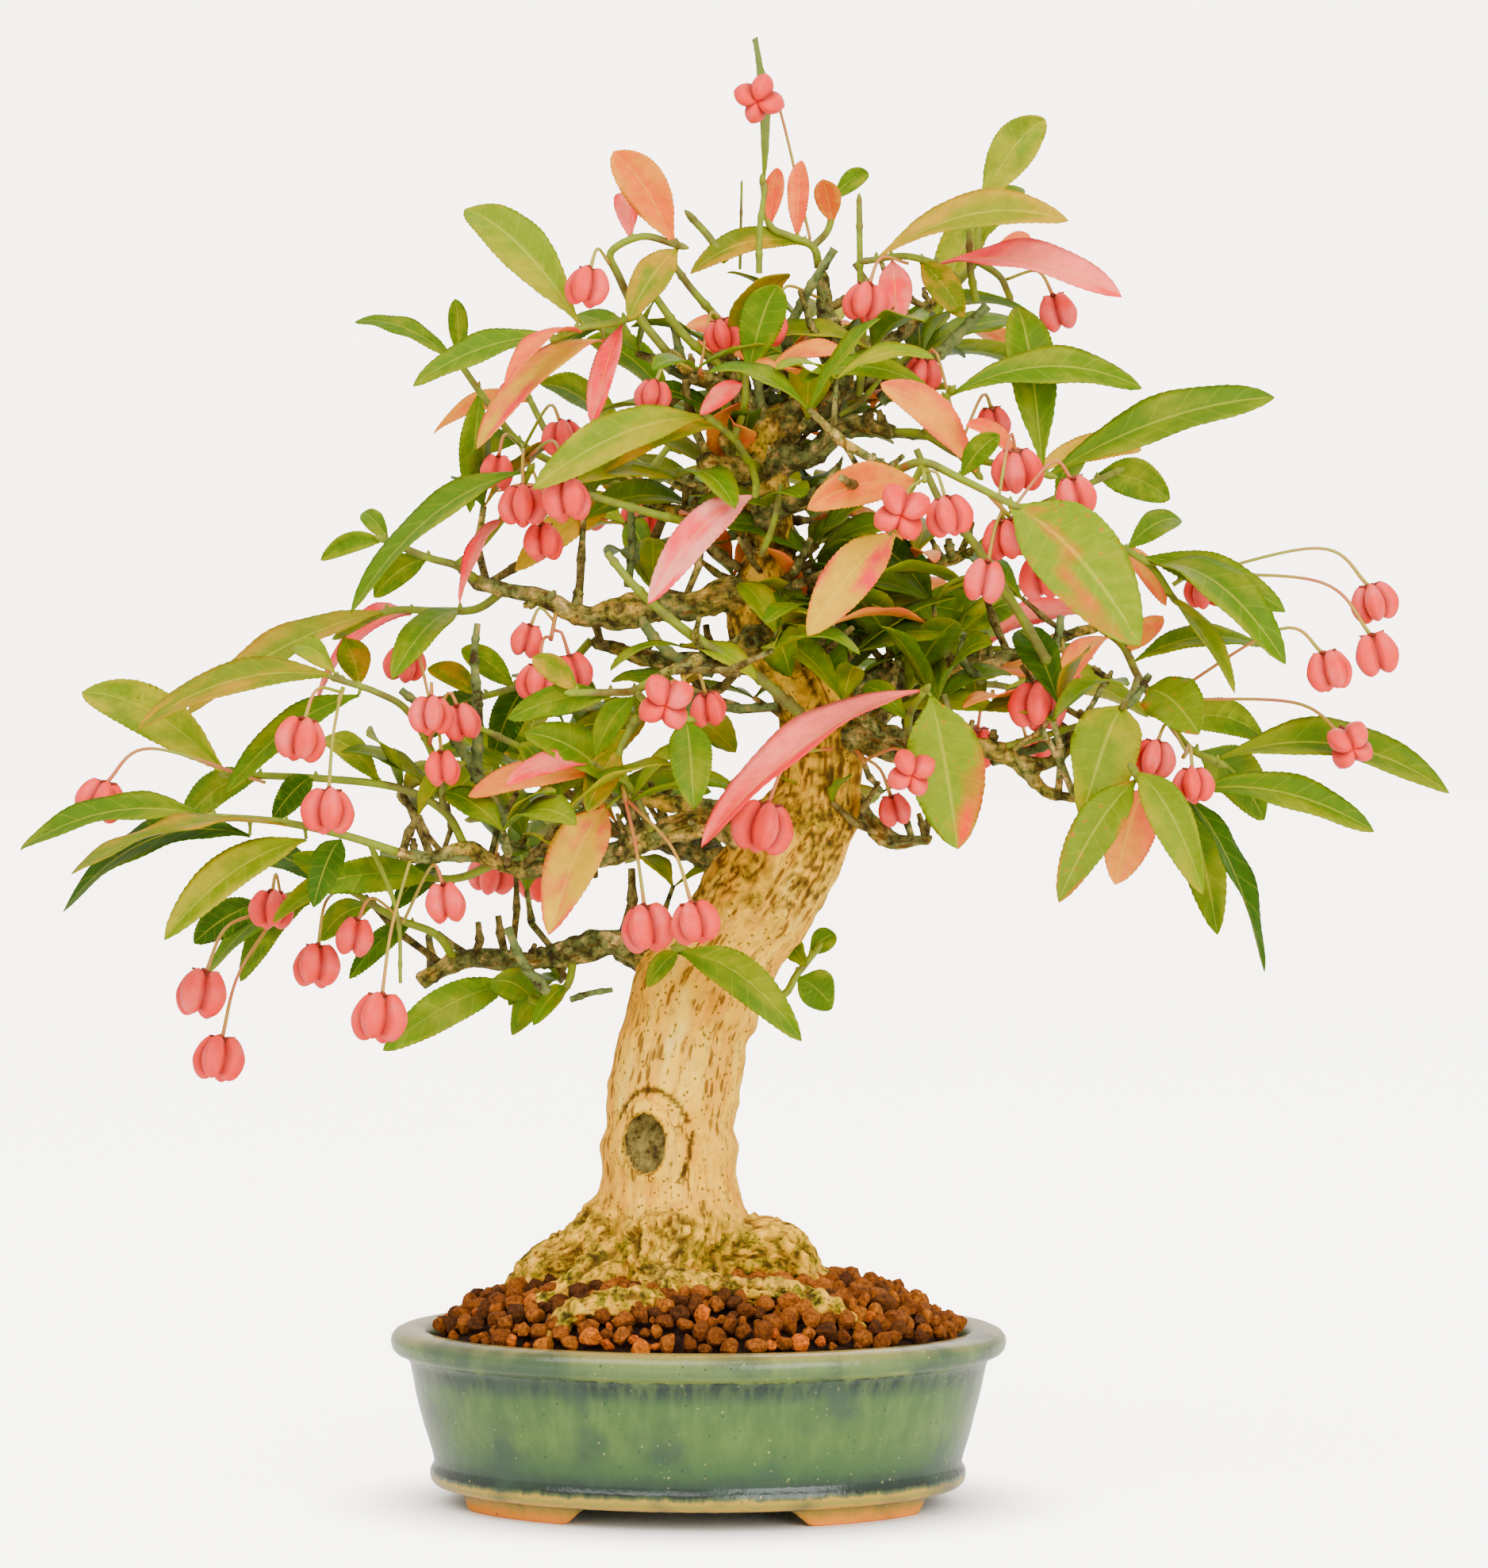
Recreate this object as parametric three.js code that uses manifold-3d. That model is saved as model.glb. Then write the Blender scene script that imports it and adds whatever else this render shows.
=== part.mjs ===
// Spindle tree bonsai (Euonymus europaeus) in an oval glazed pot, in millimetres, +Z up.
// The tree's places are written as they are seen from the front: mm right of the pot's
// middle, mm above the table, mm behind the pot's middle, for an eye at the distance below.
import * as THREE from "three";
import { mergeVertices } from "three/addons/utils/BufferGeometryUtils.js";
import Module from "manifold-3d";

const wasm = await Module();
wasm.setup();

// Clearance between neighbouring pieces.
const GAP = 0.3;
// Edges are cleared at the first of these lengths that leaves no two corners nearer than this.
const SLIVERS = [0.2, 0.1, 0.05, 0.3, 0.4];
const CORNERS_APART = 0.03;
const SAME_PLACE = 1e-4;

// Pot: an oval with a rolled lip, a bead above the feet and four feet.
const POT_HALF_LENGTH = 77.5;
const POT_HALF_DEPTH = 63;
const POT_HEIGHT = 44.3;
const POT_SEGMENTS = 32;
const LIP_WIDTH = 9;
const FOOT_HEIGHT = 4.2;
const FLOOR_TOP = 9;
const FLOOR_RING = 62;
const DRAIN_RADIUS = 5;
const DRAIN_PLACE = 28;
const DRAIN_SIDES = 16;
// The wall's section: distance from the middle along the long half, and height.
const SECTION = [
  [0, FOOT_HEIGHT], [54, FOOT_HEIGHT], [54.6, 0], [61.6, 0], [62.4, 4], [66.6, 5.2], [67.4, 8.4],
  [66.6, 10.2],
  [69.8, 20.5], [72.8, 36], [76.8, 38.4], [POT_HALF_LENGTH, 40.8], [73, POT_HEIGHT],
  [POT_HALF_LENGTH - LIP_WIDTH, 43.9], [65.4, 28], [61.4, 12.6], [56.6, FLOOR_TOP], [0, FLOOR_TOP],
];
// Gaps between the feet: half width outside and inside, and the reach from outside to inside.
const FRONT_GAP = [30, 23, 66, 38];
const SIDE_GAP = [19, 14, 80, 50];

// Soil: a mound that stands above the lip, rough with its granules.
const MOUND_HEIGHT = 14;
const MOUND_START = POT_HEIGHT - 1.6;
const MOUND_SHOULDER = 4;
const MOUND_RINGS = [66.9, 61.5, 54, 45.5, 36, 24];
const SOIL_EDGE = 66.9;
const SOIL_SEGMENTS = 22;
const SOIL_FOOT = [[0, FLOOR_TOP + GAP], [56.2, FLOOR_TOP + GAP], [60.9, 12.9], [64.9, 28]];
const GRANULE = 1.1;
const ROUGH_ABOVE = 30;

// Wood: sides of the trunk, roots and branches, and the swells that run up the trunk.
const TRUNK_SIDES = 14;
const ROOT_SIDES = 6;
const THICK_SIDES = 6;
const THIN_SIDES = 4;
const THICK_FROM = 4.2;
const WIDE_SWELL = { size: 0.035, count: 3, twist: 0.05 };
const FINE_SWELL = { size: 0.02, count: 7, twist: -0.11 };
// The ring of a healed cut on the trunk: its place, radius, thickness, stretch and turn.
const CUT = { u: -13, v: 90.2, depth: -17, ring: 6.6, thick: 1.7, tall: 1.35, turn: -0.33 };
const CUT_SIDES = 5;
const CUT_SEGMENTS = 12;

// Twigs: thickness from their start to their tip, which runs on a little past the last point.
const TWIG_SIDES = 4;
const TWIG_THICK = 1.25;
const TWIG_THIN = 0.98;
const SIDE_TWIG_THICK = 1.08;
const SIDE_TWIG_THIN = 0.95;
const TWIG_PAST = 1;

// Leaves: the blade's share of its half width at stations from its base to its tip.
const BLADE = 0.7;
const BLADE_SIDES = 4;
const BLADE_STATIONS = [0, 0.3, 0.64, 1];
const BLADE_WIDTHS = [0.08, 0.94, 0.9, 0];
const SHORT_BLADE = 24;
const SHORT_STATIONS = [0, 0.45, 1];
const LEAF_ARCH = 0.1;
const NARROWEST = 0.24;
const LEAST_LEAN = 0.25;
const STALK_HALF = 0.38;
const PETIOLE_RADIUS = 0.5;
// Leaves on the far side: their length, width, stalk, and how they spread round the twig.
const BACK_LENGTH = [30, 44];
const BACK_WIDTH = [9, 13];
const BACK_STALK = 4;
const BACK_RISE = [-0.35, 0.45];
const BACK_STRAY = 0.4;
const GOLDEN_TURN = THREE.MathUtils.degToRad(137.5);

// Fruit: a capsule with four lobes hangs by a stalk from a twig, a branch or a common stem.
const LOBE_SIDES = 8;
const GROOVE = 0.74;
const FRUIT_TALL = 0.82;
const LATITUDE = THREE.MathUtils.degToRad(30);
const STALK_SIDES = 3;
const STALK_RADIUS = 0.6;
const FORK_RADIUS = 0.45;
const STEM_RADIUS = 1;
const STALK_CLEAR = 0.8;
const FORK_FIRST = 1.2;
const FORK_STEP = 2.2;
const STEM_SHORT = 0.6;
const STALK_TOP = 0.7;
const STALK_NECK = 1.8;
const STALK_BEND = 0.75;
const STALK_RISE = 0.1;
const FRUIT_SWING = 0.25;

// Room that leaves, fruit and stalks keep from what is already there, found with spheres.
const FILL_STEP = 2.5;
const DEPTH_STEP = 3.5;
const DEPTH_TRIES = 19;
const LEAF_MARGIN = 0.4;
const LEAF_SPHERE = 1.5;
const LEAF_SPACING = 4.5;
const LEAF_APART = 1.8;
const WIDE_BLADE = 2.4;
const BLADE_COLUMN = 0.72;
const OWN_TWIG = 9;
const FRUIT_MARGIN = 0.9;
const START_MARGIN = 0.7;
const START_REACH = 12;
const START_PATH = [2.6, 4.5, 6.5];
const START_AWAY = 0.02;

const GLAZE_COLOR = 0x5c8f55;
const SOIL_COLOR = 0x7a3a1e;
const BARK_COLOR = 0xe8c98a;
const LEAF_COLORS = [0x7fae1c, 0x9cc80e, 0x5c9a1e, 0xb5b81c];
const FRUIT_COLOR = 0xee6470;

// The eye that the seen places belong to.
const EYE_DISTANCE = 1500;
const EYE_TURN = THREE.MathUtils.degToRad(3);
const EYE_RISE = THREE.MathUtils.degToRad(1.5);
const AIM_RIGHT = 11.6;
const AIM_UP = 180.9;

// Trunk: u, v, depth and radius at each point, from under the soil to the fork.
const TRUNK = [
  [-6, 24, 2, 17], [-6, 45, 1, 20.5], [-6.5, 58, 0, 19.5], [-7.2, 75, -1, 18.6], [-7.2, 90.6, -1, 17.6],
  [-6.8, 98.6, 0, 17], [-4.8, 110.6, 1, 16.2], [-1.5, 124, 2, 16], [6.4, 138.6, 2, 14.8],
  [16, 153, 0, 15], [23, 164.2, -3, 13.8], [29, 175, -5, 12.2], [31, 186.6, -6, 10.6],
  [30.4, 197.8, -5, 10], [27, 206.5, -3, 9.3], [21, 214.5, -1, 8.8], [15.5, 221, 1, 8.3],
  [16.5, 230, 3, 7.6], [18.2, 239, 3, 6.5], [17.8, 249, 2, 5.8], [17, 259, 1, 6],
  [17.5, 267, 0, 5.8], [20, 273, -1, 4.4],
];

// Surface roots, from the trunk down into the soil.
const ROOTS = [
  [[-2, 62, -3, 12], [10, 62, -4, 9.5], [19, 62.5, -4, 9], [25, 58, -4, 7], [29, 51, -3, 5],
    [31, 43, -2, 3.5]],
  [[-12, 72, -2, 12], [-22, 66, -2, 11], [-31, 61, -2, 8], [-39, 58, -1, 6.5], [-44, 53, 0, 5.5],
    [-50, 48, 1, 4], [-56, 42, 2, 2.6]],
  [[-8, 72, -8, 12], [-8, 64, -13, 11.5], [-10, 56, -17, 8], [-11, 46, -20, 5]],
  [[-11, 57, -19, 7], [-2, 53.5, -25, 4.6], [9, 53, -28, 4.2], [20, 52.5, -30, 4.2],
    [29, 50.5, -31, 3.8], [37, 47, -32, 2.8], [42, 41, -33, 1.8]],
  [[-8, 55, -19, 6], [-9, 50, -30, 4], [-16, 50.5, -35, 4.2], [-24.5, 49, -36, 4], [-31, 47.5, -37, 3.6],
    [-36.5, 44, -37, 3], [-40, 37, -37, 2]],
  [[-18, 62, -8, 8], [-28, 56, -16, 5], [-38, 50, -20, 3.6], [-46, 42, -22, 2.4]],
  [[4, 60, 8, 11], [14, 58, 18, 8], [26, 53, 26, 5.5], [36, 48, 29, 3.5], [42, 40, 30, 2.2]],
  [[-12, 60, 8, 11], [-24, 57, 20, 8], [-35, 52, 26, 5], [-41, 43, 28, 3]],
  [[-3, 60, 12, 10], [-2, 57, 24, 7], [2, 51, 34, 4.5], [6, 42, 41, 2.8]],
];

// Branches with grown bark, each from inside what it grows from to its tip or cut end.
const BRANCHES = [
  [[20, 272, -1, 4.6], [27, 274.2, -2, 4.4], [32.5, 276, -3, 4.2], [35.8, 282, -3, 3.8],
    [34.6, 289, -2, 3.4], [33, 296, 0, 2.8], [31.6, 304, 1, 2.2], [30.5, 311, 1, 1.7]],
  [[-1, 140, 4, 6], [-14.4, 138, 6, 4], [-21.2, 141, 8, 3.6], [-31.2, 138.8, 11, 3.4],
    [-41.2, 136.6, 13, 3], [-51.2, 136.6, 12, 2.7], [-61, 136, 9, 2.6], [-70, 131, 7, 2.6]],
  [[14, 166, -6, 5], [5, 170.4, -11, 3.9], [-4.4, 169.8, -15, 3.6], [-11.4, 167.6, -17, 3.3],
    [-21.2, 163.8, -18, 3], [-30, 161.5, -18, 2.6], [-40.2, 159.4, -17, 2.3], [-51.2, 160.8, -17, 2],
    [-58.6, 164.8, -18, 1.9], [-68.6, 162.2, -20, 1.7], [-76, 163.8, -22, 1.6]],
  [[15, 226, 1, 6], [8.2, 228.4, -2, 4.4], [-1, 226.2, -4, 3.6], [-10, 225.2, -6, 3.4],
    [-17, 224.4, -7, 4.2], [-28.4, 223.2, -8, 2.9], [-35.4, 226, -8, 2.6], [-42.2, 228.6, -7, 2.4],
    [-49, 229.6, -5, 2], [-56, 232.6, -3, 1.7]],
  [[19, 212, 2, 4], [10, 211, 8, 2.8], [1, 212, 12, 2.5], [-9, 212, 15, 2.3], [-17, 214, 18, 2.1],
    [-27, 217, 24, 1.8]],
  [[27, 206, -4, 5], [36, 205.5, -2, 3.9], [42, 205.2, 0, 3.4], [50, 207.4, 3, 3.8], [58, 208.8, 6, 2.8],
    [66.6, 210.4, 8, 2.4], [76.8, 212.6, 9, 2], [84.4, 215, 9, 1.8], [92, 218, 8, 1.6],
    [101, 220.6, 6, 1.5]],
  [[31, 190, -7, 6], [42, 192.6, -13, 4.2], [49, 191, -16, 3.8], [55, 188.4, -18, 3],
    [65, 189.4, -19, 2.6], [74.8, 189.4, -19, 3], [81, 186, -19, 2.2], [87, 179.6, -20, 1.8],
    [95, 177.4, -22, 1.6], [104, 177.2, -24, 1.5], [111, 177.4, -25, 1.4]],
  [[80, 186.4, -19, 2], [88, 186, -19, 1.8], [94, 191, -19, 1.5], [99, 200, -18, 1.2],
    [104.8, 210, -17, 1.1]],
  [[33, 180, -5, 5], [42.6, 172.4, -6, 2.8], [46.4, 168, -7, 2.4], [51.2, 166.2, -8, 2.1],
    [55.4, 167, -8, 1.9], [59, 166.4, -8, 1.8]],
  [[18, 232, 3, 4], [30, 231.6, 6, 2.5], [44.4, 233.6, 9, 2], [52.2, 235.8, 10, 1.9],
    [62.4, 237.2, 10, 1.7], [70, 240, 9, 1.6]],
  [[18, 264, -1, 4.4], [27, 262.6, -4, 3.1], [32, 267, -6, 2.8], [38, 271.4, -9, 2.4],
    [49.6, 269.6, -13, 1.9]],
  [[18, 271, -1, 3.6], [10, 279, -5, 2.6], [0, 284, -9, 2.1], [-8, 290, -12, 1.8]],
  [[17, 260, -2, 4], [8, 261, -6, 3.7], [1, 260.4, -9, 4]],
  [[17, 246, 3, 4], [8, 249, 7, 2.4], [-2, 249, 9, 2], [-12, 252, 12, 1.6]],
  [[34, 289, -1, 3], [42, 291, 2, 2], [52, 295, 5, 1.7], [60, 303, 6, 1.4]],
  [[10, 158, 8, 6], [-2, 164, 26, 3], [-16, 168, 44, 2.4], [-30, 170, 62, 1.8]],
  [[31, 188, -2, 6], [40, 194, 18, 3], [50, 200, 38, 2.4], [60, 204, 58, 1.8]],
  [[18, 240, 5, 4], [10, 247, 22, 2.6], [2, 252, 40, 2], [-6, 257, 56, 1.6]],
  [[20, 270, 1, 3.4], [32, 277, 16, 2.3], [44, 283, 32, 1.8]],
  [[17, 249, -2, 4], [26, 253, -16, 2.2], [38, 257, -32, 1.8], [50, 260, -46, 1.5]],
  [[17, 218, -3, 5], [8, 214, -18, 2.2], [0, 212, -32, 1.8], [-10, 208, -44, 1.5]],
  [[20, 171, 2, 5], [0, 175, 11, 2.8], [-18, 178, 24, 2.2], [-32, 177, 34, 1.7]],
];

// Leafy shoots. Twigs are u, v, depth; each starts on the wood or on the shoot's first twig.
// Leaves are u, v of the blade's base, u, v of its tip, seen width, and depth gained to the tip.
const SHOOTS = {
  low_left_tip: {
    twigs: [[[-76, 163.8, -22], [-90, 168.2, -26], [-106, 171.4, -28], [-121, 172.6, -30]]],
    leaves: [
      [-122, 172.2, -171.4, 165.4, 8, -6], [-103.8, 170.6, -158.2, 159, 5, -18],
      [-113, 168, -162, 151.8, 8, 14], [-98.8, 167, -134.6, 143.6, 10, -26], [-90, 167, -97, 150, 8, -8],
    ],
  },
  low_left_under: {
    twigs: [[[-51, 160.8, -17], [-62, 157, -6], [-80, 158.6, 8], [-98, 154, 18], [-110, 151, 24]]],
    leaves: [
      [-110, 151, -127.4, 140.6, 9, 8], [-103, 150, -123.4, 133.2, 6.5, 20],
      [-98, 151, -115.8, 131.2, 7.5, -6], [-83.2, 159, -107.2, 146.6, 5.5, -18],
      [-66, 157, -98.8, 154.6, 9, -16], [-96, 156, -112, 162, 6, 24],
    ],
  },
  left_lime: {
    twigs: [
      [[-58.6, 164.8, -18], [-64, 174, -15], [-76, 180, -13], [-96, 182.4, -12], [-117, 183.2, -12]],
      [[-64, 174, -15], [-66, 186, -16], [-73, 199, -20], [-81, 204, -24], [-90, 207, -27]],
    ],
    leaves: [
      [-118.8, 183.4, -155.6, 204.2, 12.4, 6], [-97, 183, -107.2, 172, 7, -12],
      [-110, 182.8, -132, 169, 8, 22], [-91, 208, -141.6, 196.2, 9, -8],
      [-85.6, 203.4, -119.6, 179.2, 8, -14], [-91.4, 208.8, -102.2, 215.4, 6, 12],
      [-80, 181, -95, 193, 7, 16],
    ],
  },
  left_upper: {
    twigs: [[[-49, 229.6, -5], [-56, 225, 2], [-66, 224.6, 6], [-78, 224.4, 10], [-89, 219, 14]]],
    leaves: [
      [-79, 224.4, -128.8, 198, 9, -10], [-89.4, 218, -84.8, 206.5, 8.4, 2],
      [-72.4, 224, -99.8, 198.8, 5.5, 20], [-60, 225, -77, 209, 8, -22],
    ],
  },
  low_stub_shoot: {
    twigs: [[[-61, 136, 9], [-66, 143, 4], [-76, 147, 1], [-86, 153, -2]]],
    leaves: [
      [-86, 153, -102, 163, 7, -8], [-78, 148, -64, 160, 7, 12], [-72, 146, -88, 132, 6, -12],
      [-82, 150, -96, 141, 7, 12],
    ],
  },
  low_under_leaves: {
    twigs: [[[-31, 138.8, 11], [-33, 130, 6], [-40, 126, 4], [-47, 130, 0]]],
    leaves: [
      [-46, 131, -79, 113.8, 10, -10], [-41, 126.4, -52, 131, 9, -14], [-33, 130, -41, 121, 5, -16],
      [-36, 128, -48, 118, 8, 10],
    ],
  },
  yellow_front: {
    twigs: [
      [[-11.4, 167.6, -17], [-14, 174, -23], [-18, 181, -27], [-25, 185, -30]],
      [[-18, 181, -27], [-20, 188, -27], [-17, 195, -25]],
    ],
    leaves: [
      [-23, 175, -37.6, 142.8, 13.4, -14], [-17.8, 194.4, -36, 178.6, 9, 2], [-20, 190, -28, 174, 8, 12],
      [-26, 186, -48, 181.6, 5, -16], [-25, 183, -58, 178, 6, -6],
    ],
  },
  mid_left_dark: {
    twigs: [[[-27, 217, 24], [-34, 210, 28], [-44, 206, 30], [-54, 203, 30]]],
    leaves: [
      [-42, 207, -52, 186.6, 9, 8], [-54, 203, -70, 192, 8, 14], [-46, 205, -60, 215, 7, 8],
      [-34, 210, -26, 195, 8, 8], [-55, 203, -68, 210, 6, -8],
    ],
  },
  front_centre: {
    twigs: [[[-10, 208, -44], [-16, 204.4, -50], [-22, 204, -54], [-30, 204, -57]],
      [[-16, 204.4, -50], [-10, 199, -48], [-4, 197.6, -46]]],
    leaves: [
      [-22, 203, -48, 197.6, 7.4, -6], [-3, 197, -1, 174.8, 10.6, -4], [-30, 204, -42, 213, 6, 6],
      [-16, 203, -27, 188, 7, 10],
    ],
  },
  upper_left_spread: {
    twigs: [
      [[-56, 232.6, -3], [-61, 236, -5], [-68, 238, -6], [-78, 242, -8]],
      [[-61, 236, -5], [-54, 242, -12], [-47, 251, -15], [-43, 258.6, -17]],
    ],
    leaves: [
      [-79, 242.4, -95.6, 237.6, 5, 4], [-42.8, 259.8, -89.4, 227.2, 7.5, -10],
      [-49, 248, -61.2, 227.2, 5, -14], [-68, 238, -82, 228, 7, 12], [-78, 242, -85, 250, 5, 12],
    ],
  },
  upper_left_long: {
    twigs: [
      [[-12, 252, 12], [-22, 257, 15], [-34, 261, 16], [-45, 267, 15], [-53, 277, 13], [-60, 287, 10]],
      [[-34, 261, 16], [-38, 269, 20], [-42, 277, 24]],
    ],
    leaves: [
      [-55, 280, -57.6, 249.4, 7, 8], [-61, 287.4, -86.4, 298.6, 5, 8], [-60, 288, -61, 303, 5, -6],
      [-43, 277.6, -67.2, 269.8, 6, 14], [-20, 252.2, -46.4, 234.6, 8.4, -18],
      [-24, 258, -36, 246, 7, 16], [-45, 267, -58, 262, 6, 16],
    ],
  },
  upper_left_top: {
    twigs: [
      [[-8, 290, -12], [-15, 299, -15], [-20, 309, -17], [-22, 315, -19], [-14, 319, -21], [-6, 317, -22]],
      [[-15, 299, -15], [-22, 297, -20], [-29, 296, -23], [-34, 294, -25]],
    ],
    leaves: [
      [-34.6, 293.8, -72, 282.4, 6, -4], [-29.4, 295, -48.6, 281.2, 5, -16],
      [-25, 296, -44.2, 279.8, 5, 12], [-19, 297, -27.2, 273, 5, -16], [-30.2, 297.6, -59, 327, 12.8, 4],
      [-5.8, 316.8, -21.2, 340.4, 11.2, -6], [-17, 318, -19, 331, 6, 12], [-5, 316, -17.6, 299, 9, -8],
      [-24, 293, -55.6, 265, 8, -24],
    ],
  },
  centre_left: {
    twigs: [
      [[17, 259, -4], [13, 262, -15], [9, 268, -22], [3, 273, -27]],
      [[13, 262, -15], [14.6, 257.4, -21], [14.5, 255, -25]], [[9, 268, -22], [11.6, 276, -25],
        [12, 283, -27]],
    ],
    leaves: [
      [2, 273.6, -41.2, 256.4, 10, -8], [5, 271, -28, 257, 9, 16], [14, 253.8, -12.4, 227.2, 9, -14],
      [11.4, 282, 0.8, 274.6, 5, -10], [12.4, 283.8, 20, 306.8, 10.6, -6],
    ],
  },
  apex: {
    twigs: [
      [[30.5, 311, 1], [29, 316.4, 0], [23, 319, -2], [18, 322, -4], [16.6, 331, -5]],
      [[29, 316.4, 0], [33, 321, 4], [34, 328, 5]],
    ],
    leaves: [
      [16.6, 331, 13.8, 369, 4, 8], [18, 321, 20, 336.2, 5, -10], [25, 318, 25.8, 338.2, 5.5, 8],
      [34, 322, 31.4, 333, 6.5, -8], [27, 317, -2, 309.6, 7, -14], [34, 328, 43, 335, 5, 8],
    ],
  },
  apex_right: {
    twigs: [
      [[60, 303, 6], [66, 308, 5], [70, 313, 5], [70.6, 320, 5], [71, 326, 5]],
      [[66, 308, 5], [60, 312, -4], [52, 314, -10], [44, 313, -14]], [[70, 313, 5], [76, 309, -2],
        [78, 305, -6]],
    ],
    leaves: [
      [71.4, 327, 87.4, 348.8, 11.4, 4], [73, 311, 85, 319, 5, 12], [45, 313.4, 92.8, 324.4, 7.5, -10],
      [60, 312, 105.8, 306.8, 6, -26], [56, 312.6, 67, 299, 8, -4], [49, 313, 50.2, 297, 8.4, -10],
      [70, 316, 82, 331, 7, 16],
    ],
  },
  upper_right_top: {
    twigs: [
      [[49.6, 269.6, -13], [57, 269, -17], [66, 264, -21], [76, 261.5, -24], [87, 259, -28]],
      [[57, 269, -17], [60, 275, -22], [63, 279, -26]], [[66, 264, -21], [70, 259.6, -27]],
      [[60, 275, -22], [50, 282, -24], [40, 288.4, -25]],
    ],
    leaves: [
      [60.6, 279, 26.8, 284.6, 7, -12], [39, 289, 17, 285.4, 5, 6], [63.4, 279, 111.8, 282.4, 8, -4],
      [87, 260, 81.2, 302.6, 12, 14], [71, 258.6, 46.8, 281.6, 8.4, -18],
      [82, 260.6, 67.8, 271.6, 5, -16], [88, 258.6, 145.6, 278, 10, -12], [84, 259, 112, 265.6, 6, 10],
    ],
  },
  front_right: {
    twigs: [
      [[50, 260, -46], [57, 262, -52], [66, 258, -56], [78, 252, -60]], [[57, 262, -52], [54, 256, -49],
        [49, 246, -49]],
    ],
    leaves: [
      [78.6, 251.2, 111.2, 216.6, 20.8, -12], [56, 257, 27.6, 250.6, 10, -8],
      [50, 244.6, 27.6, 218.6, 12, -10], [66, 258, 76, 269, 6, -8],
    ],
  },
  right_upper: {
    twigs: [
      [[70, 240, 9], [77, 246, 9], [86, 251, 8], [95, 255, 8], [104, 259, 8]],
      [[86, 251, 8], [95, 246, 0], [104, 242, -8], [114, 236, -12], [119, 229, -14]],
    ],
    leaves: [
      [100, 258.6, 119, 253, 10, 10], [112, 238, 148, 225, 9, 8], [113.2, 236, 148, 212.6, 8, -8],
      [118, 229, 135.6, 204.2, 5, -16], [106, 241, 118.2, 226, 5, 10], [90, 253, 97, 266, 7, 16],
      [108, 240, 122, 248, 7, 18],
    ],
  },
  right_behind: {
    twigs: [[[44.4, 233.6, 9], [45, 229, 18], [51, 225, 25], [59, 221, 29], [66, 219, 31]]],
    leaves: [
      [45, 229, 57, 208.6, 12, 6], [52, 225, 76, 219.4, 12, 20], [64.2, 219, 71.6, 200.2, 8, -10],
      [48, 226, 34, 214, 9, 12], [66, 219, 81, 227, 8, 12],
    ],
  },
  right_front: {
    twigs: [[[55, 188.4, -18], [53, 195, -26], [54, 200, -32], [57, 204, -38]]],
    leaves: [
      [58.8, 203, 65.8, 164.6, 18.8, -8], [56.2, 204.6, -0.2, 167.2, 7, -16], [53, 197, 41, 206, 6, 10],
    ],
  },
  right_mid: {
    twigs: [
      [[101, 220.6, 6], [107, 216, 0], [111, 208, -8], [117, 199, -13], [124, 190, -18], [130, 187, -20]],
      [[111, 208, -8], [109.6, 204, -16], [107.6, 201, -24]],
    ],
    leaves: [
      [107.4, 200.8, 98, 172.4, 17.8, -10], [113, 205, 126.2, 193.8, 14, -16],
      [120, 196, 144, 192.2, 9, 14], [131, 187.2, 190, 180, 8, -4], [110, 212, 142, 215.6, 6, 12],
      [108, 214, 117.2, 223, 6, -10], [104, 218, 89.4, 202.6, 5, -16], [126, 189, 143, 172, 12, 24],
    ],
  },
  right_low: {
    twigs: [
      [[111, 177.4, -25], [117, 178.6, -28], [124, 179, -30]],
      [[117, 178.6, -28], [112, 181, -33], [110, 184, -37]],
    ],
    leaves: [
      [124, 179.4, 170.6, 169.8, 6.5, -4], [123.2, 178, 145.4, 134.8, 8, -14],
      [110.6, 184, 127.6, 153.2, 10.5, -12], [122, 178, 131, 142.8, 11, 16],
      [112.6, 180, 105.4, 155.6, 13.2, 4], [110.4, 182, 91, 152.2, 11, -4],
    ],
  },
  trunk_front: {
    twigs: [[[-1, 136, -14], [-3, 139, -22], [-5, 139.4, -26]]],
    leaves: [[-5, 138.6, 25.8, 116.6, 10, -10], [-5, 139, -13, 130, 5, 8]],
  },
  trunk_behind: {
    twigs: [[[14, 132, 8], [20, 127.6, 14], [25, 133, 17], [29, 138, 18]]],
    leaves: [[28, 138, 34.6, 143.2, 6, 6], [25, 132, 34, 124.6, 10, 4]],
  },
  back_low: {
    twigs: [
      [[-30, 170, 62], [-37, 171, 72], [-46, 173, 82], [-56, 172, 90]],
      [[-37, 171, 72], [-30, 176, 82], [-26, 182, 92]],
    ],
    leaves: [],
    many: 8,
  },
  back_right: {
    twigs: [
      [[60, 204, 58], [66, 205, 68], [74, 206, 78], [84, 204, 86]],
      [[66, 205, 68], [60, 211, 78], [56, 215, 90]],
    ],
    leaves: [],
    many: 8,
  },
  back_left: {
    twigs: [
      [[-6, 257, 56], [-12, 260, 64], [-20, 264, 72], [-30, 266, 78]],
      [[-12, 260, 64], [-6, 268, 74], [-3, 273, 84]],
    ],
    leaves: [],
    many: 8,
  },
  back_top: {
    twigs: [
      [[44, 283, 32], [51, 287, 42], [57, 292, 52], [62, 298, 62]],
      [[51, 287, 42], [43, 292, 50], [37, 296, 60]],
    ],
    leaves: [],
    many: 7,
  },
};

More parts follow.
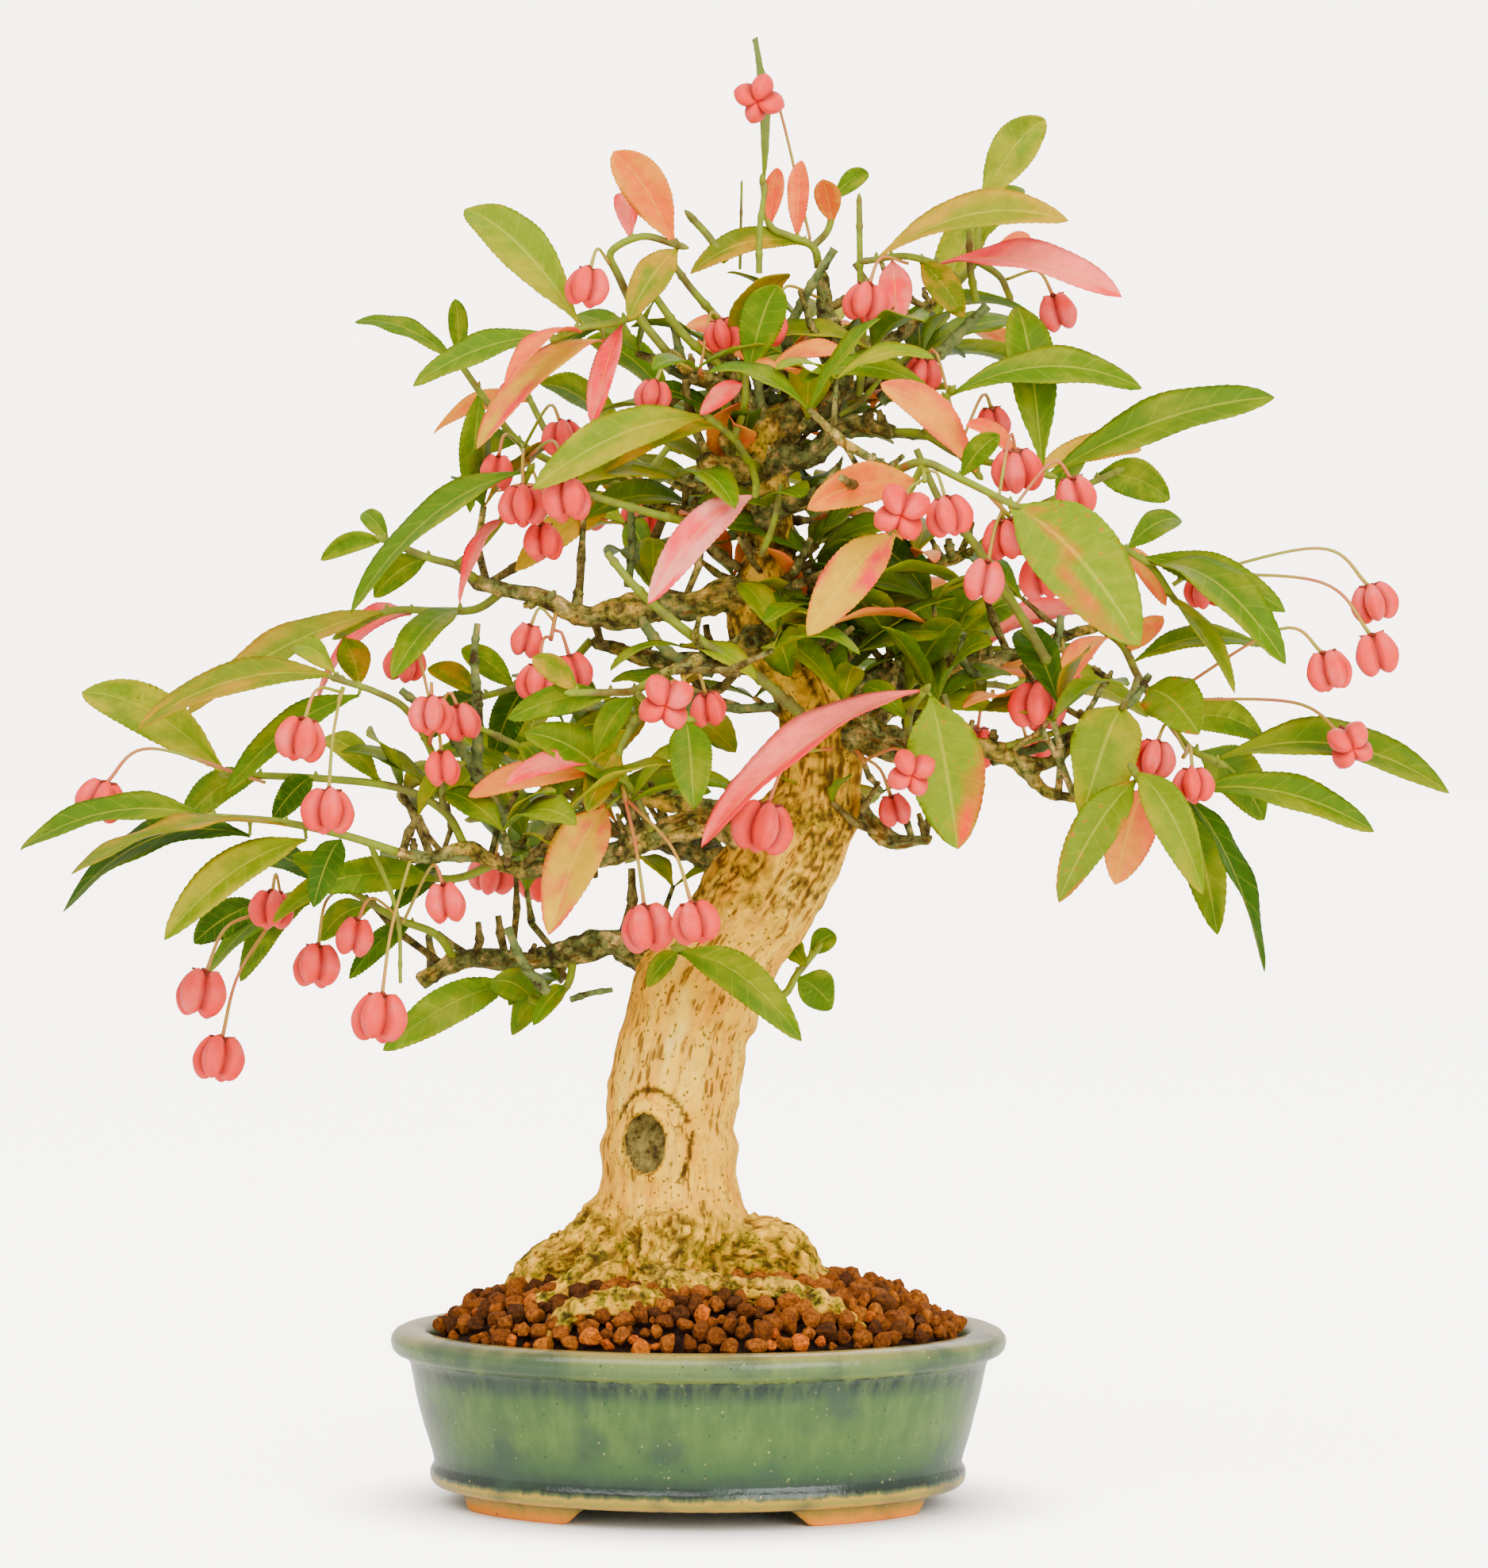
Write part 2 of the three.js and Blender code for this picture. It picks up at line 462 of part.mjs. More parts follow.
// Fruit bunches. From is u, v, depth of the stalk's start, moved onto the nearest twig or branch.
// Fruits are u, v, radius, depth gained from there, and 1 where the four lobes face the viewer.
const BUNCHES = {
  fruit_far_left: { from: [-108, 182.8, -12], rise: -1.8, fruits: [[-150.8, 176.4, 6.2, -12, 0]] },
  fruit_low_left: {
    from: [-104, 152.6, 21],
    fruits: [[-125.2, 127.8, 7.2, -22, 0], [-120.8, 111.4, 6.8, -24, 0], [-107.6, 149, 5.8, -12, 0]],
  },
  fruit_low_left_inner: { from: [-90, 156.4, 13], fruits: [[-96.2, 134.8, 6.4, -22, 0]] },
  fruit_long_stalk: { from: [-72, 163, -21], fruits: [[-80.4, 121.6, 7.2, -14, 0]] },
  fruit_left: { from: [-88, 206, -27], fruits: [[-100.2, 191.8, 6.4, -12, 0], [-93.4, 173.8, 6.6, -14, 0]] },
  fruit_inner_left: { from: [-72, 149, 3], fruits: [[-86.6, 142, 5.6, -10, 0], [-63.6, 150.6, 5.8, -30, 0]] },
  fruit_left_four: {
    from: [-66, 190, -18],
    fruits: [[-74, 211, 5.4, 8, 0], [-67.4, 198, 5.6, -16, 0], [-59.6, 196.2, 5.4, -10, 0],
      [-64.4, 184.6, 5, -14, 0]],
  },
  fruit_middle_left: {
    from: [-35.4, 226, -8],
    fruits: [[-43.2, 216.8, 5, -4, 0], [-40.4, 206.4, 5.4, -14, 0], [-31.4, 209, 5.4, -2, 0]],
  },
  fruit_trunk_pair: {
    from: [-20.5, 182.6, -28],
    fruits: [[-12.6, 144.2, 7, -8, 0], [-0.6, 145.6, 6.2, -6, 0]],
  },
  fruit_front_centre: { from: [-4, 209.6, -38], fruits: [[-8, 201.6, 7.2, -18, 1], [2.6, 199.6, 5, 6, 0]] },
  fruit_trunk_front: { from: [26, 186, -14], fruits: [[16.2, 169.6, 7.6, -22, 0]] },
  fruit_upper_left: { from: [-22, 313, -19], fruits: [[-28, 306, 5.8, -8, 0]] },
  fruit_cluster_left: {
    from: [-45, 267, 15],
    fruits: [[-50.8, 259.4, 5, -18, 0], [-44.2, 250.8, 6, -29, 0], [-33.2, 252.4, 6.4, -42, 0],
      [-39, 241.6, 5.4, -32, 0], [-34, 267.8, 5.4, -22, 0]],
  },
  fruit_inner_top: {
    from: [2, 283, -8],
    fruits: [[-11.4, 278.6, 4.6, -16, 0], [6.4, 294, 4.8, -4, 0]],
  },
  fruit_inner_apex: { from: [31.6, 304, 1], fruits: [[18, 296, 5.4, -12, 0]] },
  fruit_top: { from: [29, 316.4, 0], fruits: [[15.4, 353.8, 6.4, -6, 1]] },
  fruit_apex_single: { from: [54, 313.6, -8], rise: -0.6, fruits: [[42.2, 302, 5.8, -12, 0]] },
  fruit_upper_right: { from: [76, 309, -2], fruits: [[90.8, 299.6, 5.6, -4, 0]] },
  fruit_right_top: { from: [66, 264, -21], fruits: [[56.8, 284, 5, 14, 0], [74.6, 271.8, 4.8, 18, 0]] },
  fruit_front_pair: { from: [57, 262, -52], fruits: [[51.4, 249.6, 7.2, -14, 1], [63.4, 248.2, 5.8, -6, 0]] },
  fruit_cluster_right: {
    from: [72, 255, -58],
    fruits: [[80.6, 259.6, 6.4, 18, 0], [95.4, 253.2, 5.8, 10, 0], [78, 242.6, 6, 6, 0],
      [72.2, 231.8, 6, 8, 0],
      [87, 233, 6.4, 14, 0]],
  },
  fruit_far_right: {
    from: [117.5, 231, -13.5],
    rise: 0.8,
    fruits: [[127.6, 229.4, 5.2, 10, 0], [170.6, 226.4, 5.8, -6, 0], [171.2, 213.4, 6.4, -10, 0]],
  },
  fruit_right_chain: {
    from: [114, 203.5, -10.5],
    fruits: [[159.2, 209.2, 6, -15, 0], [164.4, 190.8, 6.2, -18, 1]],
  },
  fruit_right_front: { from: [92, 218, 8], fruits: [[85.6, 200.2, 7, -34, 0], [92.4, 206, 5, -12, 0]] },
  fruit_right_pair: {
    from: [124, 190, -18],
    fruits: [[114.8, 187, 5.6, -8, 0], [124.8, 180.4, 5.2, -20, 0]],
  },
  fruit_right_stub: { from: [42, 192.6, -13], fruits: [[53.8, 183.8, 6.2, -33, 1], [49.6, 174, 4.8, -4, 0]] },
  fruit_back_left: { from: [-46, 173, 82], fruits: [[-52, 158, 6.4, 10, 0], [-40, 156, 6, 14, 0]] },
  fruit_back_right: { from: [74, 206, 78], fruits: [[70, 190, 6.4, 14, 0], [84, 188, 6, 6, 0]] },
  fruit_back_top: { from: [-14, 260.8, 66], fruits: [[-14, 248, 6, 12, 0], [-28, 250, 6.4, 8, 0]] },
};

const up = new THREE.Vector3(0, 0, 1);
const forward = new THREE.Vector3(
  -Math.sin(EYE_TURN) * Math.cos(EYE_RISE),
  Math.cos(EYE_TURN) * Math.cos(EYE_RISE),
  -Math.sin(EYE_RISE),
);
const right = new THREE.Vector3(Math.cos(EYE_TURN), Math.sin(EYE_TURN), 0);
const upward = new THREE.Vector3().crossVectors(right, forward);
const eye = new THREE.Vector3()
  .addScaledVector(right, AIM_RIGHT)
  .addScaledVector(upward, AIM_UP)
  .addScaledVector(forward, -EYE_DISTANCE);

// The point in space that is seen at u, v and lies d behind the pot's middle.
function seen(u, v, d) {
  const far = EYE_DISTANCE + d;
  const spread = far / EYE_DISTANCE;
  return eye
    .clone()
    .addScaledVector(right, (u - AIM_RIGHT) * spread)
    .addScaledVector(upward, (v - AIM_UP) * spread)
    .addScaledVector(forward, far);
}

// How far a point lies behind the pot's middle, along the view.
const depthOf = (point) => point.clone().sub(eye).dot(forward) - EYE_DISTANCE;

// Seeded draws, the same on every run.
let state = 3897;
function draw(low, high) {
  state = (state + 0x6d2b79f5) >>> 0;
  let mixed = state;
  mixed = Math.imul(mixed ^ (mixed >>> 15), mixed | 1) >>> 0;
  mixed = (mixed ^ (mixed + Math.imul(mixed ^ (mixed >>> 7), mixed | 61))) >>> 0;
  return low + ((high - low) * ((mixed ^ (mixed >>> 14)) >>> 0)) / 2 ** 32;
}

const woodRun = (rows) => rows.map(([u, v, d, radius]) => ({ at: seen(u, v, d), radius }));

// A straight-jointed run of points with an even taper.
function twigRun(points, thick, thin, past = 0) {
  const last = points[points.length - 1];
  last.addScaledVector(last.clone().sub(points[points.length - 2]).normalize(), past);
  return points.map((at, i) => ({ at, radius: thick + ((thin - thick) * i) / (points.length - 1) }));
}

// Space already filled, as spheres along every piece.
const filled = [];
function fillRun(run, owner, kind) {
  for (let i = 0; i < run.length - 1; i++) {
    const a = run[i];
    const b = run[i + 1];
    const steps = Math.max(1, Math.ceil(a.at.distanceTo(b.at) / FILL_STEP));
    for (let k = 0; k <= steps; k++) {
      const at = a.at.clone().lerp(b.at, k / steps);
      filled.push({ at, radius: a.radius + ((b.radius - a.radius) * k) / steps, owner, kind });
    }
  }
}

// The least room between some spheres and all that is filled, apart from what is skipped.
function room(spheres, skip) {
  let least = Infinity;
  for (const one of filled) {
    if (skip(one)) continue;
    for (const sphere of spheres) {
      least = Math.min(least, one.at.distanceTo(sphere.at) - one.radius - sphere.radius);
    }
  }
  return least;
}

// Tries a depth change of 0, then steps nearer and farther, and keeps the first with room.
function clearDepth(make, skip, margin) {
  let best = null;
  for (let n = 0; n < DEPTH_TRIES; n++) {
    const shift = DEPTH_STEP * Math.ceil(n / 2) * (n % 2 ? -1 : 1);
    const made = make(shift);
    const least = room(made.spheres, skip);
    if (!best || least > best.least + 1e-6) best = { least, made };
    if (least > margin) return made;
  }
  return best.made;
}

// The filled sphere of a wanted kind that lies nearest to a point.
function nearest(at, wanted) {
  let found = null;
  let least = Infinity;
  for (const one of filled) {
    if (!wanted(one)) continue;
    const far = one.at.distanceTo(at);
    if (far < least - 1e-9) {
      least = far;
      found = one;
    }
  }
  return found;
}

// A leaf's frame, outline and the spheres that stand for its blade.
function planLeaf(stalk, base, tip, seenWidth, facing) {
  const along = tip.clone().sub(base);
  const length = along.length();
  along.normalize();
  const width = Math.max(seenWidth, NARROWEST * length);
  const toEye = facing.clone().addScaledVector(along, -facing.dot(along)).normalize();
  const flat = new THREE.Vector3().crossVectors(along, toEye);
  if (flat.z < 0) flat.negate();
  const lean = Math.min(1, Math.max(LEAST_LEAN, seenWidth / width));
  const normal = toEye.multiplyScalar(lean).addScaledVector(flat, Math.sqrt(1 - lean * lean));
  const across = new THREE.Vector3().crossVectors(normal, along);
  const point = (t) => {
    const arch = LEAF_ARCH * length * 4 * t * (1 - t);
    return base.clone().addScaledVector(along, length * t).addScaledVector(up, arch);
  };
  const half = (t) => {
    let i = 0;
    while (i < BLADE_STATIONS.length - 2 && t > BLADE_STATIONS[i + 1]) i++;
    const part = (t - BLADE_STATIONS[i]) / (BLADE_STATIONS[i + 1] - BLADE_STATIONS[i]);
    return (width / 2) * (BLADE_WIDTHS[i] + (BLADE_WIDTHS[i + 1] - BLADE_WIDTHS[i]) * part);
  };
  const spheres = [];
  const rows = Math.ceil(length / LEAF_SPACING);
  for (let i = 1; i <= rows; i++) {
    const t = i / rows;
    const columns = half(t) > WIDE_BLADE ? [-BLADE_COLUMN, 0, BLADE_COLUMN] : [0];
    for (const side of columns) {
      spheres.push({ at: point(t).addScaledVector(across, side * half(t)), radius: LEAF_SPHERE });
    }
  }
  return { stalk, tip, length, normal, across, point, half, spheres };
}

// The wood is laid out first, then twigs, leaf stalks, fruit and leaves round it.
const trunkRun = woodRun(TRUNK);
const rootRuns = ROOTS.map(woodRun);
const branchRuns = BRANCHES.map(woodRun);
fillRun(trunkRun, "wood", "wood");
rootRuns.forEach((run) => fillRun(run, "wood", "root"));
branchRuns.forEach((run) => fillRun(run, "wood", "wood"));

const shoots = [];
for (const [name, { twigs, leaves, many = 0 }] of Object.entries(SHOOTS)) {
  const runs = [];
  twigs.forEach((rows, i) => {
    const points = rows.map(([u, v, d]) => seen(u, v, d));
    if (i === 0) {
      const start = nearest(points[0], (one) => one.kind === "wood");
      if (start.at.distanceTo(points[0]) > 0.01) points[0] = start.at.clone();
    }
    runs.push(twigRun(points, i ? SIDE_TWIG_THICK : TWIG_THICK, i ? SIDE_TWIG_THIN : TWIG_THIN, TWIG_PAST));
  });
  runs.forEach((run) => fillRun(run, name, "twig"));
  shoots.push({ name, runs, wanted: leaves, many, leaves: [] });
}

// Every seen leaf's stalk runs from the nearest point of its own twigs to the blade, and no two
// leaves grow from one spot.
for (const shoot of shoots) {
  const taken = [];
  shoot.plans = shoot.wanted.map(([u, v, tipU, tipV, width, gain]) => {
    let from = null;
    let least = Infinity;
    for (const one of filled) {
      if (one.owner !== shoot.name || one.kind !== "twig") continue;
      if (taken.some((spot) => spot.distanceTo(one.at) < LEAF_APART)) continue;
      const depth = depthOf(one.at);
      const far = seen(u, v, depth).distanceTo(one.at);
      if (far < least - 1e-9) {
        least = far;
        from = { at: one.at, depth };
      }
    }
    const base = seen(u, v, from.depth);
    taken.push(from.at);
    return { from: from.at, base, width, makeTip: (shift) => seen(tipU, tipV, from.depth + gain + shift) };
  });
  for (const { from, base } of shoot.plans) {
    const stalk = [from, base].map((at) => ({ at, radius: PETIOLE_RADIUS }));
    fillRun(stalk, shoot.name, "petiole");
  }
}

// The start of a bunch: the spot near its given one from which its stalks have the most room.
function findStart(name, start, reach) {
  let best = null;
  for (const one of filled) {
    const away = one.at.distanceTo(start.at);
    if (!grows(one) || away > START_REACH) continue;
    const along = (far) => one.at.clone().addScaledVector(reach, one.radius + far);
    const path = START_PATH.map((far) => ({ at: along(far), radius: STALK_RADIUS }));
    const clear = room(path, (other) => other === one || other.owner === name);
    const score = Math.min(START_MARGIN, clear) - START_AWAY * away;
    if (!best || score > best.score) best = { score, one, foot: along(STALK_CLEAR) };
  }
  return best;
}
const grows = (one) => one.kind === "wood" || one.kind === "twig";

const bunches = [];
for (const [name, { from, fruits, rise = 0 }] of Object.entries(BUNCHES)) {
  const start = nearest(seen(...from), grows);
  const depth = depthOf(start.at);
  const made = fruits.map(([u, v, radius, gain, star]) => {
    const fruit = clearDepth(
      (shift) => {
        const at = seen(u, v, depth + gain + shift);
        return { spheres: [{ at, radius }], at, radius, star };
      },
      (one) => one === start,
      FRUIT_MARGIN,
    );
    filled.push({ at: fruit.at, radius, owner: name, kind: "fruit" });
    return fruit;
  });
  const middle = new THREE.Vector3();
  made.forEach((fruit) => middle.addScaledVector(fruit.at, 1 / made.length));
  const reach = middle.sub(start.at).normalize().addScaledVector(up, rise).normalize();
  const best = findStart(name, start, reach);
  const onWood = best.one.kind === "wood";
  const foot = onWood ? best.one.at.clone().lerp(best.foot, 0.5) : best.foot;
  const alone = made.length === 1;
  const fork = (k) => best.foot.clone().addScaledVector(reach, FORK_FIRST + FORK_STEP * k);
  made.sort((one, other) => one.at.distanceTo(best.foot) - other.at.distanceTo(best.foot));
  made.forEach((fruit, k) => {
    const root = alone ? foot : fork(k);
    fruit.axis = new THREE.Vector3(0, 0, -1);
    if (fruit.star) fruit.axis.addScaledVector(forward, -2).normalize();
    const side = fruit.at.clone().sub(root).setZ(0);
    if (side.length() > 0.01) fruit.axis.addScaledVector(side.normalize(), FRUIT_SWING).normalize();
    const top = fruit.at.clone().addScaledVector(fruit.axis, -STALK_TOP * fruit.radius);
    const neck = fruit.at.clone().addScaledVector(fruit.axis, -STALK_NECK * fruit.radius);
    const bend = root.clone().lerp(neck, STALK_BEND).addScaledVector(up, STALK_RISE * root.distanceTo(neck));
    fruit.stalk = twigRun([root, bend, top], alone ? STALK_RADIUS : FORK_RADIUS, STALK_RADIUS);
    fillRun(fruit.stalk, name, "stalk");
  });
  const stem = alone ? null : twigRun([foot, fork(made.length - STEM_SHORT)], STEM_RADIUS, STEM_RADIUS);
  if (stem) fillRun(stem, name, "stalk");
  bunches.push({ name, onWood, stem, fruits: made });
}

function placeLeaf(shoot, stalk, base, makeTip, width, facing) {
  const own = (one) =>
    one.owner === shoot.name &&
    (one.kind === "petiole" || (one.kind === "twig" && one.at.distanceTo(base) < OWN_TWIG));
  const leaf = clearDepth((shift) => planLeaf(stalk, base, makeTip(shift), width, facing), own, LEAF_MARGIN);
  leaf.spheres.forEach((sphere) => filled.push({ ...sphere, owner: shoot.name, kind: "leaf" }));
  shoot.leaves.push(leaf);
}

for (const shoot of shoots) {
  for (const { from, base, makeTip, width } of shoot.plans) {
    placeLeaf(shoot, from, base, makeTip, width, forward.clone().negate());
  }
}

// Leaves on the far side of the tree stand round their twigs by the golden angle.
for (const shoot of shoots) {
  const places = filled.filter((one) => one.owner === shoot.name && one.kind === "twig");
  for (let k = 0; k < shoot.many; k++) {
    const place = places[Math.floor(((k + 1) * (places.length - 1)) / shoot.many)].at;
    const turn = k * GOLDEN_TURN + draw(-BACK_STRAY, BACK_STRAY);
    const length = draw(...BACK_LENGTH);
    const back = 0.55 + 0.5 * Math.sin(turn);
    const outward = new THREE.Vector3(Math.cos(turn), back, draw(...BACK_RISE)).normalize();
    const base = place.clone().addScaledVector(outward, BACK_STALK);
    const tip = base.clone().addScaledVector(outward, length);
    const facing = new THREE.Vector3(outward.x * 0.4, 0.6, 0.9);
    const makeTip = (shift) => tip.clone().addScaledVector(up, shift);
    placeLeaf(shoot, place, base, makeTip, draw(...BACK_WIDTH), facing);
  }
}

// A closed skin over rings; each ring gives its middle and its two half axes, and a lobed ring
// gives its corners' places and shares too.
function loft(rings, sides, turn = 0) {
  const skin = new THREE.CylinderGeometry(1, 1, 1, sides, rings.length - 1, false, turn);
  const place = skin.attributes.position;
  for (let i = 0; i < place.count; i++) {
    const ring = rings[Math.round((0.5 - place.getY(i)) * (rings.length - 1))];
    let x = place.getX(i);
    let z = place.getZ(i);
    if (ring.corner && Math.hypot(x, z) > 0.5) {
      const corner = Math.round((Math.atan2(x, z) / (2 * Math.PI)) * sides + sides) % sides;
      const angle = (ring.corner(corner) / sides) * 2 * Math.PI;
      const share = ring.share ? ring.share(corner) : 1;
      x = share * Math.sin(angle);
      z = share * Math.cos(angle);
    }
    const point = ring.at.clone().addScaledVector(ring.x, x).addScaledVector(ring.z, z);
    place.setXYZ(i, point.x, point.y, point.z);
  }
  return skin;
}

function ringsAlong(run, grow = 0, turn = 0) {
  let side = new THREE.Vector3(0.3 + 1.1 * turn, -1, 0.2 - 0.7 * turn);
  return run.map(({ at, radius }, i) => {
    const before = run[Math.max(0, i - 1)].at;
    const after = run[Math.min(run.length - 1, i + 1)].at;
    const along = after.clone().sub(before).normalize();
    side = side.clone().addScaledVector(along, -side.dot(along)).normalize();
    const other = new THREE.Vector3().crossVectors(along, side);
    const size = radius + grow;
    return { at, x: side.clone().multiplyScalar(size), z: other.multiplyScalar(size) };
  });
}

const tube = (run, sides, grow = 0, turn = 0) => loft(ringsAlong(run, grow, turn), sides);

function toSolid(skin) {
  const bare = skin.clone();
  bare.deleteAttribute("normal");
  bare.deleteAttribute("uv");
  const merged = mergeVertices(bare, SAME_PLACE);
  const corners = [];
  for (let i = 0; i < merged.index.count; i += 3) {
    const [a, b, c] = [0, 1, 2].map((n) => merged.index.getX(i + n));
    if (a !== b && b !== c && c !== a) corners.push(a, b, c);
  }
  const vertProperties = new Float32Array(merged.attributes.position.array);
  const solid = (triVerts) => new wasm.Manifold(new wasm.Mesh({ numProp: 3, vertProperties, triVerts }));
  const made = solid(new Uint32Array(corners));
  if (made.volume() > 0) return made;
  for (let i = 0; i < corners.length; i += 3) {
    [corners[i + 1], corners[i + 2]] = [corners[i + 2], corners[i + 1]];
  }
  return solid(new Uint32Array(corners));
}

const join = (solids) => wasm.Manifold.union(solids);

// The smallest distance between any two corners of a solid.
function closest(solid) {
  const mesh = solid.getMesh();
  const corners = [];
  for (let i = 0; i < mesh.vertProperties.length; i += 3) {
    corners.push(new THREE.Vector3().fromArray(mesh.vertProperties, i));
  }
  corners.sort((one, other) => one.x - other.x);
  let least = Infinity;
  corners.forEach((corner, i) => {
    for (let k = i + 1; k < corners.length && corners[k].x - corner.x < least; k++) {
      least = Math.min(least, corner.distanceTo(corners[k]));
    }
  });
  return least;
}

// The largest body of a solid, without loose scraps, cleared of slivers.
function whole(solid) {
  let best = null;
  for (const sliver of SLIVERS) {
    const bodies = solid.simplify(sliver).decompose();
    const body = bodies.reduce((a, b) => (b.volume() > a.volume() ? b : a));
    const apart = closest(body);
    if (!best || apart > best.apart) best = { apart, body };
    if (apart > CORNERS_APART) break;
  }
  return best.body;
}

const group = new THREE.Group();
function addMesh(name, solid, color, roughness) {
  const mesh = solid.getMesh();
  const skin = new THREE.BufferGeometry()
    .setAttribute("position", new THREE.BufferAttribute(new Float32Array(mesh.vertProperties), 3))
    .setIndex(new THREE.BufferAttribute(new Uint32Array(mesh.triVerts), 1));
  skin.computeVertexNormals();
  const piece = new THREE.Mesh(skin, new THREE.MeshStandardMaterial({ color, roughness }));
  piece.name = name;
  group.add(piece);
}

// Wood: trunk, surface roots and bark branches grown as one, with the ring of a healed cut.
function flutedTrunk(grow) {
  const skin = tube(trunkRun, TRUNK_SIDES, grow);
  const place = skin.attributes.position;
  const wave = ({ size, count, twist }, angle, z) => size * Math.sin(count * angle + twist * z);
  for (let i = 0; i < place.count; i++) {
    const point = new THREE.Vector3().fromBufferAttribute(place, i);
    const { at } = trunkRun.reduce((a, b) => (b.at.distanceTo(point) < a.at.distanceTo(point) ? b : a));
    const out = point.clone().sub(at);
    const angle = Math.atan2(out.y, out.x);
    const swell = 1 + wave(WIDE_SWELL, angle, point.z) + wave(FINE_SWELL, angle, point.z);
    point.copy(at).addScaledVector(out, swell);
    place.setXYZ(i, point.x, point.y, point.z);
  }
  return skin;
}

function buildWood(grow) {
  const pieces = [toSolid(flutedTrunk(grow))];
  rootRuns.forEach((run) => pieces.push(toSolid(tube(run, ROOT_SIDES, grow))));
  for (const run of branchRuns) {
    pieces.push(toSolid(tube(run, run[0].radius > THICK_FROM ? THICK_SIDES : THIN_SIDES, grow)));
  }
  const ring = new THREE.TorusGeometry(CUT.ring, CUT.thick + grow, CUT_SIDES, CUT_SEGMENTS);
  ring.scale(1, CUT.tall, 1).rotateX(Math.PI / 2).rotateZ(CUT.turn);
  const at = seen(CUT.u, CUT.v, CUT.depth);
  ring.translate(at.x, at.y, at.z);
  pieces.push(toSolid(ring));
  return join(pieces);
}
const wood = whole(buildWood(0));
const aroundWood = buildWood(GAP);

// Pot: the section runs round an oval; a distance from the ring in the floor gives each point.
function ovalPoint(distance, angle) {
  const long = FLOOR_RING;
  const deep = FLOOR_RING - (POT_HALF_LENGTH - POT_HALF_DEPTH);
  const share = Math.min(1, distance / FLOOR_RING);
  const out = new THREE.Vector2(Math.cos(angle) / long, Math.sin(angle) / deep).normalize();
  const beyond = Math.max(0, distance - FLOOR_RING);
  return [long * share * Math.cos(angle) + out.x * beyond, deep * share * Math.sin(angle) + out.y * beyond];
}

function oval(section, segments, relief = () => 0) {
  const skin = new THREE.LatheGeometry(section.map(([r, z]) => new THREE.Vector2(r, z)), segments);
  const place = skin.attributes.position;
  for (let i = 0; i < place.count; i++) {
    const distance = Math.hypot(place.getX(i), place.getZ(i));
    const angle = Math.atan2(place.getX(i), place.getZ(i));
    const [x, y] = distance > 0.01 ? ovalPoint(distance, angle) : [0, 0];
    const z = place.getY(i);
    place.setXYZ(i, x, y, z + relief(x, y, z, distance));
  }
  return skin;
}

// A gap between two feet, wider outside than inside.
function footGap(outer, inner, reach, depth, turn) {
  const plan = new THREE.Shape([
    new THREE.Vector2(-outer, -reach),
    new THREE.Vector2(outer, -reach),
    new THREE.Vector2(inner, -depth),
    new THREE.Vector2(-inner, -depth),
  ]);
  const block = new THREE.ExtrudeGeometry(plan, { depth: FOOT_HEIGHT + 1, bevelEnabled: false });
  block.translate(0, 0, -1).rotateZ(turn);
  return toSolid(block);
}

let pot = toSolid(oval(SECTION, POT_SEGMENTS));
for (const turn of [0, Math.PI]) {
  pot = pot.subtract(footGap(...FRONT_GAP, turn));
  pot = pot.subtract(footGap(...SIDE_GAP, turn + Math.PI / 2));
}
for (const side of [-1, 1]) {
  const drain = new THREE.CylinderGeometry(DRAIN_RADIUS, DRAIN_RADIUS, 2 * FLOOR_TOP, DRAIN_SIDES);
  drain.rotateX(Math.PI / 2).translate(side * DRAIN_PLACE, 0, FLOOR_TOP);
  pot = pot.subtract(toSolid(drain));
}

// Soil: fills the pot a gap clear of its wall and rises in a rough mound with steep shoulders.
const mound = (distance) => MOUND_START + MOUND_HEIGHT * (1 - Math.pow(distance / SOIL_EDGE, MOUND_SHOULDER));
const heap = [...SOIL_FOOT, ...MOUND_RINGS.map((distance) => [distance, mound(distance)]), [0, mound(0)]];
const bumps = new Map();
function granules(x, y, z, distance) {
  if (z < ROUGH_ABOVE || distance < 1) return 0;
  const key = Math.round(x * 10) + ":" + Math.round(y * 10);
  if (!bumps.has(key)) bumps.set(key, distance > SOIL_EDGE - 1 ? draw(-GRANULE, 0) : draw(-GRANULE, GRANULE));
  return bumps.get(key);
}
const soil = toSolid(oval(heap, SOIL_SEGMENTS, granules)).subtract(aroundWood);

addMesh("pot", whole(pot), GLAZE_COLOR, 0.35);
addMesh("soil", whole(soil), SOIL_COLOR, 0.95);
addMesh("wood", wood, BARK_COLOR, 0.85);

// Leafy shoots: twigs and blades in one body, each leaf from inside its twig to its tip.
function leafSolid(leaf) {
  const ring = (at, half, thick) => ({
    at,
    x: leaf.across.clone().multiplyScalar(half / Math.SQRT1_2),
    z: leaf.normal.clone().multiplyScalar(thick / 2 / Math.SQRT1_2),
  });
  const stations = leaf.length > SHORT_BLADE ? BLADE_STATIONS : SHORT_STATIONS;
  const blade = stations
    .slice(0, -1)
    .map((t) => ring(leaf.point(t), Math.max(STALK_HALF, leaf.half(t)), BLADE));
  const rings = [ring(leaf.stalk, STALK_HALF, 2 * STALK_HALF), ...blade, ring(leaf.tip, 0, 0)];
  return toSolid(loft(rings, BLADE_SIDES, Math.PI / 4));
}

shoots.forEach((shoot, i) => {
  const twigs = shoot.runs.map((run, turn) => toSolid(tube(run, TWIG_SIDES, 0, turn)));
  const grown = join([...twigs, ...shoot.leaves.map(leafSolid)]);
  addMesh("shoot_" + shoot.name, whole(grown.subtract(aroundWood)), LEAF_COLORS[i % LEAF_COLORS.length], 0.6);
});

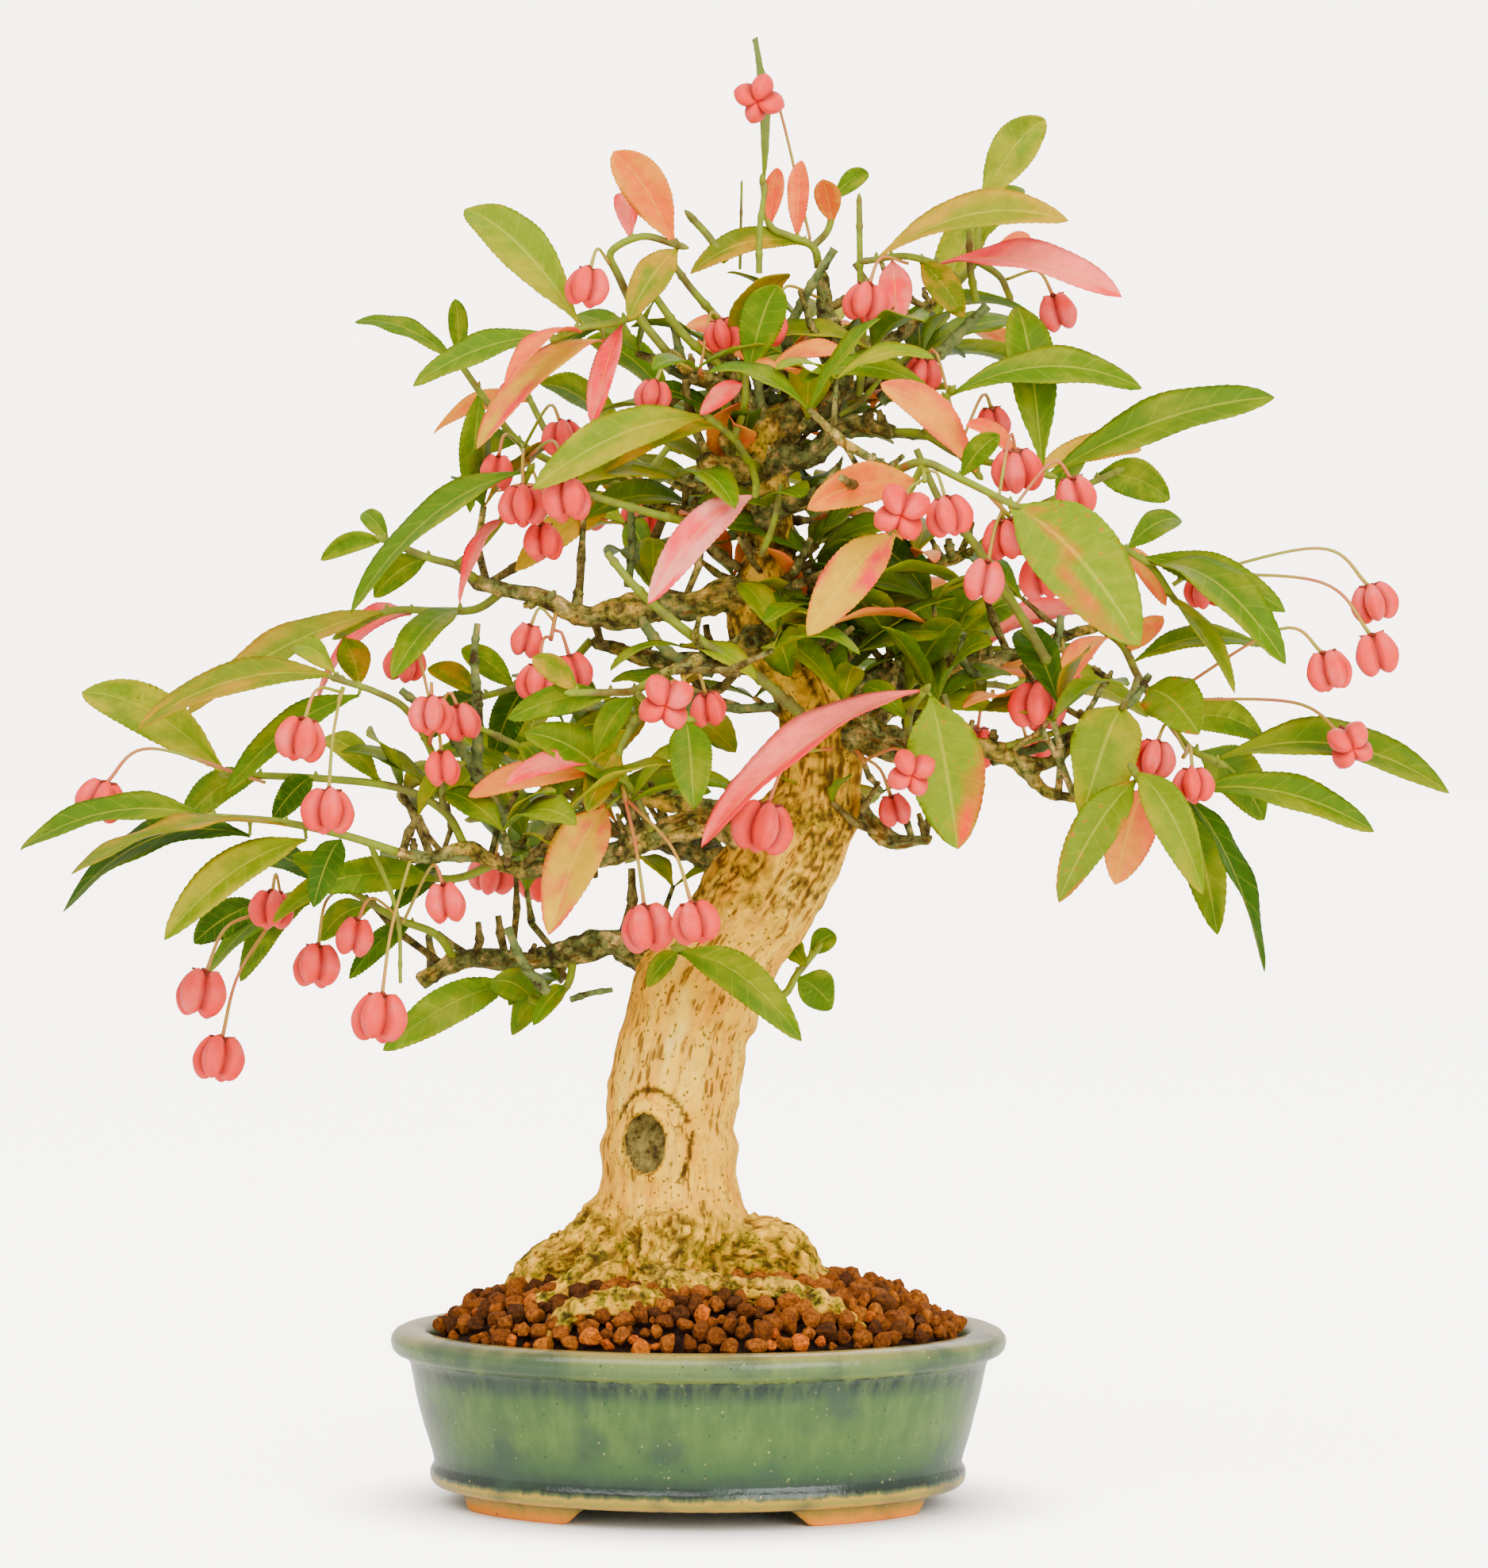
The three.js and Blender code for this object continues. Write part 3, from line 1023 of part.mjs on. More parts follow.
// Fruit bunches: four-lobed capsules, each one skin with its thin stalk.
function fruitSolid({ at, radius, axis, stalk }) {
  const tall = radius * FRUIT_TALL;
  const wide = radius * Math.cos(LATITUDE);
  const row = (reach, size, lobed) => ({ at: at.clone().addScaledVector(axis, reach), radius: size, lobed });
  const run = [
    stalk[0],
    stalk[1],
    row(-tall, STALK_RADIUS, false),
    row(-tall * Math.sin(LATITUDE), wide, true),
    row(tall * Math.sin(LATITUDE), wide, true),
    row(tall, 0, true),
  ];
  const rings = ringsAlong(run);
  rings.forEach((ring, i) => {
    ring.share = run[i].lobed ? (corner) => (corner % 2 ? GROOVE : 1) : null;
    ring.corner = run[i].lobed ? (corner) => corner : (corner) => corner - (corner % 2);
  });
  return toSolid(loft(rings, LOBE_SIDES));
}

for (const bunch of bunches) {
  const pieces = bunch.fruits.map(fruitSolid);
  if (bunch.stem) pieces.push(toSolid(tube(bunch.stem, STALK_SIDES)));
  const grown = join(pieces);
  addMesh(bunch.name, whole(bunch.onWood ? grown.subtract(aroundWood) : grown), FRUIT_COLOR, 0.5);
}

// The origin is the middle of the space that the piece takes up, on the table.
const box = new THREE.Box3().setFromObject(group);
group.position.set(-(box.min.x + box.max.x) / 2, -(box.min.y + box.max.y) / 2, -box.min.z);

export default group;
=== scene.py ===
import math
import random

import bmesh
import bpy
import numpy as np
from mathutils import Matrix, Vector, noise


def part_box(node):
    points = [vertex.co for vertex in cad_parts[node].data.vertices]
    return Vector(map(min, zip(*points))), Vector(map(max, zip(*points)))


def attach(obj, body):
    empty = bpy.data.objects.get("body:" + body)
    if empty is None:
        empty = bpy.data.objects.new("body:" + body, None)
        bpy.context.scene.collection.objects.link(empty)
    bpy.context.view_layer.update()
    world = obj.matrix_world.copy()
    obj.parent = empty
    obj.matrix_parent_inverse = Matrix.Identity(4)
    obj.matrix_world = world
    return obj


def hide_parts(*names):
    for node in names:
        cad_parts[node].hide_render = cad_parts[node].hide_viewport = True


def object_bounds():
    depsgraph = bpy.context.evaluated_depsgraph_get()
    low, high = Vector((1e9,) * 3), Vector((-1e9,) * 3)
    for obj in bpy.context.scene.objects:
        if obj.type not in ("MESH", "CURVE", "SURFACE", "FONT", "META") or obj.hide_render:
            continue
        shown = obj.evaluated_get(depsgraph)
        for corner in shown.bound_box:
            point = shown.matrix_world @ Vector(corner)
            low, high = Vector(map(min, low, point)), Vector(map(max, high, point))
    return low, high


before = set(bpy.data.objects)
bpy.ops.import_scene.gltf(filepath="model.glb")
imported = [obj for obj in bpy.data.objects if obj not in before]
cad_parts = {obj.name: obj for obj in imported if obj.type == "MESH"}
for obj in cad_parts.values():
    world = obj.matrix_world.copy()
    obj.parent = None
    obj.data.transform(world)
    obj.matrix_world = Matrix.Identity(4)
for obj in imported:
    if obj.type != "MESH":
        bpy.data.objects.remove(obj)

cad_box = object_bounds()

# ---- Pot -------------------------------------------------------------------
# An oval stoneware pot, thrown and pressed oval, with a rolled lip, a bead above the feet and
# four feet cut from one foot ring. It is dipped in a running copper-green glaze that breaks to
# tan on the edges, and the clay stays bare where it stood in the kiln.
MM = 0.001
pot_low, pot_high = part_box("pot")
POT_X = (pot_low[0] + pot_high[0]) / 2
POT_Y = (pot_low[1] + pot_high[1]) / 2
FLOOR_LONG = 62.0
FLOOR_DEEP = 47.5
FOOT_TOP = 4.2
POT_STEPS = 224
POT_PROFILE = [
    (0, 4.2), (53.8, 4.2), (54.3, 3.4), (54.8, 0.5), (55.4, 0), (60.8, 0), (61.5, 0.5), (62.1, 3.3),
    (62.8, 4.3), (64.9, 4.6), (66.4, 5.1), (67.2, 6.0), (67.5, 7.2), (67.5, 8.4), (67.2, 9.3),
    (66.6, 10.1), (66.5, 11), (67, 13), (68.1, 16.5), (69.2, 20), (70.2, 24), (71.2, 28), (72, 32),
    (72.6, 35.2), (73.2, 36.7), (74.6, 37.5), (76.2, 38.2), (77.1, 39.2), (77.5, 40.8), (77.3, 42.2),
    (76.4, 43.4), (74.9, 44.1), (73, 44.3), (70.9, 44.3), (69.4, 44), (68.6, 43.2), (68.1, 41.6),
    (66.6, 34), (65.4, 28), (61.4, 12.6), (56.6, 9), (0, 9),
]
# Half widths of the gaps between the feet, at the outside and at the inside.
FRONT_GAP = (30, 23)
SIDE_GAP = (19, 14)
FRONT_GAP_BEYOND = 30
SIDE_GAP_BEYOND = 50
WALL_SWAY = 0.22
DRAIN_RADIUS = 5
DRAIN_PLACE = 28


def colour(hexes):
    """An sRGB hex value as linear red, green, blue and alpha."""
    parts = [int(hexes[i : i + 2], 16) / 255 for i in (1, 3, 5)]
    return [p / 12.92 if p <= 0.04045 else ((p + 0.055) / 1.055) ** 2.4 for p in parts] + [1.0]


def put(tree, node, **links):
    """A link or a value for some of a node's inputs, each by name or as i and its number."""
    for key, value in links.items():
        numbered = key[0] == "i" and key[1:].isdigit()
        socket = node.inputs[int(key[1:]) if numbered else key.replace("_", " ")]
        if isinstance(value, bpy.types.NodeSocket):
            tree.links.new(value, socket)
        else:
            socket.default_value = value
    return node


def add(tree, kind, settings=None, stops=(), **links):
    """One shader node with its settings, a colour ramp's stops (place, hex) and its inputs."""
    made = tree.nodes.new("ShaderNode" + kind)
    for key, value in (settings or {}).items():
        setattr(made, key, value)
    for i, (place, hexes) in enumerate(stops):
        points = made.color_ramp.elements
        stop = points[i] if i < 2 else points.new(place)
        stop.position = place
        stop.color = colour(hexes)
    return put(tree, made, **links)


def new_material(name):
    """A material, its node tree and its shader."""
    material = bpy.data.materials.new(name)
    material.use_nodes = True
    tree = material.node_tree
    return material, tree, tree.nodes["Principled BSDF"]


def new_piece(name, bm, *materials, smooth=True):
    """The bmesh as an object in the scene, riding on the body."""
    mesh = bpy.data.meshes.new(name)
    bm.to_mesh(mesh)
    bm.free()
    for material in materials:
        mesh.materials.append(material)
    mesh.shade_smooth() if smooth else mesh.shade_flat()
    piece = bpy.data.objects.new(name, mesh)
    bpy.context.scene.collection.objects.link(piece)
    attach(piece, "root")
    return piece


def to_oval(distance, angle):
    """The oval's point for a round point, with the same wall all round beyond the floor."""
    share = min(1.0, distance / FLOOR_LONG)
    out_x, out_y = math.cos(angle) / FLOOR_LONG, math.sin(angle) / FLOOR_DEEP
    scale = max(0.0, distance - FLOOR_LONG) / math.hypot(out_x, out_y)
    return (
        FLOOR_LONG * share * math.cos(angle) + out_x * scale,
        FLOOR_DEEP * share * math.sin(angle) + out_y * scale,
    )


def spin_oval(profile, steps):
    """A closed oval shell from a profile of (distance, height) in mm round the pot's middle."""
    bm = bmesh.new()
    verts = [bm.verts.new((distance, 0, height)) for distance, height in profile]
    edges = [bm.edges.new(pair) for pair in zip(verts, verts[1:])]
    bmesh.ops.spin(
        bm, geom=verts + edges, cent=(0, 0, 0), axis=(0, 0, 1), angle=math.tau, steps=steps, use_merge=True
    )
    bmesh.ops.remove_doubles(bm, verts=bm.verts, dist=1e-4)
    for vert in bm.verts:
        x, y = to_oval(math.hypot(vert.co.x, vert.co.y), math.atan2(vert.co.y, vert.co.x))
        vert.co.x, vert.co.y = x, y
    bmesh.ops.recalc_face_normals(bm, faces=bm.faces)
    return bm


def set_down(bm):
    """From mm round the pot's middle to metres in the frame."""
    bmesh.ops.scale(bm, vec=(MM, MM, MM), verts=bm.verts)
    bmesh.ops.translate(bm, vec=(POT_X, POT_Y, 0), verts=bm.verts)


def gap_share(place, gap):
    """1 in the middle of a foot gap, falling to 0 over its slanted ends."""
    outer, inner = gap
    return min(1.0, max(0.0, (outer - abs(place)) / (outer - inner)))


bm = spin_oval(POT_PROFILE, POT_STEPS)
for vert in bm.verts:
    x, y, z = vert.co
    distance = math.hypot(x / FLOOR_LONG, y / FLOOR_DEEP)
    if z < FOOT_TOP and distance > 0.8:
        open_share = gap_share(x, FRONT_GAP) if abs(y) > FRONT_GAP_BEYOND else 0.0
        open_share = max(open_share, gap_share(y, SIDE_GAP) if abs(x) > SIDE_GAP_BEYOND else 0.0)
        vert.co.z = z + (FOOT_TOP - 0.02 - z) * min(1.0, open_share * 1.6)
    # The wall swells and sinks a little, as a pressed pot's does.
    sway = noise.noise(Vector((x / 17, y / 17, z / 9)))
    if distance > 1.02 and z > FOOT_TOP:
        vert.co.x += WALL_SWAY * sway * x / FLOOR_LONG
        vert.co.y += WALL_SWAY * sway * y / FLOOR_DEEP
set_down(bm)

glaze, tree, shader = new_material("copper_green_glaze_running")
# Stoneware glaze, fired glossy: it breaks to tan on the lip and bead where it runs thin, goes a deeper
# blue-green in cloudy patches, and leaves fine pale specks and pinholes. The bands go dark where the
# wall turns in above the bead and under the rolled lip: glaze pooled there, and painted shade.
place = add(tree, "TexCoord").outputs["Object"]
axes = add(tree, "SeparateXYZ", Vector=place)
runs = add(tree, "Mapping", Vector=place, Scale=(1 / (3.2 * MM), 1 / (3.2 * MM), 1 / (17 * MM)))
wander = add(tree, "TexNoise", Vector=runs.outputs[0], Scale=1.0, Detail=3.0, Roughness=0.6)
fine = add(tree, "TexNoise", Vector=place, Scale=1 / (2.6 * MM), Detail=4.0, Roughness=0.65)
cloud = add(tree, "TexNoise", Vector=place, Scale=1 / (16 * MM), Detail=2.0)
shifted = add(
    tree, "Math", {"operation": "MULTIPLY_ADD"}, i0=wander.outputs["Fac"], i1=0.0024, i2=axes.outputs["Z"]
)
shifted = add(
    tree, "Math", {"operation": "MULTIPLY_ADD"}, i0=fine.outputs["Fac"], i1=0.001, i2=shifted.outputs[0]
)
height = add(tree, "MapRange", Value=shifted.outputs[0], From_Min=0.0017, From_Max=0.046)
# The dark stops from 0.2 to 0.24 and from 0.76 to 0.835 lie in the crease above the bead and under the rolled
# lip: pooled glaze, and painted shade.
bands = add(tree, "ValToRGB", stops=[
    (0.0, "#F78D03"), (0.034, "#E48C0C"), (0.066, "#B08218"), (0.1, "#6E6E2C"), (0.118, "#BE8814"),
    (0.14, "#8E8428"), (0.165, "#B08C24"), (0.18, "#4E5A2C"), (0.2, "#142018"), (0.24, "#1C3022"),
    (0.32, "#34562A"), (0.5, "#456426"), (0.7, "#3A5C26"), (0.76, "#1E3826"), (0.8, "#14261C"),
    (0.835, "#22382A"), (0.852, "#75803C"), (0.885, "#4C6636"), (0.94, "#5E6E3C"), (0.975, "#7E7A42"),
    (1.0, "#A48C4C"),
], Fac=height.outputs["Result"]).outputs["Color"]
streak = add(tree, "MapRange", Value=wander.outputs["Fac"], From_Min=0.4, From_Max=0.75)
body = add(
    tree, "MapRange", {"interpolation_type": "SMOOTHSTEP"}, Value=axes.outputs["Z"], From_Min=0.014,
    From_Max=0.022
)
amount = add(tree, "Math", {"operation": "MULTIPLY"}, i0=streak.outputs["Result"], i1=body.outputs["Result"])
amount = add(tree, "Math", {"operation": "MULTIPLY"}, i0=amount.outputs[0], i1=0.5)
pale = add(tree, "Mix", {"data_type": "RGBA"}, i0=amount.outputs[0], i6=bands, i7=colour("#66823A"))
dark = add(tree, "MapRange", Value=cloud.outputs["Fac"], From_Min=0.48, From_Max=0.66, To_Max=0.75)
deep = add(
    tree, "Mix", {"data_type": "RGBA"}, i0=dark.outputs["Result"], i6=pale.outputs[2], i7=colour("#27402F")
)
cells = add(tree, "TexVoronoi", Vector=place, Scale=1 / (2.1 * MM))
cell_pick = add(tree, "TexNoise", Vector=place, Scale=1 / (4.8 * MM), Detail=1.0)
near = add(tree, "MapRange", Value=cells.outputs["Distance"], From_Min=0.18, From_Max=0.08)
pick = add(tree, "MapRange", Value=cell_pick.outputs["Fac"], From_Min=0.52, From_Max=0.72)
speck = add(tree, "Math", {"operation": "MULTIPLY"}, i0=near.outputs["Result"], i1=pick.outputs["Result"])
speck = add(tree, "Math", {"operation": "MULTIPLY"}, i0=speck.outputs[0], i1=0.5)
specked = add(
    tree, "Mix", {"data_type": "RGBA"}, i0=speck.outputs[0], i6=deep.outputs[2], i7=colour("#D8CC78")
)
holes = add(tree, "TexVoronoi", Vector=place, Scale=1 / (3.4 * MM))
hole = add(tree, "MapRange", Value=holes.outputs["Distance"], From_Min=0.11, From_Max=0.07, To_Max=0.7)
final = add(
    tree, "Mix", {"data_type": "RGBA"}, i0=hole.outputs["Result"], i6=specked.outputs[2], i7=colour("#1B251E")
)
put(tree, shader, Base_Color=final.outputs[2])
bare = add(
    tree, "MapRange", Value=shifted.outputs[0], From_Min=0.0036, From_Max=0.0046, To_Min=0.8, To_Max=0.15
)
put(tree, shader, Roughness=bare.outputs["Result"], IOR=1.52, Specular_IOR_Level=0.42)
bump = add(tree, "Bump", Strength=0.35, Distance=0.0006, Height=fine.outputs["Fac"])
put(tree, shader, Normal=bump.outputs[0])

pot = new_piece("pot_glazed", bm, glaze)
drill = bmesh.new()
for side in (-1, 1):
    made = bmesh.ops.create_cone(
        drill, cap_ends=True, segments=40, radius1=DRAIN_RADIUS, radius2=DRAIN_RADIUS, depth=30
    )
    bmesh.ops.translate(drill, vec=(side * DRAIN_PLACE, 0, 5), verts=made["verts"])
set_down(drill)
drill = new_piece("drain_drill", drill)
cut = pot.modifiers.new("drain_holes", "BOOLEAN")
cut.operation = "DIFFERENCE"
cut.object = drill
cut.solver = "EXACT"
bored = bpy.data.meshes.new_from_object(pot.evaluated_get(bpy.context.evaluated_depsgraph_get()))
pot.modifiers.clear()
pot.data = bored
bpy.data.objects.remove(drill)
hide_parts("pot")

# ---- Soil ------------------------------------------------------------------
# Fired clay granules of 3 to 6 mm, heaped over a fill painted near black: painted shade in the
# gaps between them. The heap is loose grains, each with its own tone; paler orange ones lie along
# the front lip.
MOUND_RIM = 42.7
MOUND_RISE = 14.0
MOUND_REACH = 66.9
FILL_SECTION = [(0, 12), (60, 14), (64.4, 28), (66, 38), (66.9, 41.6)]
FILL_BELOW = 2.2
# Spacing, how many, smallest and largest radius, and how far they lie above the heap, in mm.
GRAINS = [(3.9, 640, (2.1, 3.1), 0.3), (2.3, 1250, (1.2, 1.8), -0.4)]
CELL = 4
GRAINS_IN_A_PART = 30
FRONT_LIP = -42
GRAIN_TONES = ["#7A400C", "#8C4A0E", "#6A360A", "#80440E", "#5A300A", "#4A2608", "#8A4A10", "#9A540E"]
ORANGE_TONES = ["#BC5A08", "#A84C08", "#C4640C"]


def mound(share):
    """The heap's height in mm at a share of the way from the pot's middle to its wall."""
    return MOUND_RIM + MOUND_RISE * (1 - share ** 4)


def faces_of(verts):
    """The faces that the given points belong to."""
    return {face for vert in verts for face in vert.link_faces}


def paint(faces, layer, tone):
    """Gives all corners of the faces one tone."""
    for face in faces:
        for loop in face.loops:
            loop[layer] = tone


draw = random.Random(11)
shares = (0.97, 0.9, 0.8, 0.65, 0.5, 0.3, 0.1, 0)
heap = [(MOUND_REACH * share, mound(share) - FILL_BELOW) for share in shares]
bm = spin_oval(FILL_SECTION + heap, 96)
tone_layer = bm.loops.layers.float_color.new("tone")
# The fill is painted near-black brown: painted shade seen in the gaps between the grains.
paint(bm.faces, tone_layer, colour("#2B170D"))


def join(bm, part):
    """Adds a small mesh to a large one: many shapes are made much faster in small ones."""
    mesh = bpy.data.meshes.new("part")
    part.to_mesh(mesh)
    part.free()
    bm.from_mesh(mesh)
    bpy.data.meshes.remove(mesh)


def grain(bm, at, size, tone):
    """One angular granule: a ball of 80 faces cut by a few random planes."""
    made = bmesh.ops.create_icosphere(bm, subdivisions=2, radius=1.0)["verts"]
    cuts = []
    for _ in range(7):
        way = Vector([draw.gauss(0, 1) for _ in range(3)]).normalized()
        cuts.append((way, draw.uniform(0.5, 0.85)))
    squash = Vector([draw.uniform(0.8, 1.25) for _ in range(3)])
    for vert in made:
        for way, depth in cuts:
            over = vert.co.dot(way) - depth
            if over > 0:
                vert.co -= way * over
        rough = 1 + 0.16 * noise.noise(vert.co * 2.3 + at)
        vert.co = Vector([vert.co[i] * squash[i] * size * rough for i in range(3)]) + at
    paint(faces_of(made), bm.loops.layers.float_color["tone"], tone)


def grain_mesh():
    """An empty mesh with the layer that the granules' material reads."""
    part = bmesh.new()
    part.loops.layers.float_color.new("tone")
    return part


taken = {}
part = grain_mesh()
for spacing, wanted, sizes, above in GRAINS:
    placed = 0
    for _ in range(wanted * 12):
        angle = draw.uniform(0, math.tau)
        reach = math.sqrt(draw.random())
        x = (FLOOR_LONG + 3.2) * reach * math.cos(angle)
        y = (FLOOR_DEEP + 3.2) * reach * math.sin(angle)
        cell = (int(x // CELL), int(y // CELL))
        beside = [(cell[0] + i, cell[1] + j) for i in (-1, 0, 1) for j in (-1, 0, 1)]
        near = [spot for place in beside for spot in taken.get(place, [])]
        if any(math.hypot(x - px, y - py) < (spacing + own) / 2 for px, py, own in near):
            continue
        taken.setdefault(cell, []).append((x, y, spacing))
        share = min(1.0, math.hypot(x / (FLOOR_LONG + 4.9), y / (FLOOR_DEEP + 4.9)))
        lift = mound(share) + above + draw.uniform(-0.5, 0.6)
        front = y < FRONT_LIP and draw.random() < 0.24
        tone = colour(draw.choice(ORANGE_TONES if front or draw.random() < 0.04 else GRAIN_TONES))
        grain(part, Vector((x, y, lift)), draw.uniform(*sizes), tone)
        placed += 1
        if placed % GRAINS_IN_A_PART == 0:
            join(bm, part)
            part = grain_mesh()
        if placed >= wanted:
            break
join(bm, part)
set_down(bm)

akadama, tree, shader = new_material("fired_clay_granules_matt")
# Soft-fired clay, crushed and sieved: wholly matt and pitted. The fill under the grains carries a
# dark tone, painted shade.
place = add(tree, "TexCoord").outputs["Object"]
tone = add(tree, "VertexColor", {"layer_name": "tone"})
pits = add(tree, "TexNoise", Vector=place, Scale=1 / (1.1 * MM), Detail=5.0, Roughness=0.7)
shade = add(tree, "MapRange", Value=pits.outputs["Fac"], From_Min=0.35, From_Max=0.65, To_Min=0.3, To_Max=1.4)
grey = add(
    tree, "CombineColor", Red=shade.outputs["Result"], Green=shade.outputs["Result"],
    Blue=shade.outputs["Result"]
)
toned = add(
    tree, "Mix", {"data_type": "RGBA", "blend_type": "MULTIPLY"}, i0=1.0, i6=tone.outputs["Color"],
    i7=grey.outputs[0]
)
put(tree, shader, Base_Color=toned.outputs[2], Roughness=0.92, Specular_IOR_Level=0.15)
bump = add(tree, "Bump", Strength=0.8, Distance=0.0004, Height=pits.outputs["Fac"])
put(tree, shader, Normal=bump.outputs[0])
soil = new_piece("soil_granules", bm, akadama, smooth=False)
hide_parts("soil")

# ---- Trunk, roots and branches ---------------------------------------------
# Living wood grown in one: an old trunk with corky bark over a flare of surface roots, and
# branches that end in shoots or in old cut stubs. Runs are x, y, z and radius in mm.
TRUNK = [
    (-18.2, -26.9, 23.7, 17), (-18.2, -27.4, 44.9, 20.5), (-18.6, -28.1, 58, 19.5),
    (-19.3, -28.6, 75.1, 18.6), (-19.3, -28.2, 90.7, 17.6), (-19, -27, 98.6, 17),
    (-17.1, -25.6, 110.5, 16.2), (-13.8, -24.1, 123.8, 16), (-6, -23.3, 138.4, 14.8),
    (3.7, -24.4, 152.9, 15), (10.8, -26.7, 164.3, 13.8), (16.9, -28.1, 175.1, 12.2),
    (18.9, -28.7, 186.7, 10.6), (18.2, -27.5, 197.8, 10), (14.8, -25.4, 206.5, 9.3),
    (8.7, -23.5, 214.4, 8.8), (3.1, -21.6, 220.9, 8.3), (4, -19.4, 229.9, 7.6), (5.7, -19, 239, 6.5),
    (5.3, -19.8, 249, 5.8), (4.5, -20.6, 258.9, 6), (5.1, -21.3, 266.9, 5.8), (7.6, -22, 272.9, 4.4),
]
ROOTS = [
    [(-13.9, -30.7, 62.3, 12), (-1.9, -31.1, 62.4, 9.5), (7, -30.6, 62.9, 9), (13, -30.4, 58.4, 7),
     (17, -29.4, 51.3, 5), (18.9, -28.5, 43.2, 3.5)],
    [(-24, -30, 72.2, 12), (-34, -30.6, 66.2, 11), (-42.9, -31.3, 61.2, 8), (-51, -30.8, 58.1, 6.5),
     (-56.1, -30.2, 53, 5.5), (-62.1, -29.6, 47.9, 4), (-68.2, -29.1, 41.7, 2.6)],
    [(-19.6, -35.7, 72.8, 12), (-19.3, -40.9, 65.3, 11.5), (-21, -45.2, 57.8, 8), (-21.7, -48.5, 48.3, 5)],
    [(-21.8, -47.2, 59, 7), (-12.6, -52.8, 56.3, 4.6), (-1.6, -55.3, 56.1, 4.2), (9.3, -56.7, 55.8, 4.2),
     (18.1, -57.3, 54, 3.8), (26, -58, 50.7, 2.8), (30.9, -58.9, 44.9, 1.8)],
    [(-18.9, -47.1, 57.1, 6), (-19.1, -58.3, 53.4, 4), (-25.6, -63.6, 54.4, 4.2), (-33.8, -65, 53.1, 4),
     (-40.1, -66.4, 51.7, 3.6), (-45.4, -66.8, 48.3, 3), (-48.8, -67.1, 41.5, 2)],
    [(-29.5, -36.5, 62.8, 8), (-38.8, -45.2, 57.7, 5), (-48.4, -49.8, 52.3, 3.6), (-56, -52.4, 44.6, 2.4)],
    [(-8.6, -19.5, 59.1, 11), (0.9, -9.1, 56, 8), (12.7, -0.6, 50.1, 5.5), (22.8, 2.8, 44.7, 3.5),
     (28.9, 3.9, 36.4, 2.2)],
    [(-24.7, -20.3, 59.1, 11), (-37.6, -9.1, 54.8, 8), (-49.2, -3.9, 49.1, 5), (-55.5, -2.4, 39.7, 3)],
    [(-15.9, -15.9, 58.7, 10), (-15.6, -4, 54.4, 7), (-12.1, 6.1, 47.1, 4.5), (-8.4, 13, 37.1, 2.8)],
]
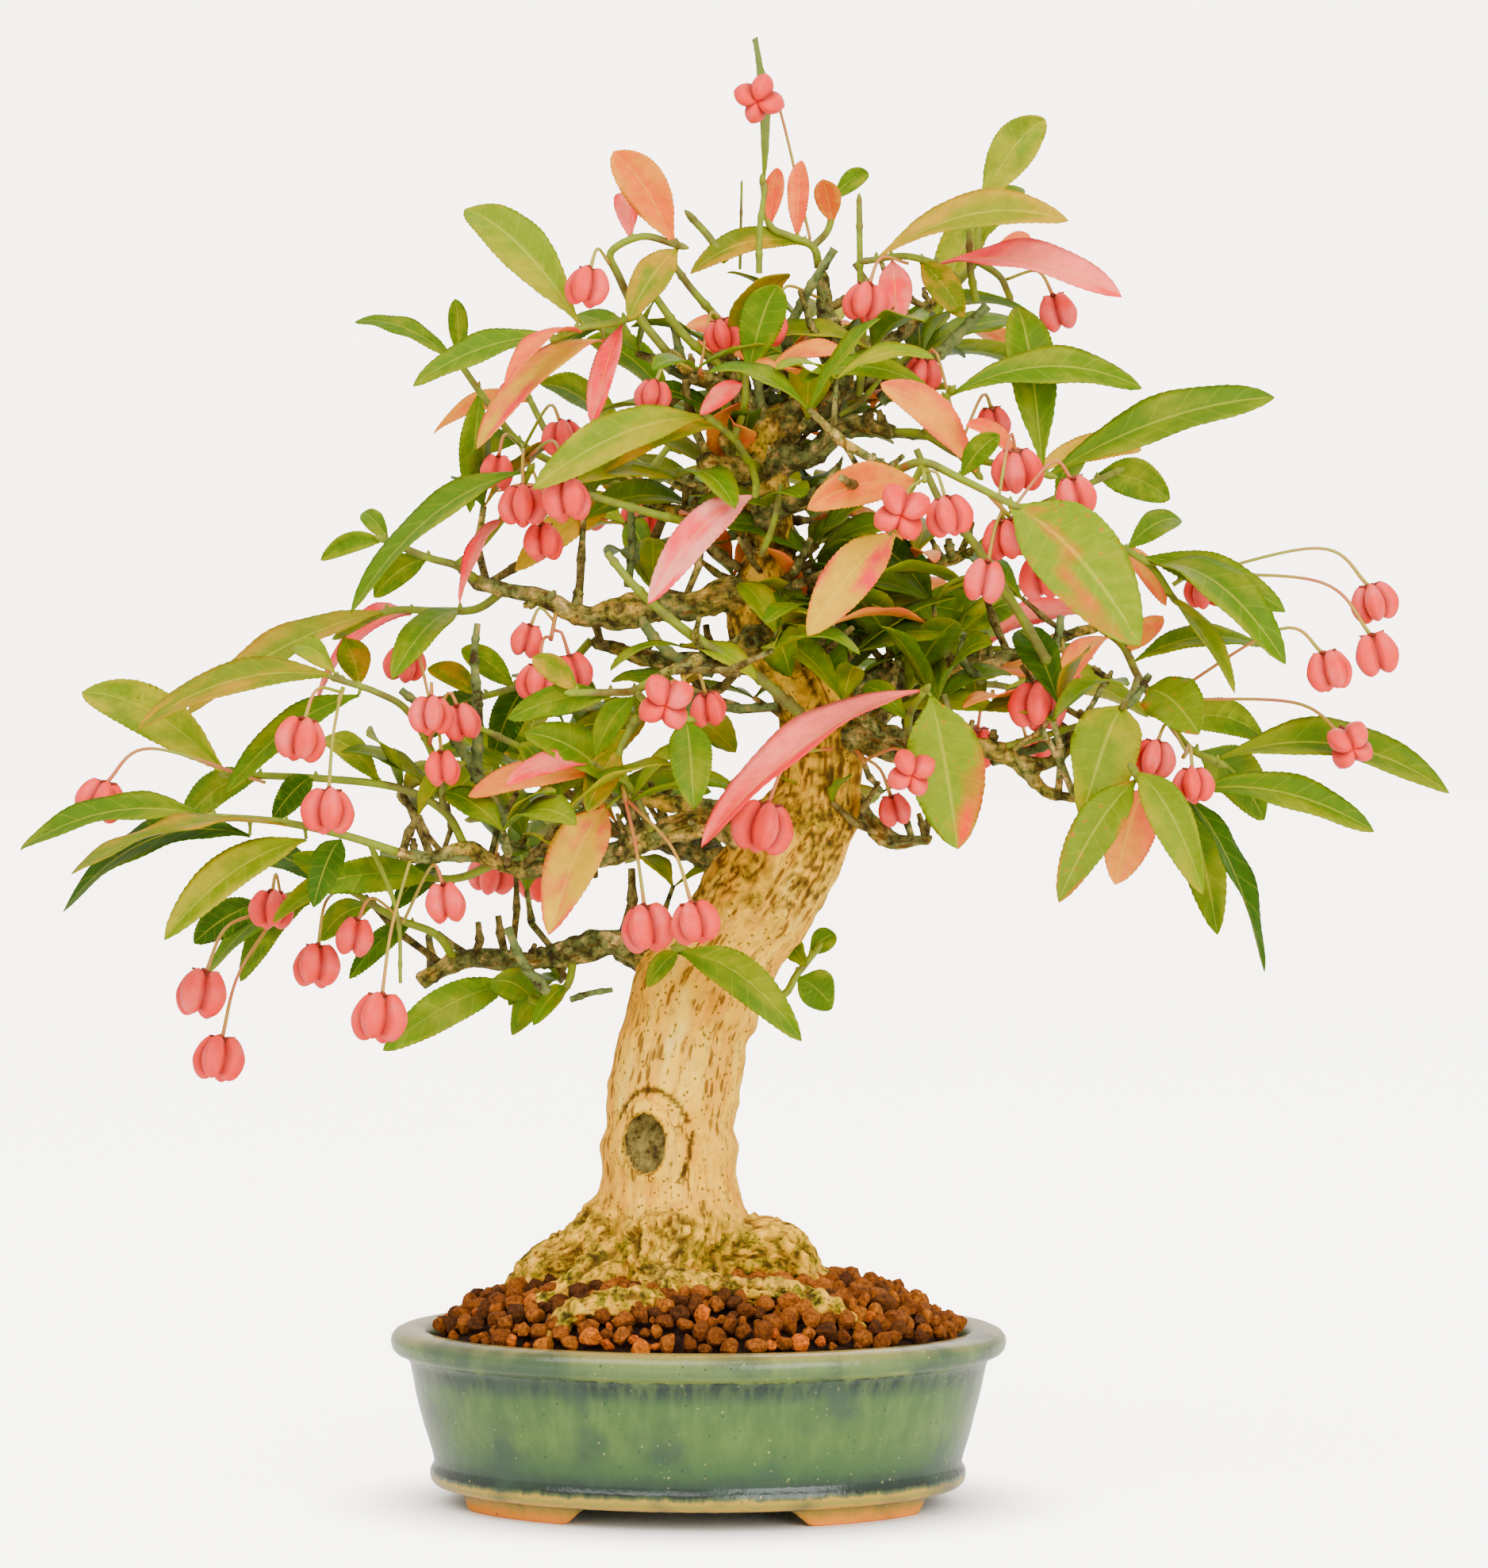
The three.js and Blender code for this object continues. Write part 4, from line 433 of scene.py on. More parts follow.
BRANCHES = [
    [(7.6, -22.1, 271.9, 4.6), (14.6, -22.7, 274, 4.4), (20.1, -23.3, 275.8, 4.2), (23.4, -23, 281.8, 3.8),
     (22.2, -21.9, 288.8, 3.4), (20.5, -19.8, 295.9, 2.8), (19.1, -18.6, 304, 2.2),
     (17.9, -18.5, 311, 1.7)],
    [(-13.5, -21.6, 139.7, 6), (-27, -20.4, 137.6, 4), (-34, -18.7, 140.5, 3.6),
     (-44.3, -16.3, 138.2, 3.4), (-54.5, -14.9, 135.8, 3), (-64.5, -16.4, 135.9, 2.7),
     (-74.1, -19.9, 135.4, 2.6), (-82.9, -22.5, 130.5, 2.6)],
    [(2, -30.1, 166.2, 5), (-6.7, -35.5, 170.7, 3.9), (-15.7, -40, 170.2, 3.6), (-22.5, -42.4, 168.1, 3.3),
     (-32.1, -44, 164.4, 3), (-40.8, -44.5, 162.1, 2.6), (-50.9, -44.1, 160, 2.3),
     (-61.8, -44.6, 161.4, 2), (-69, -45.9, 165.4, 1.9), (-78.7, -48.5, 162.9, 1.7),
     (-85.7, -50.8, 164.6, 1.6)],
    [(2.6, -21.5, 225.9, 6), (-4.1, -24.8, 228.3, 4.4), (-13.1, -27.4, 226.1, 3.6),
     (-21.9, -29.9, 225.1, 3.4), (-28.8, -31.2, 224.3, 4.2), (-40.1, -32.9, 223.1, 2.9),
     (-47, -33.2, 225.9, 2.6), (-53.9, -32.4, 228.5, 2.4), (-60.8, -30.8, 229.5, 2),
     (-68, -29.1, 232.5, 1.7)],
    [(6.5, -20.7, 211.9, 4), (-2.8, -15.2, 210.9, 2.8), (-12, -11.7, 211.9, 2.5),
     (-22.3, -9.2, 211.8, 2.3), (-30.6, -6.6, 213.9, 2.1), (-41.2, -1, 216.9, 1.8)],
    [(14.8, -26.4, 206, 5), (23.7, -24, 205.4, 3.9), (29.6, -21.7, 205.1, 3.4), (37.5, -18.2, 207.3, 3.8),
     (45.5, -14.7, 208.7, 2.8), (54.1, -12.2, 210.3, 2.4), (64.3, -10.6, 212.5, 2),
     (71.9, -10.2, 214.9, 1.8), (79.5, -10.7, 217.9, 1.6), (88.6, -12.2, 220.5, 1.5)],
    [(18.9, -29.6, 190.1, 6), (30.1, -35, 192.8, 4.2), (37.1, -37.7, 191.2, 3.8), (43, -39.4, 188.7, 3),
     (52.9, -39.9, 189.7, 2.6), (62.6, -39.4, 189.7, 3), (68.7, -39.1, 186.4, 2.2),
     (74.6, -40, 180.1, 1.8), (82.5, -41.6, 178, 1.6), (91.4, -43.2, 177.8, 1.5),
     (98.2, -43.8, 178.1, 1.4)],
    [(67.7, -39.2, 186.8, 2), (75.6, -38.8, 186.4, 1.8), (81.5, -38.3, 191.3, 1.5),
     (86.4, -36.9, 200.2, 1.2), (92.2, -35.3, 210, 1.1)],
    [(20.9, -27.8, 180.1, 5), (30.5, -28.5, 172.5, 2.8), (34.3, -29.4, 168.2, 2.4),
     (39.1, -30.2, 166.4, 2.1), (43.2, -30, 167.2, 1.9), (46.8, -29.8, 166.6, 1.8)],
    [(5.5, -19.2, 231.9, 4), (17.4, -15.6, 231.6, 2.5), (31.7, -11.8, 233.6, 2), (39.5, -10.3, 235.8, 1.9),
     (49.8, -9.8, 237.2, 1.7), (57.4, -10.3, 240, 1.6)],
    [(5.6, -22.4, 263.9, 4.4), (14.7, -25, 262.4, 3.1), (19.8, -26.6, 266.7, 2.8), (25.8, -29.2, 271, 2.4),
     (37.5, -32.6, 269.1, 1.9)],
    [(5.6, -22.2, 270.9, 3.6), (-2.2, -26.4, 278.7, 2.6), (-11.9, -30.8, 283.5, 2.1),
     (-19.6, -34.1, 289.3, 1.8)],
    [(4.7, -23.5, 259.9, 4), (-4.1, -28, 260.7, 3.7), (-10.9, -31.4, 260.1, 4)],
    [(4.5, -18.9, 246, 4), (-4.8, -15.3, 249, 2.4), (-14.9, -13.8, 249.1, 2), (-25.2, -11.3, 252.2, 1.6)],
    [(21.6, -20.9, 288.9, 3), (29.4, -17.4, 291, 2), (39.4, -13.8, 295.1, 1.7), (47.3, -12.2, 303.2, 1.4)],
    [(-2.7, -16.6, 157.6, 6), (-15.9, 0.9, 163, 3), (-31.4, 18.2, 166.4, 2.4), (-47.2, 35.4, 167.9, 1.8)],
    [(18.7, -24.7, 188, 6), (27, -4.1, 193.6, 3), (36.6, 16.6, 199.4, 2.4), (46.4, 37.3, 203.3, 1.8)],
    [(5.4, -17, 240, 4), (-3.6, -0.3, 247.3, 2.6), (-12.7, 17.4, 252.8, 2), (-22, 33.1, 258.3, 1.6)],
    [(7.5, -20.1, 269.9, 3.4), (18.9, -4.3, 277.5, 2.3), (30.5, 12.5, 284.2, 1.8)],
    [(4.7, -23.8, 248.9, 4), (14.3, -37.3, 252.6, 2.2), (26.7, -52.5, 256.1, 1.8),
     (38.8, -65.9, 258.7, 1.5)],
    [(4.8, -25.6, 217.9, 5), (-3.4, -41.2, 214, 2.2), (-10.4, -55.6, 212.1, 1.8),
     (-19.4, -68.2, 208.3, 1.5)],
    [(7.6, -21.7, 170.9, 5), (-12.9, -13.7, 174.6, 2.8), (-32, -1.6, 177.3, 2.2), (-47, 7.6, 176, 1.7)],
]
KNOT_RING = 6.6
KNOT_THICK = 1.7
KNOT_TALL = 1.35
KNOT_TURN = -0.33
KNOT_AT = (-23.98, -44.48, 91.64)
WOOD_VOXEL = 0.00092
SWELL = 0.09
KNOT_FACE = 5.4
KNOT_LIP = 8.8
KNOT_REACH = 12
ROOT_FLARE_TOP = 84
TRUNK_FLARE_TOP = 80
CRUST_FROM = 140


def smooth_run(rows, step):
    """Rows on a Catmull-Rom curve, a point about every step."""
    rows = [Vector(row) for row in rows]
    rows = [rows[0] * 2 - rows[1]] + rows + [rows[-1] * 2 - rows[-2]]
    run = []
    for p0, p1, p2, p3 in zip(rows, rows[1:], rows[2:], rows[3:]):
        parts = max(1, round((p2 - p1).to_3d().length / step)) if len(p1) == 4 else 1
        for k in range(parts):
            t = k / parts
            run.append(
                (p0 * (-t + 2 * t * t - t ** 3) + p1 * (2 - 5 * t * t + 3 * t ** 3)
                 + p2 * (t + 4 * t * t - 3 * t ** 3) + p3 * (-t * t + t ** 3)) / 2
            )
    run.append(rows[-2])
    return run


def tubes(name, runs, roundness):
    """A mesh of closed round tubes along runs of x, y, z, radius in mm."""
    curve = bpy.data.curves.new(name, "CURVE")
    curve.dimensions = "3D"
    curve.bevel_depth = 1.0
    curve.bevel_resolution = roundness
    curve.use_fill_caps = True
    for run in runs:
        spline = curve.splines.new("POLY")
        spline.points.add(len(run) - 1)
        for point, row in zip(spline.points, run):
            point.co = (row[0] * MM, row[1] * MM, row[2] * MM, 1)
            point.radius = row[3] * MM
    holder = bpy.data.objects.new(name, curve)
    bpy.context.scene.collection.objects.link(holder)
    mesh = bpy.data.meshes.new_from_object(holder.evaluated_get(bpy.context.evaluated_depsgraph_get()))
    bpy.data.objects.remove(holder)
    bpy.data.curves.remove(curve)
    return mesh


def uneven(run, seed):
    """The run with its radius swelling and shrinking a little, as grown wood does."""
    along = 0.0
    last = run[0]
    for row in run:
        along += (row - last).to_3d().length
        last = row.copy()
        swell = noise.noise(Vector((along / 9, seed * 3.7, 0.4)))
        swell += 0.6 * noise.noise(Vector((along / 3.6, seed * 1.9, 5.1)))
        row[3] *= 1 + SWELL * swell
    return run


wood_runs = [uneven(smooth_run(rows, 1.5), i) for i, rows in enumerate([TRUNK] + ROOTS + BRANCHES)]
wood_mesh = tubes("wood_runs", wood_runs, 7)
bm = bmesh.new()
bm.from_mesh(wood_mesh)
made = bmesh.ops.create_circle(bm, segments=12, radius=KNOT_THICK * MM)["verts"]
bmesh.ops.translate(bm, vec=(KNOT_RING * MM, 0, 0), verts=made)
edges = list({edge for vert in made for edge in vert.link_edges})
bmesh.ops.rotate(bm, cent=(KNOT_RING * MM, 0, 0), matrix=Matrix.Rotation(math.pi / 2, 3, "X"), verts=made)
bmesh.ops.spin(
    bm, geom=made + edges, cent=(0, 0, 0), axis=(0, 0, 1), angle=math.tau, steps=48, use_merge=True
)
ring = set(made)
stack = list(made)
while stack:
    for edge in stack.pop().link_edges:
        for vert in edge.verts:
            if vert not in ring:
                ring.add(vert)
                stack.append(vert)
for vert in ring:
    x, y, z = vert.co
    x, y, z = x, -z, y * KNOT_TALL
    cos, sin = math.cos(KNOT_TURN), math.sin(KNOT_TURN)
    x, y = x * cos - y * sin, x * sin + y * cos
    lump = 1 + 0.12 * noise.noise(Vector((x * 200, 3.0, z * 200)))
    vert.co = Vector((x * lump + KNOT_AT[0] * MM, y + KNOT_AT[1] * MM, z * lump + KNOT_AT[2] * MM))
wood = new_piece("wood_barked", bm)
weld = wood.modifiers.new("grown_together", "REMESH")
weld.mode = "VOXEL"
weld.voxel_size = WOOD_VOXEL
grown = bpy.data.meshes.new_from_object(wood.evaluated_get(bpy.context.evaluated_depsgraph_get()))
wood.modifiers.clear()
wood.data = grown
bm = bmesh.new()
bm.from_mesh(grown)
for _ in range(3):
    bmesh.ops.smooth_vert(bm, verts=bm.verts, factor=0.5, use_axis_x=True, use_axis_y=True, use_axis_z=True)

# Each point of the bark is written in the grain of the run that it lies on: across, across, along.
centres, ways, sides, lengths, radii, kinds = [], [], [], [], [], []
for number, run in enumerate(wood_runs):
    along = 0.0
    side = Vector((1, 0, 0))
    for i, row in enumerate(run):
        way = (run[min(i + 1, len(run) - 1)] - run[max(i - 1, 0)]).to_3d().normalized()
        side = (side - way * side.dot(way)).normalized()
        if i:
            along += (row - run[i - 1]).to_3d().length
        centres.append(row.to_3d())
        ways.append(way)
        sides.append(side.copy())
        lengths.append(along + 200 * number)
        radii.append(row[3])
        kinds.append(number)
centres, ways, sides = (np.array(rows) for rows in (centres, ways, sides))
lengths, radii, kinds = np.array(lengths), np.array(radii), np.array(kinds)
points = np.array([vert.co for vert in bm.verts]) / MM
nearest = np.empty(len(points), int)
for start in range(0, len(points), 4000):
    block = points[start : start + 4000]
    away = np.linalg.norm(block[:, None] - centres[None], axis=2) - radii[None]
    nearest[start : start + 4000] = away.argmin(axis=1)
offset = points - centres[nearest]
along = np.einsum("ij,ij->i", offset, ways[nearest])
thirds = np.cross(ways[nearest], sides[nearest])
grain_x = np.einsum("ij,ij->i", offset, sides[nearest])
grain_y = np.einsum("ij,ij->i", offset, thirds)
grain_s = lengths[nearest] + along
size = radii[nearest]
knot_x, knot_y, knot_z = (points - np.array(KNOT_AT)).T
knot_side = knot_x * math.cos(KNOT_TURN) + knot_y * math.sin(KNOT_TURN)
knot = np.hypot(knot_side, knot_z / KNOT_TALL)
knot[knot_y > 8] = 99

grain_layer = bm.verts.layers.float_vector.new("grain")
look_layer = bm.verts.layers.float_color.new("look")
for i, vert in enumerate(bm.verts):
    x, y, s, r = grain_x[i], grain_y[i], grain_s[i], size[i]
    number = kinds[nearest[i]]
    root = 1.0 if 0 < number <= len(ROOTS) else 0.0
    z = points[i][2]
    flare = 0.0
    if number <= len(ROOTS):
        flare = min(1.0, max(0.0, (TRUNK_FLARE_TOP - z) / 18))
        flare = max(root * min(1.0, max(0.0, (ROOT_FLARE_TOP - z) / 12)), flare)
    strength = min(1.0, r / 9)
    ridge = noise.noise(Vector((x / 1.7, y / 1.7, s / 13)))
    furrow = max(0.0, 1 - abs(noise.noise(Vector((x / 3.4, y / 3.4, s / 20)))) / 0.1)
    lump = noise.noise(Vector((x / 6.5, y / 6.5, s / 8)))
    knob = noise.noise(Vector((x / 2.6, y / 2.6, s / 3.4)))
    fleck = noise.noise(Vector((x / 1.0, y / 1.0, s / 3.2)))
    pit = max(0.0, min(1.0, (fleck - 0.34) / 0.12))
    if number == 0 or root:
        rise = strength * (0.14 * lump + 0.2 * ridge) - 0.25 * pit * strength
        wrinkle = noise.noise(Vector((x / 8, y / 8, s / 1.5)))
        rise += flare * (1.1 * lump + 0.8 * knob + 0.8 * wrinkle - 1.5 * furrow)
        # fold darkens the sunken creases of the root flare: painted shade. Furrows and pits are the bark's own
        # cracks.
        fold = max(0.0, -2.4 * knob - 0.35, -2.2 * wrinkle - 0.4)
        crack_and_crease_shade = max(0.35 * pit * strength, furrow * (0.1 + 0.9 * flare), flare * fold)
        if z > CRUST_FROM and not root:
            scab = max(0.0, noise.noise(Vector((x / 7, y / 7, s / 12))) + 0.18) * 5
            scab = min(1.0, scab * min(1.0, (z - CRUST_FROM) / 25))
            grit = noise.noise(Vector((x / 1.3, y / 1.3, s / 2.2)))
            crack_and_crease_shade = max(crack_and_crease_shade, scab * max(0.0, min(1.0, 0.5 + 2.0 * grit)))
            rise += scab * 0.6 * grit
    else:
        joint = abs((s / 13 + 1.6 * noise.noise(Vector((s / 16, number, 0)))) % 1 - 0.5)
        ring = math.exp(-((joint / 0.07) ** 2))
        rise = r * (0.3 * lump + 0.24 * knob + 0.16 * ring) - 0.2 * pit - 0.3 * furrow * strength
        # On branches the low hollows between knobs are darkened as painted shade; rings, pits and furrows are
        # the bark's own marks.
        crack_and_crease_shade = max(0.5 * pit, 0.4 * ring, 0.7 * furrow, -1.2 * knob - 0.2)
    hollow = 0.0
    if number == 0 and knot[i] < KNOT_REACH:
        arc = math.atan2(knot_z[i], knot_side[i])
        if knot[i] < KNOT_FACE:
            rise = -1.1 + 0.5 * fleck
            hollow = 1.0
            crack_and_crease_shade = 0.0
        elif knot[i] < KNOT_LIP:
            rise = 0.25 * math.sin((knot[i] - KNOT_FACE) * 1.9) + 0.15 * fleck
            crack_and_crease_shade = max(0.0, 1 - abs(knot[i] - 5.8) / 0.5)
        line = abs(knot[i] - (9.9 if 0.5 < arc < 2.7 else 10.4))
        if (0.5 < arc < 2.75 or -0.9 < arc < 0.25) and line < 0.5:
            rise -= 0.5
            crack_and_crease_shade = 1.0
    vert.co += vert.normal * (rise * MM)
    vert[grain_layer] = (x * MM, y * MM, s * MM)
    moss = max(0.0, min(1.0, (79 - z) / 13)) if number <= len(ROOTS) else 0.1
    if number == 0 and z > 150:
        moss = 0.4 + 0.25 * min(1.0, (z - 150) / 60)
    vert[look_layer] = (moss, min(1.0, r / 12), max(0.0, min(1.0, crack_and_crease_shade)), hollow)
bm.normal_update()

# Short twigs of earlier years, ending cut back, stand all along the branches.
SPURS = 250
SPUR_REACHES = (2.5, 4, 6, 9, 12, 16, 20, 25)
LEAFY_BEYOND = 12
draw = random.Random(77)
spots = [(run, i) for run in wood_runs[1 + len(ROOTS):] for i in range(6, len(run) - 1)]
spots += [(wood_runs[0], i) for i in range(len(wood_runs[0])) if wood_runs[0][i][2] > 200 for _ in range(5)]
spurs, spur_tips = [], []
for _ in range(SPURS):
    run, i = draw.choice(spots)
    at = run[i].to_3d()
    way = (run[i + 1] - run[i]).to_3d().normalized() if i + 1 < len(run) else Vector((0, 0, 1))
    out = Vector((draw.gauss(0, 1), draw.gauss(0, 1), draw.gauss(0.6, 0.8)))
    out = (out - way * out.dot(way) * 0.6).normalized()
    reach = run[i][3] + draw.choice(SPUR_REACHES)
    thick = min(run[i][3] * 0.8, draw.uniform(0.75, 1.3))
    bend = (out + Vector((draw.gauss(0, 0.25), draw.gauss(0, 0.25), 0.35))).normalized()
    middle = at + out * (reach * 0.55)
    end = middle + bend * (reach * 0.45)
    rows = [at, at.lerp(middle, 0.5), middle, middle.lerp(end, 0.5), end]
    spur = [Vector((*row, thick * (1 - 0.06 * k))) for k, row in enumerate(rows)]
    spur.insert(3, Vector((*(middle + bend * 0.8), thick * 1.25)))
    spur[2][3] *= 1.2
    spurs.append(spur)
    if reach > LEAFY_BEYOND:
        spur_tips.append((end, bend))
known = set(bm.verts)
bm.from_mesh(tubes("spur_runs", spurs, 2))
for vert in set(bm.verts) - known:
    vert[grain_layer] = vert.co
    speckled = 0.3 * max(0.0, noise.noise(vert.co * 900))
    scarred = 1.0 if noise.noise(vert.co * 70) > -0.1 else 0.0
    vert[look_layer] = (0.0, 0.0, speckled, scarred)

bark, tree, shader = new_material("spindle_bark_corky")
# Spindle bark: pale and smooth between short brown cracks that run with the grain, stained ochre
# and yellow-green by algae and moss near the soil, and greener and browner on young branches.
# The sunken creases of the root flare and the low hollows between knobs are darkened as painted shade.
grain_at = add(tree, "Attribute", {"attribute_name": "grain"}).outputs["Vector"]
look = add(tree, "Attribute", {"attribute_name": "look"})
looks = add(tree, "SeparateColor", Color=look.outputs["Color"])
place = add(tree, "TexCoord").outputs["Object"]
long_grain = add(tree, "Mapping", Vector=grain_at, Scale=(1 / (1.1 * MM), 1 / (1.1 * MM), 1 / (6.2 * MM)))
dashes = add(tree, "TexNoise", Vector=long_grain.outputs[0], Scale=1.0, Detail=4.0, Roughness=0.62)
wide_grain = add(tree, "Mapping", Vector=grain_at, Scale=(1 / (6 * MM), 1 / (6 * MM), 1 / (22 * MM)))
stains = add(tree, "TexNoise", Vector=wide_grain.outputs[0], Scale=1.0, Detail=4.0, Roughness=0.6)
patches = add(tree, "TexNoise", Vector=place, Scale=1 / (15 * MM), Detail=4.0, Roughness=0.62)
crust = add(tree, "TexNoise", Vector=place, Scale=1 / (3.4 * MM), Detail=5.0, Roughness=0.68)
old = add(
    tree, "ValToRGB",
    stops=[(0.3, "#D48A03"), (0.4, "#EFA603"), (0.48, "#F7B810"), (0.6, "#F7C634"), (0.75, "#F7D062")],
    Fac=stains.outputs["Fac"]
).outputs["Color"]
young = add(
    tree, "ValToRGB",
    stops=[(0.36, "#2A250E"), (0.44, "#4E5220"), (0.5, "#687036"), (0.57, "#837C40"), (0.66, "#D8AC60")],
    Fac=crust.outputs["Fac"]
).outputs["Color"]
thick = add(tree, "MapRange", Value=looks.outputs["Green"], From_Min=0.42, From_Max=0.75)
mossy = add(
    tree, "ValToRGB",
    stops=[
        (0.36, "#3A2C04"), (0.42, "#6E6203"), (0.47, "#A68C03"), (0.52, "#D69E03"), (0.57, "#F2AC08"),
        (0.66, "#F7C440")
    ],
    Fac=crust.outputs["Fac"]
).outputs["Color"]
row_grain = add(tree, "Mapping", Vector=grain_at, Scale=(1 / (3.4 * MM), 1 / (3.4 * MM), 1 / (32 * MM)))
row_noise = add(tree, "TexNoise", Vector=row_grain.outputs[0], Scale=1.0, Detail=2.0)
in_row = add(tree, "MapRange", Value=row_noise.outputs["Fac"], From_Min=0.53, From_Max=0.58)
gold = add(tree, "MapRange", Value=row_noise.outputs["Fac"], From_Min=0.44, From_Max=0.6, To_Max=0.7)
stained = add(tree, "Mix", {"data_type": "RGBA"}, i0=gold.outputs["Result"], i6=old, i7=colour("#E49C14"))
wooded = add(tree, "Mix", {"data_type": "RGBA"}, i0=thick.outputs["Result"], i6=young, i7=stained.outputs[2])
moss_edge = add(tree, "Math", {"operation": "MULTIPLY_ADD"}, i0=patches.outputs["Fac"], i1=2.6, i2=-1.3)
moss_share = add(
    tree, "Math", {"operation": "ADD", "use_clamp": True}, i0=looks.outputs["Red"], i1=moss_edge.outputs[0]
)
moss_share = add(
    tree, "Math", {"operation": "MULTIPLY", "use_clamp": True}, i0=moss_share.outputs[0], i1=0.95
)
mossed = add(tree, "Mix", {"data_type": "RGBA"}, i0=moss_share.outputs[0], i6=wooded.outputs[2], i7=mossy)
# Lens-shaped cracks stand in chains up the trunk, with fine dots between them.
lens_grain = add(tree, "Mapping", Vector=grain_at, Scale=(1 / (1.4 * MM), 1 / (1.4 * MM), 1 / (6 * MM)))
lenses = add(tree, "TexVoronoi", Vector=lens_grain.outputs[0], Scale=1.0)
lens = add(tree, "MapRange", Value=lenses.outputs["Distance"], From_Min=0.42, From_Max=0.3)
lens = add(tree, "Math", {"operation": "MULTIPLY"}, i0=lens.outputs["Result"], i1=in_row.outputs["Result"])
dots = add(tree, "TexVoronoi", Vector=grain_at, Scale=1 / (2.1 * MM))
dot = add(tree, "MapRange", Value=dots.outputs["Distance"], From_Min=0.2, From_Max=0.12)
dash = add(tree, "MapRange", Value=dashes.outputs["Fac"], From_Min=0.6, From_Max=0.68)
marks = add(tree, "Math", {"operation": "MAXIMUM"}, i0=lens.outputs[0], i1=dot.outputs["Result"])
marks = add(tree, "Math", {"operation": "MAXIMUM"}, i0=marks.outputs[0], i1=dash.outputs["Result"])
marks = add(tree, "Math", {"operation": "MULTIPLY", "use_clamp": True}, i0=marks.outputs[0], i1=0.85)
dashed = add(
    tree, "Mix", {"data_type": "RGBA"}, i0=marks.outputs[0], i6=mossed.outputs[2], i7=colour("#6A4408")
)
# The look's blue share darkens the bark's own cracks and, as painted shade, its sunken creases and hollows.
crack_shade_share = add(tree, "Math", {"operation": "MULTIPLY", "use_clamp": True}, i0=looks.outputs["Blue"], i1=0.9)
cracked_and_shaded = add(
    tree, "Mix", {"data_type": "RGBA"}, i0=crack_shade_share.outputs[0], i6=dashed.outputs[2], i7=colour("#382507")
)
scar = add(
    tree, "ValToRGB", stops=[(0.38, "#2E240A"), (0.46, "#5A4A1A"), (0.54, "#6E6230"), (0.66, "#907A38")],
    Fac=crust.outputs["Fac"]
).outputs["Color"]
hollow = add(tree, "Mix", {"data_type": "RGBA"}, i0=look.outputs["Alpha"], i6=cracked_and_shaded.outputs[2], i7=scar)
put(tree, shader, Base_Color=hollow.outputs[2], Roughness=0.85, Specular_IOR_Level=0.15)
sunk = add(tree, "Math", {"operation": "SUBTRACT"}, i0=crust.outputs["Fac"], i1=marks.outputs[0])
bump = add(tree, "Bump", Strength=0.7, Distance=0.0006, Height=sunk.outputs[0])
put(tree, shader, Normal=bump.outputs[0])
wood.data.materials.append(bark)
bm.to_mesh(wood.data)
bm.free()
wood.data.shade_smooth()
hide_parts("wood")

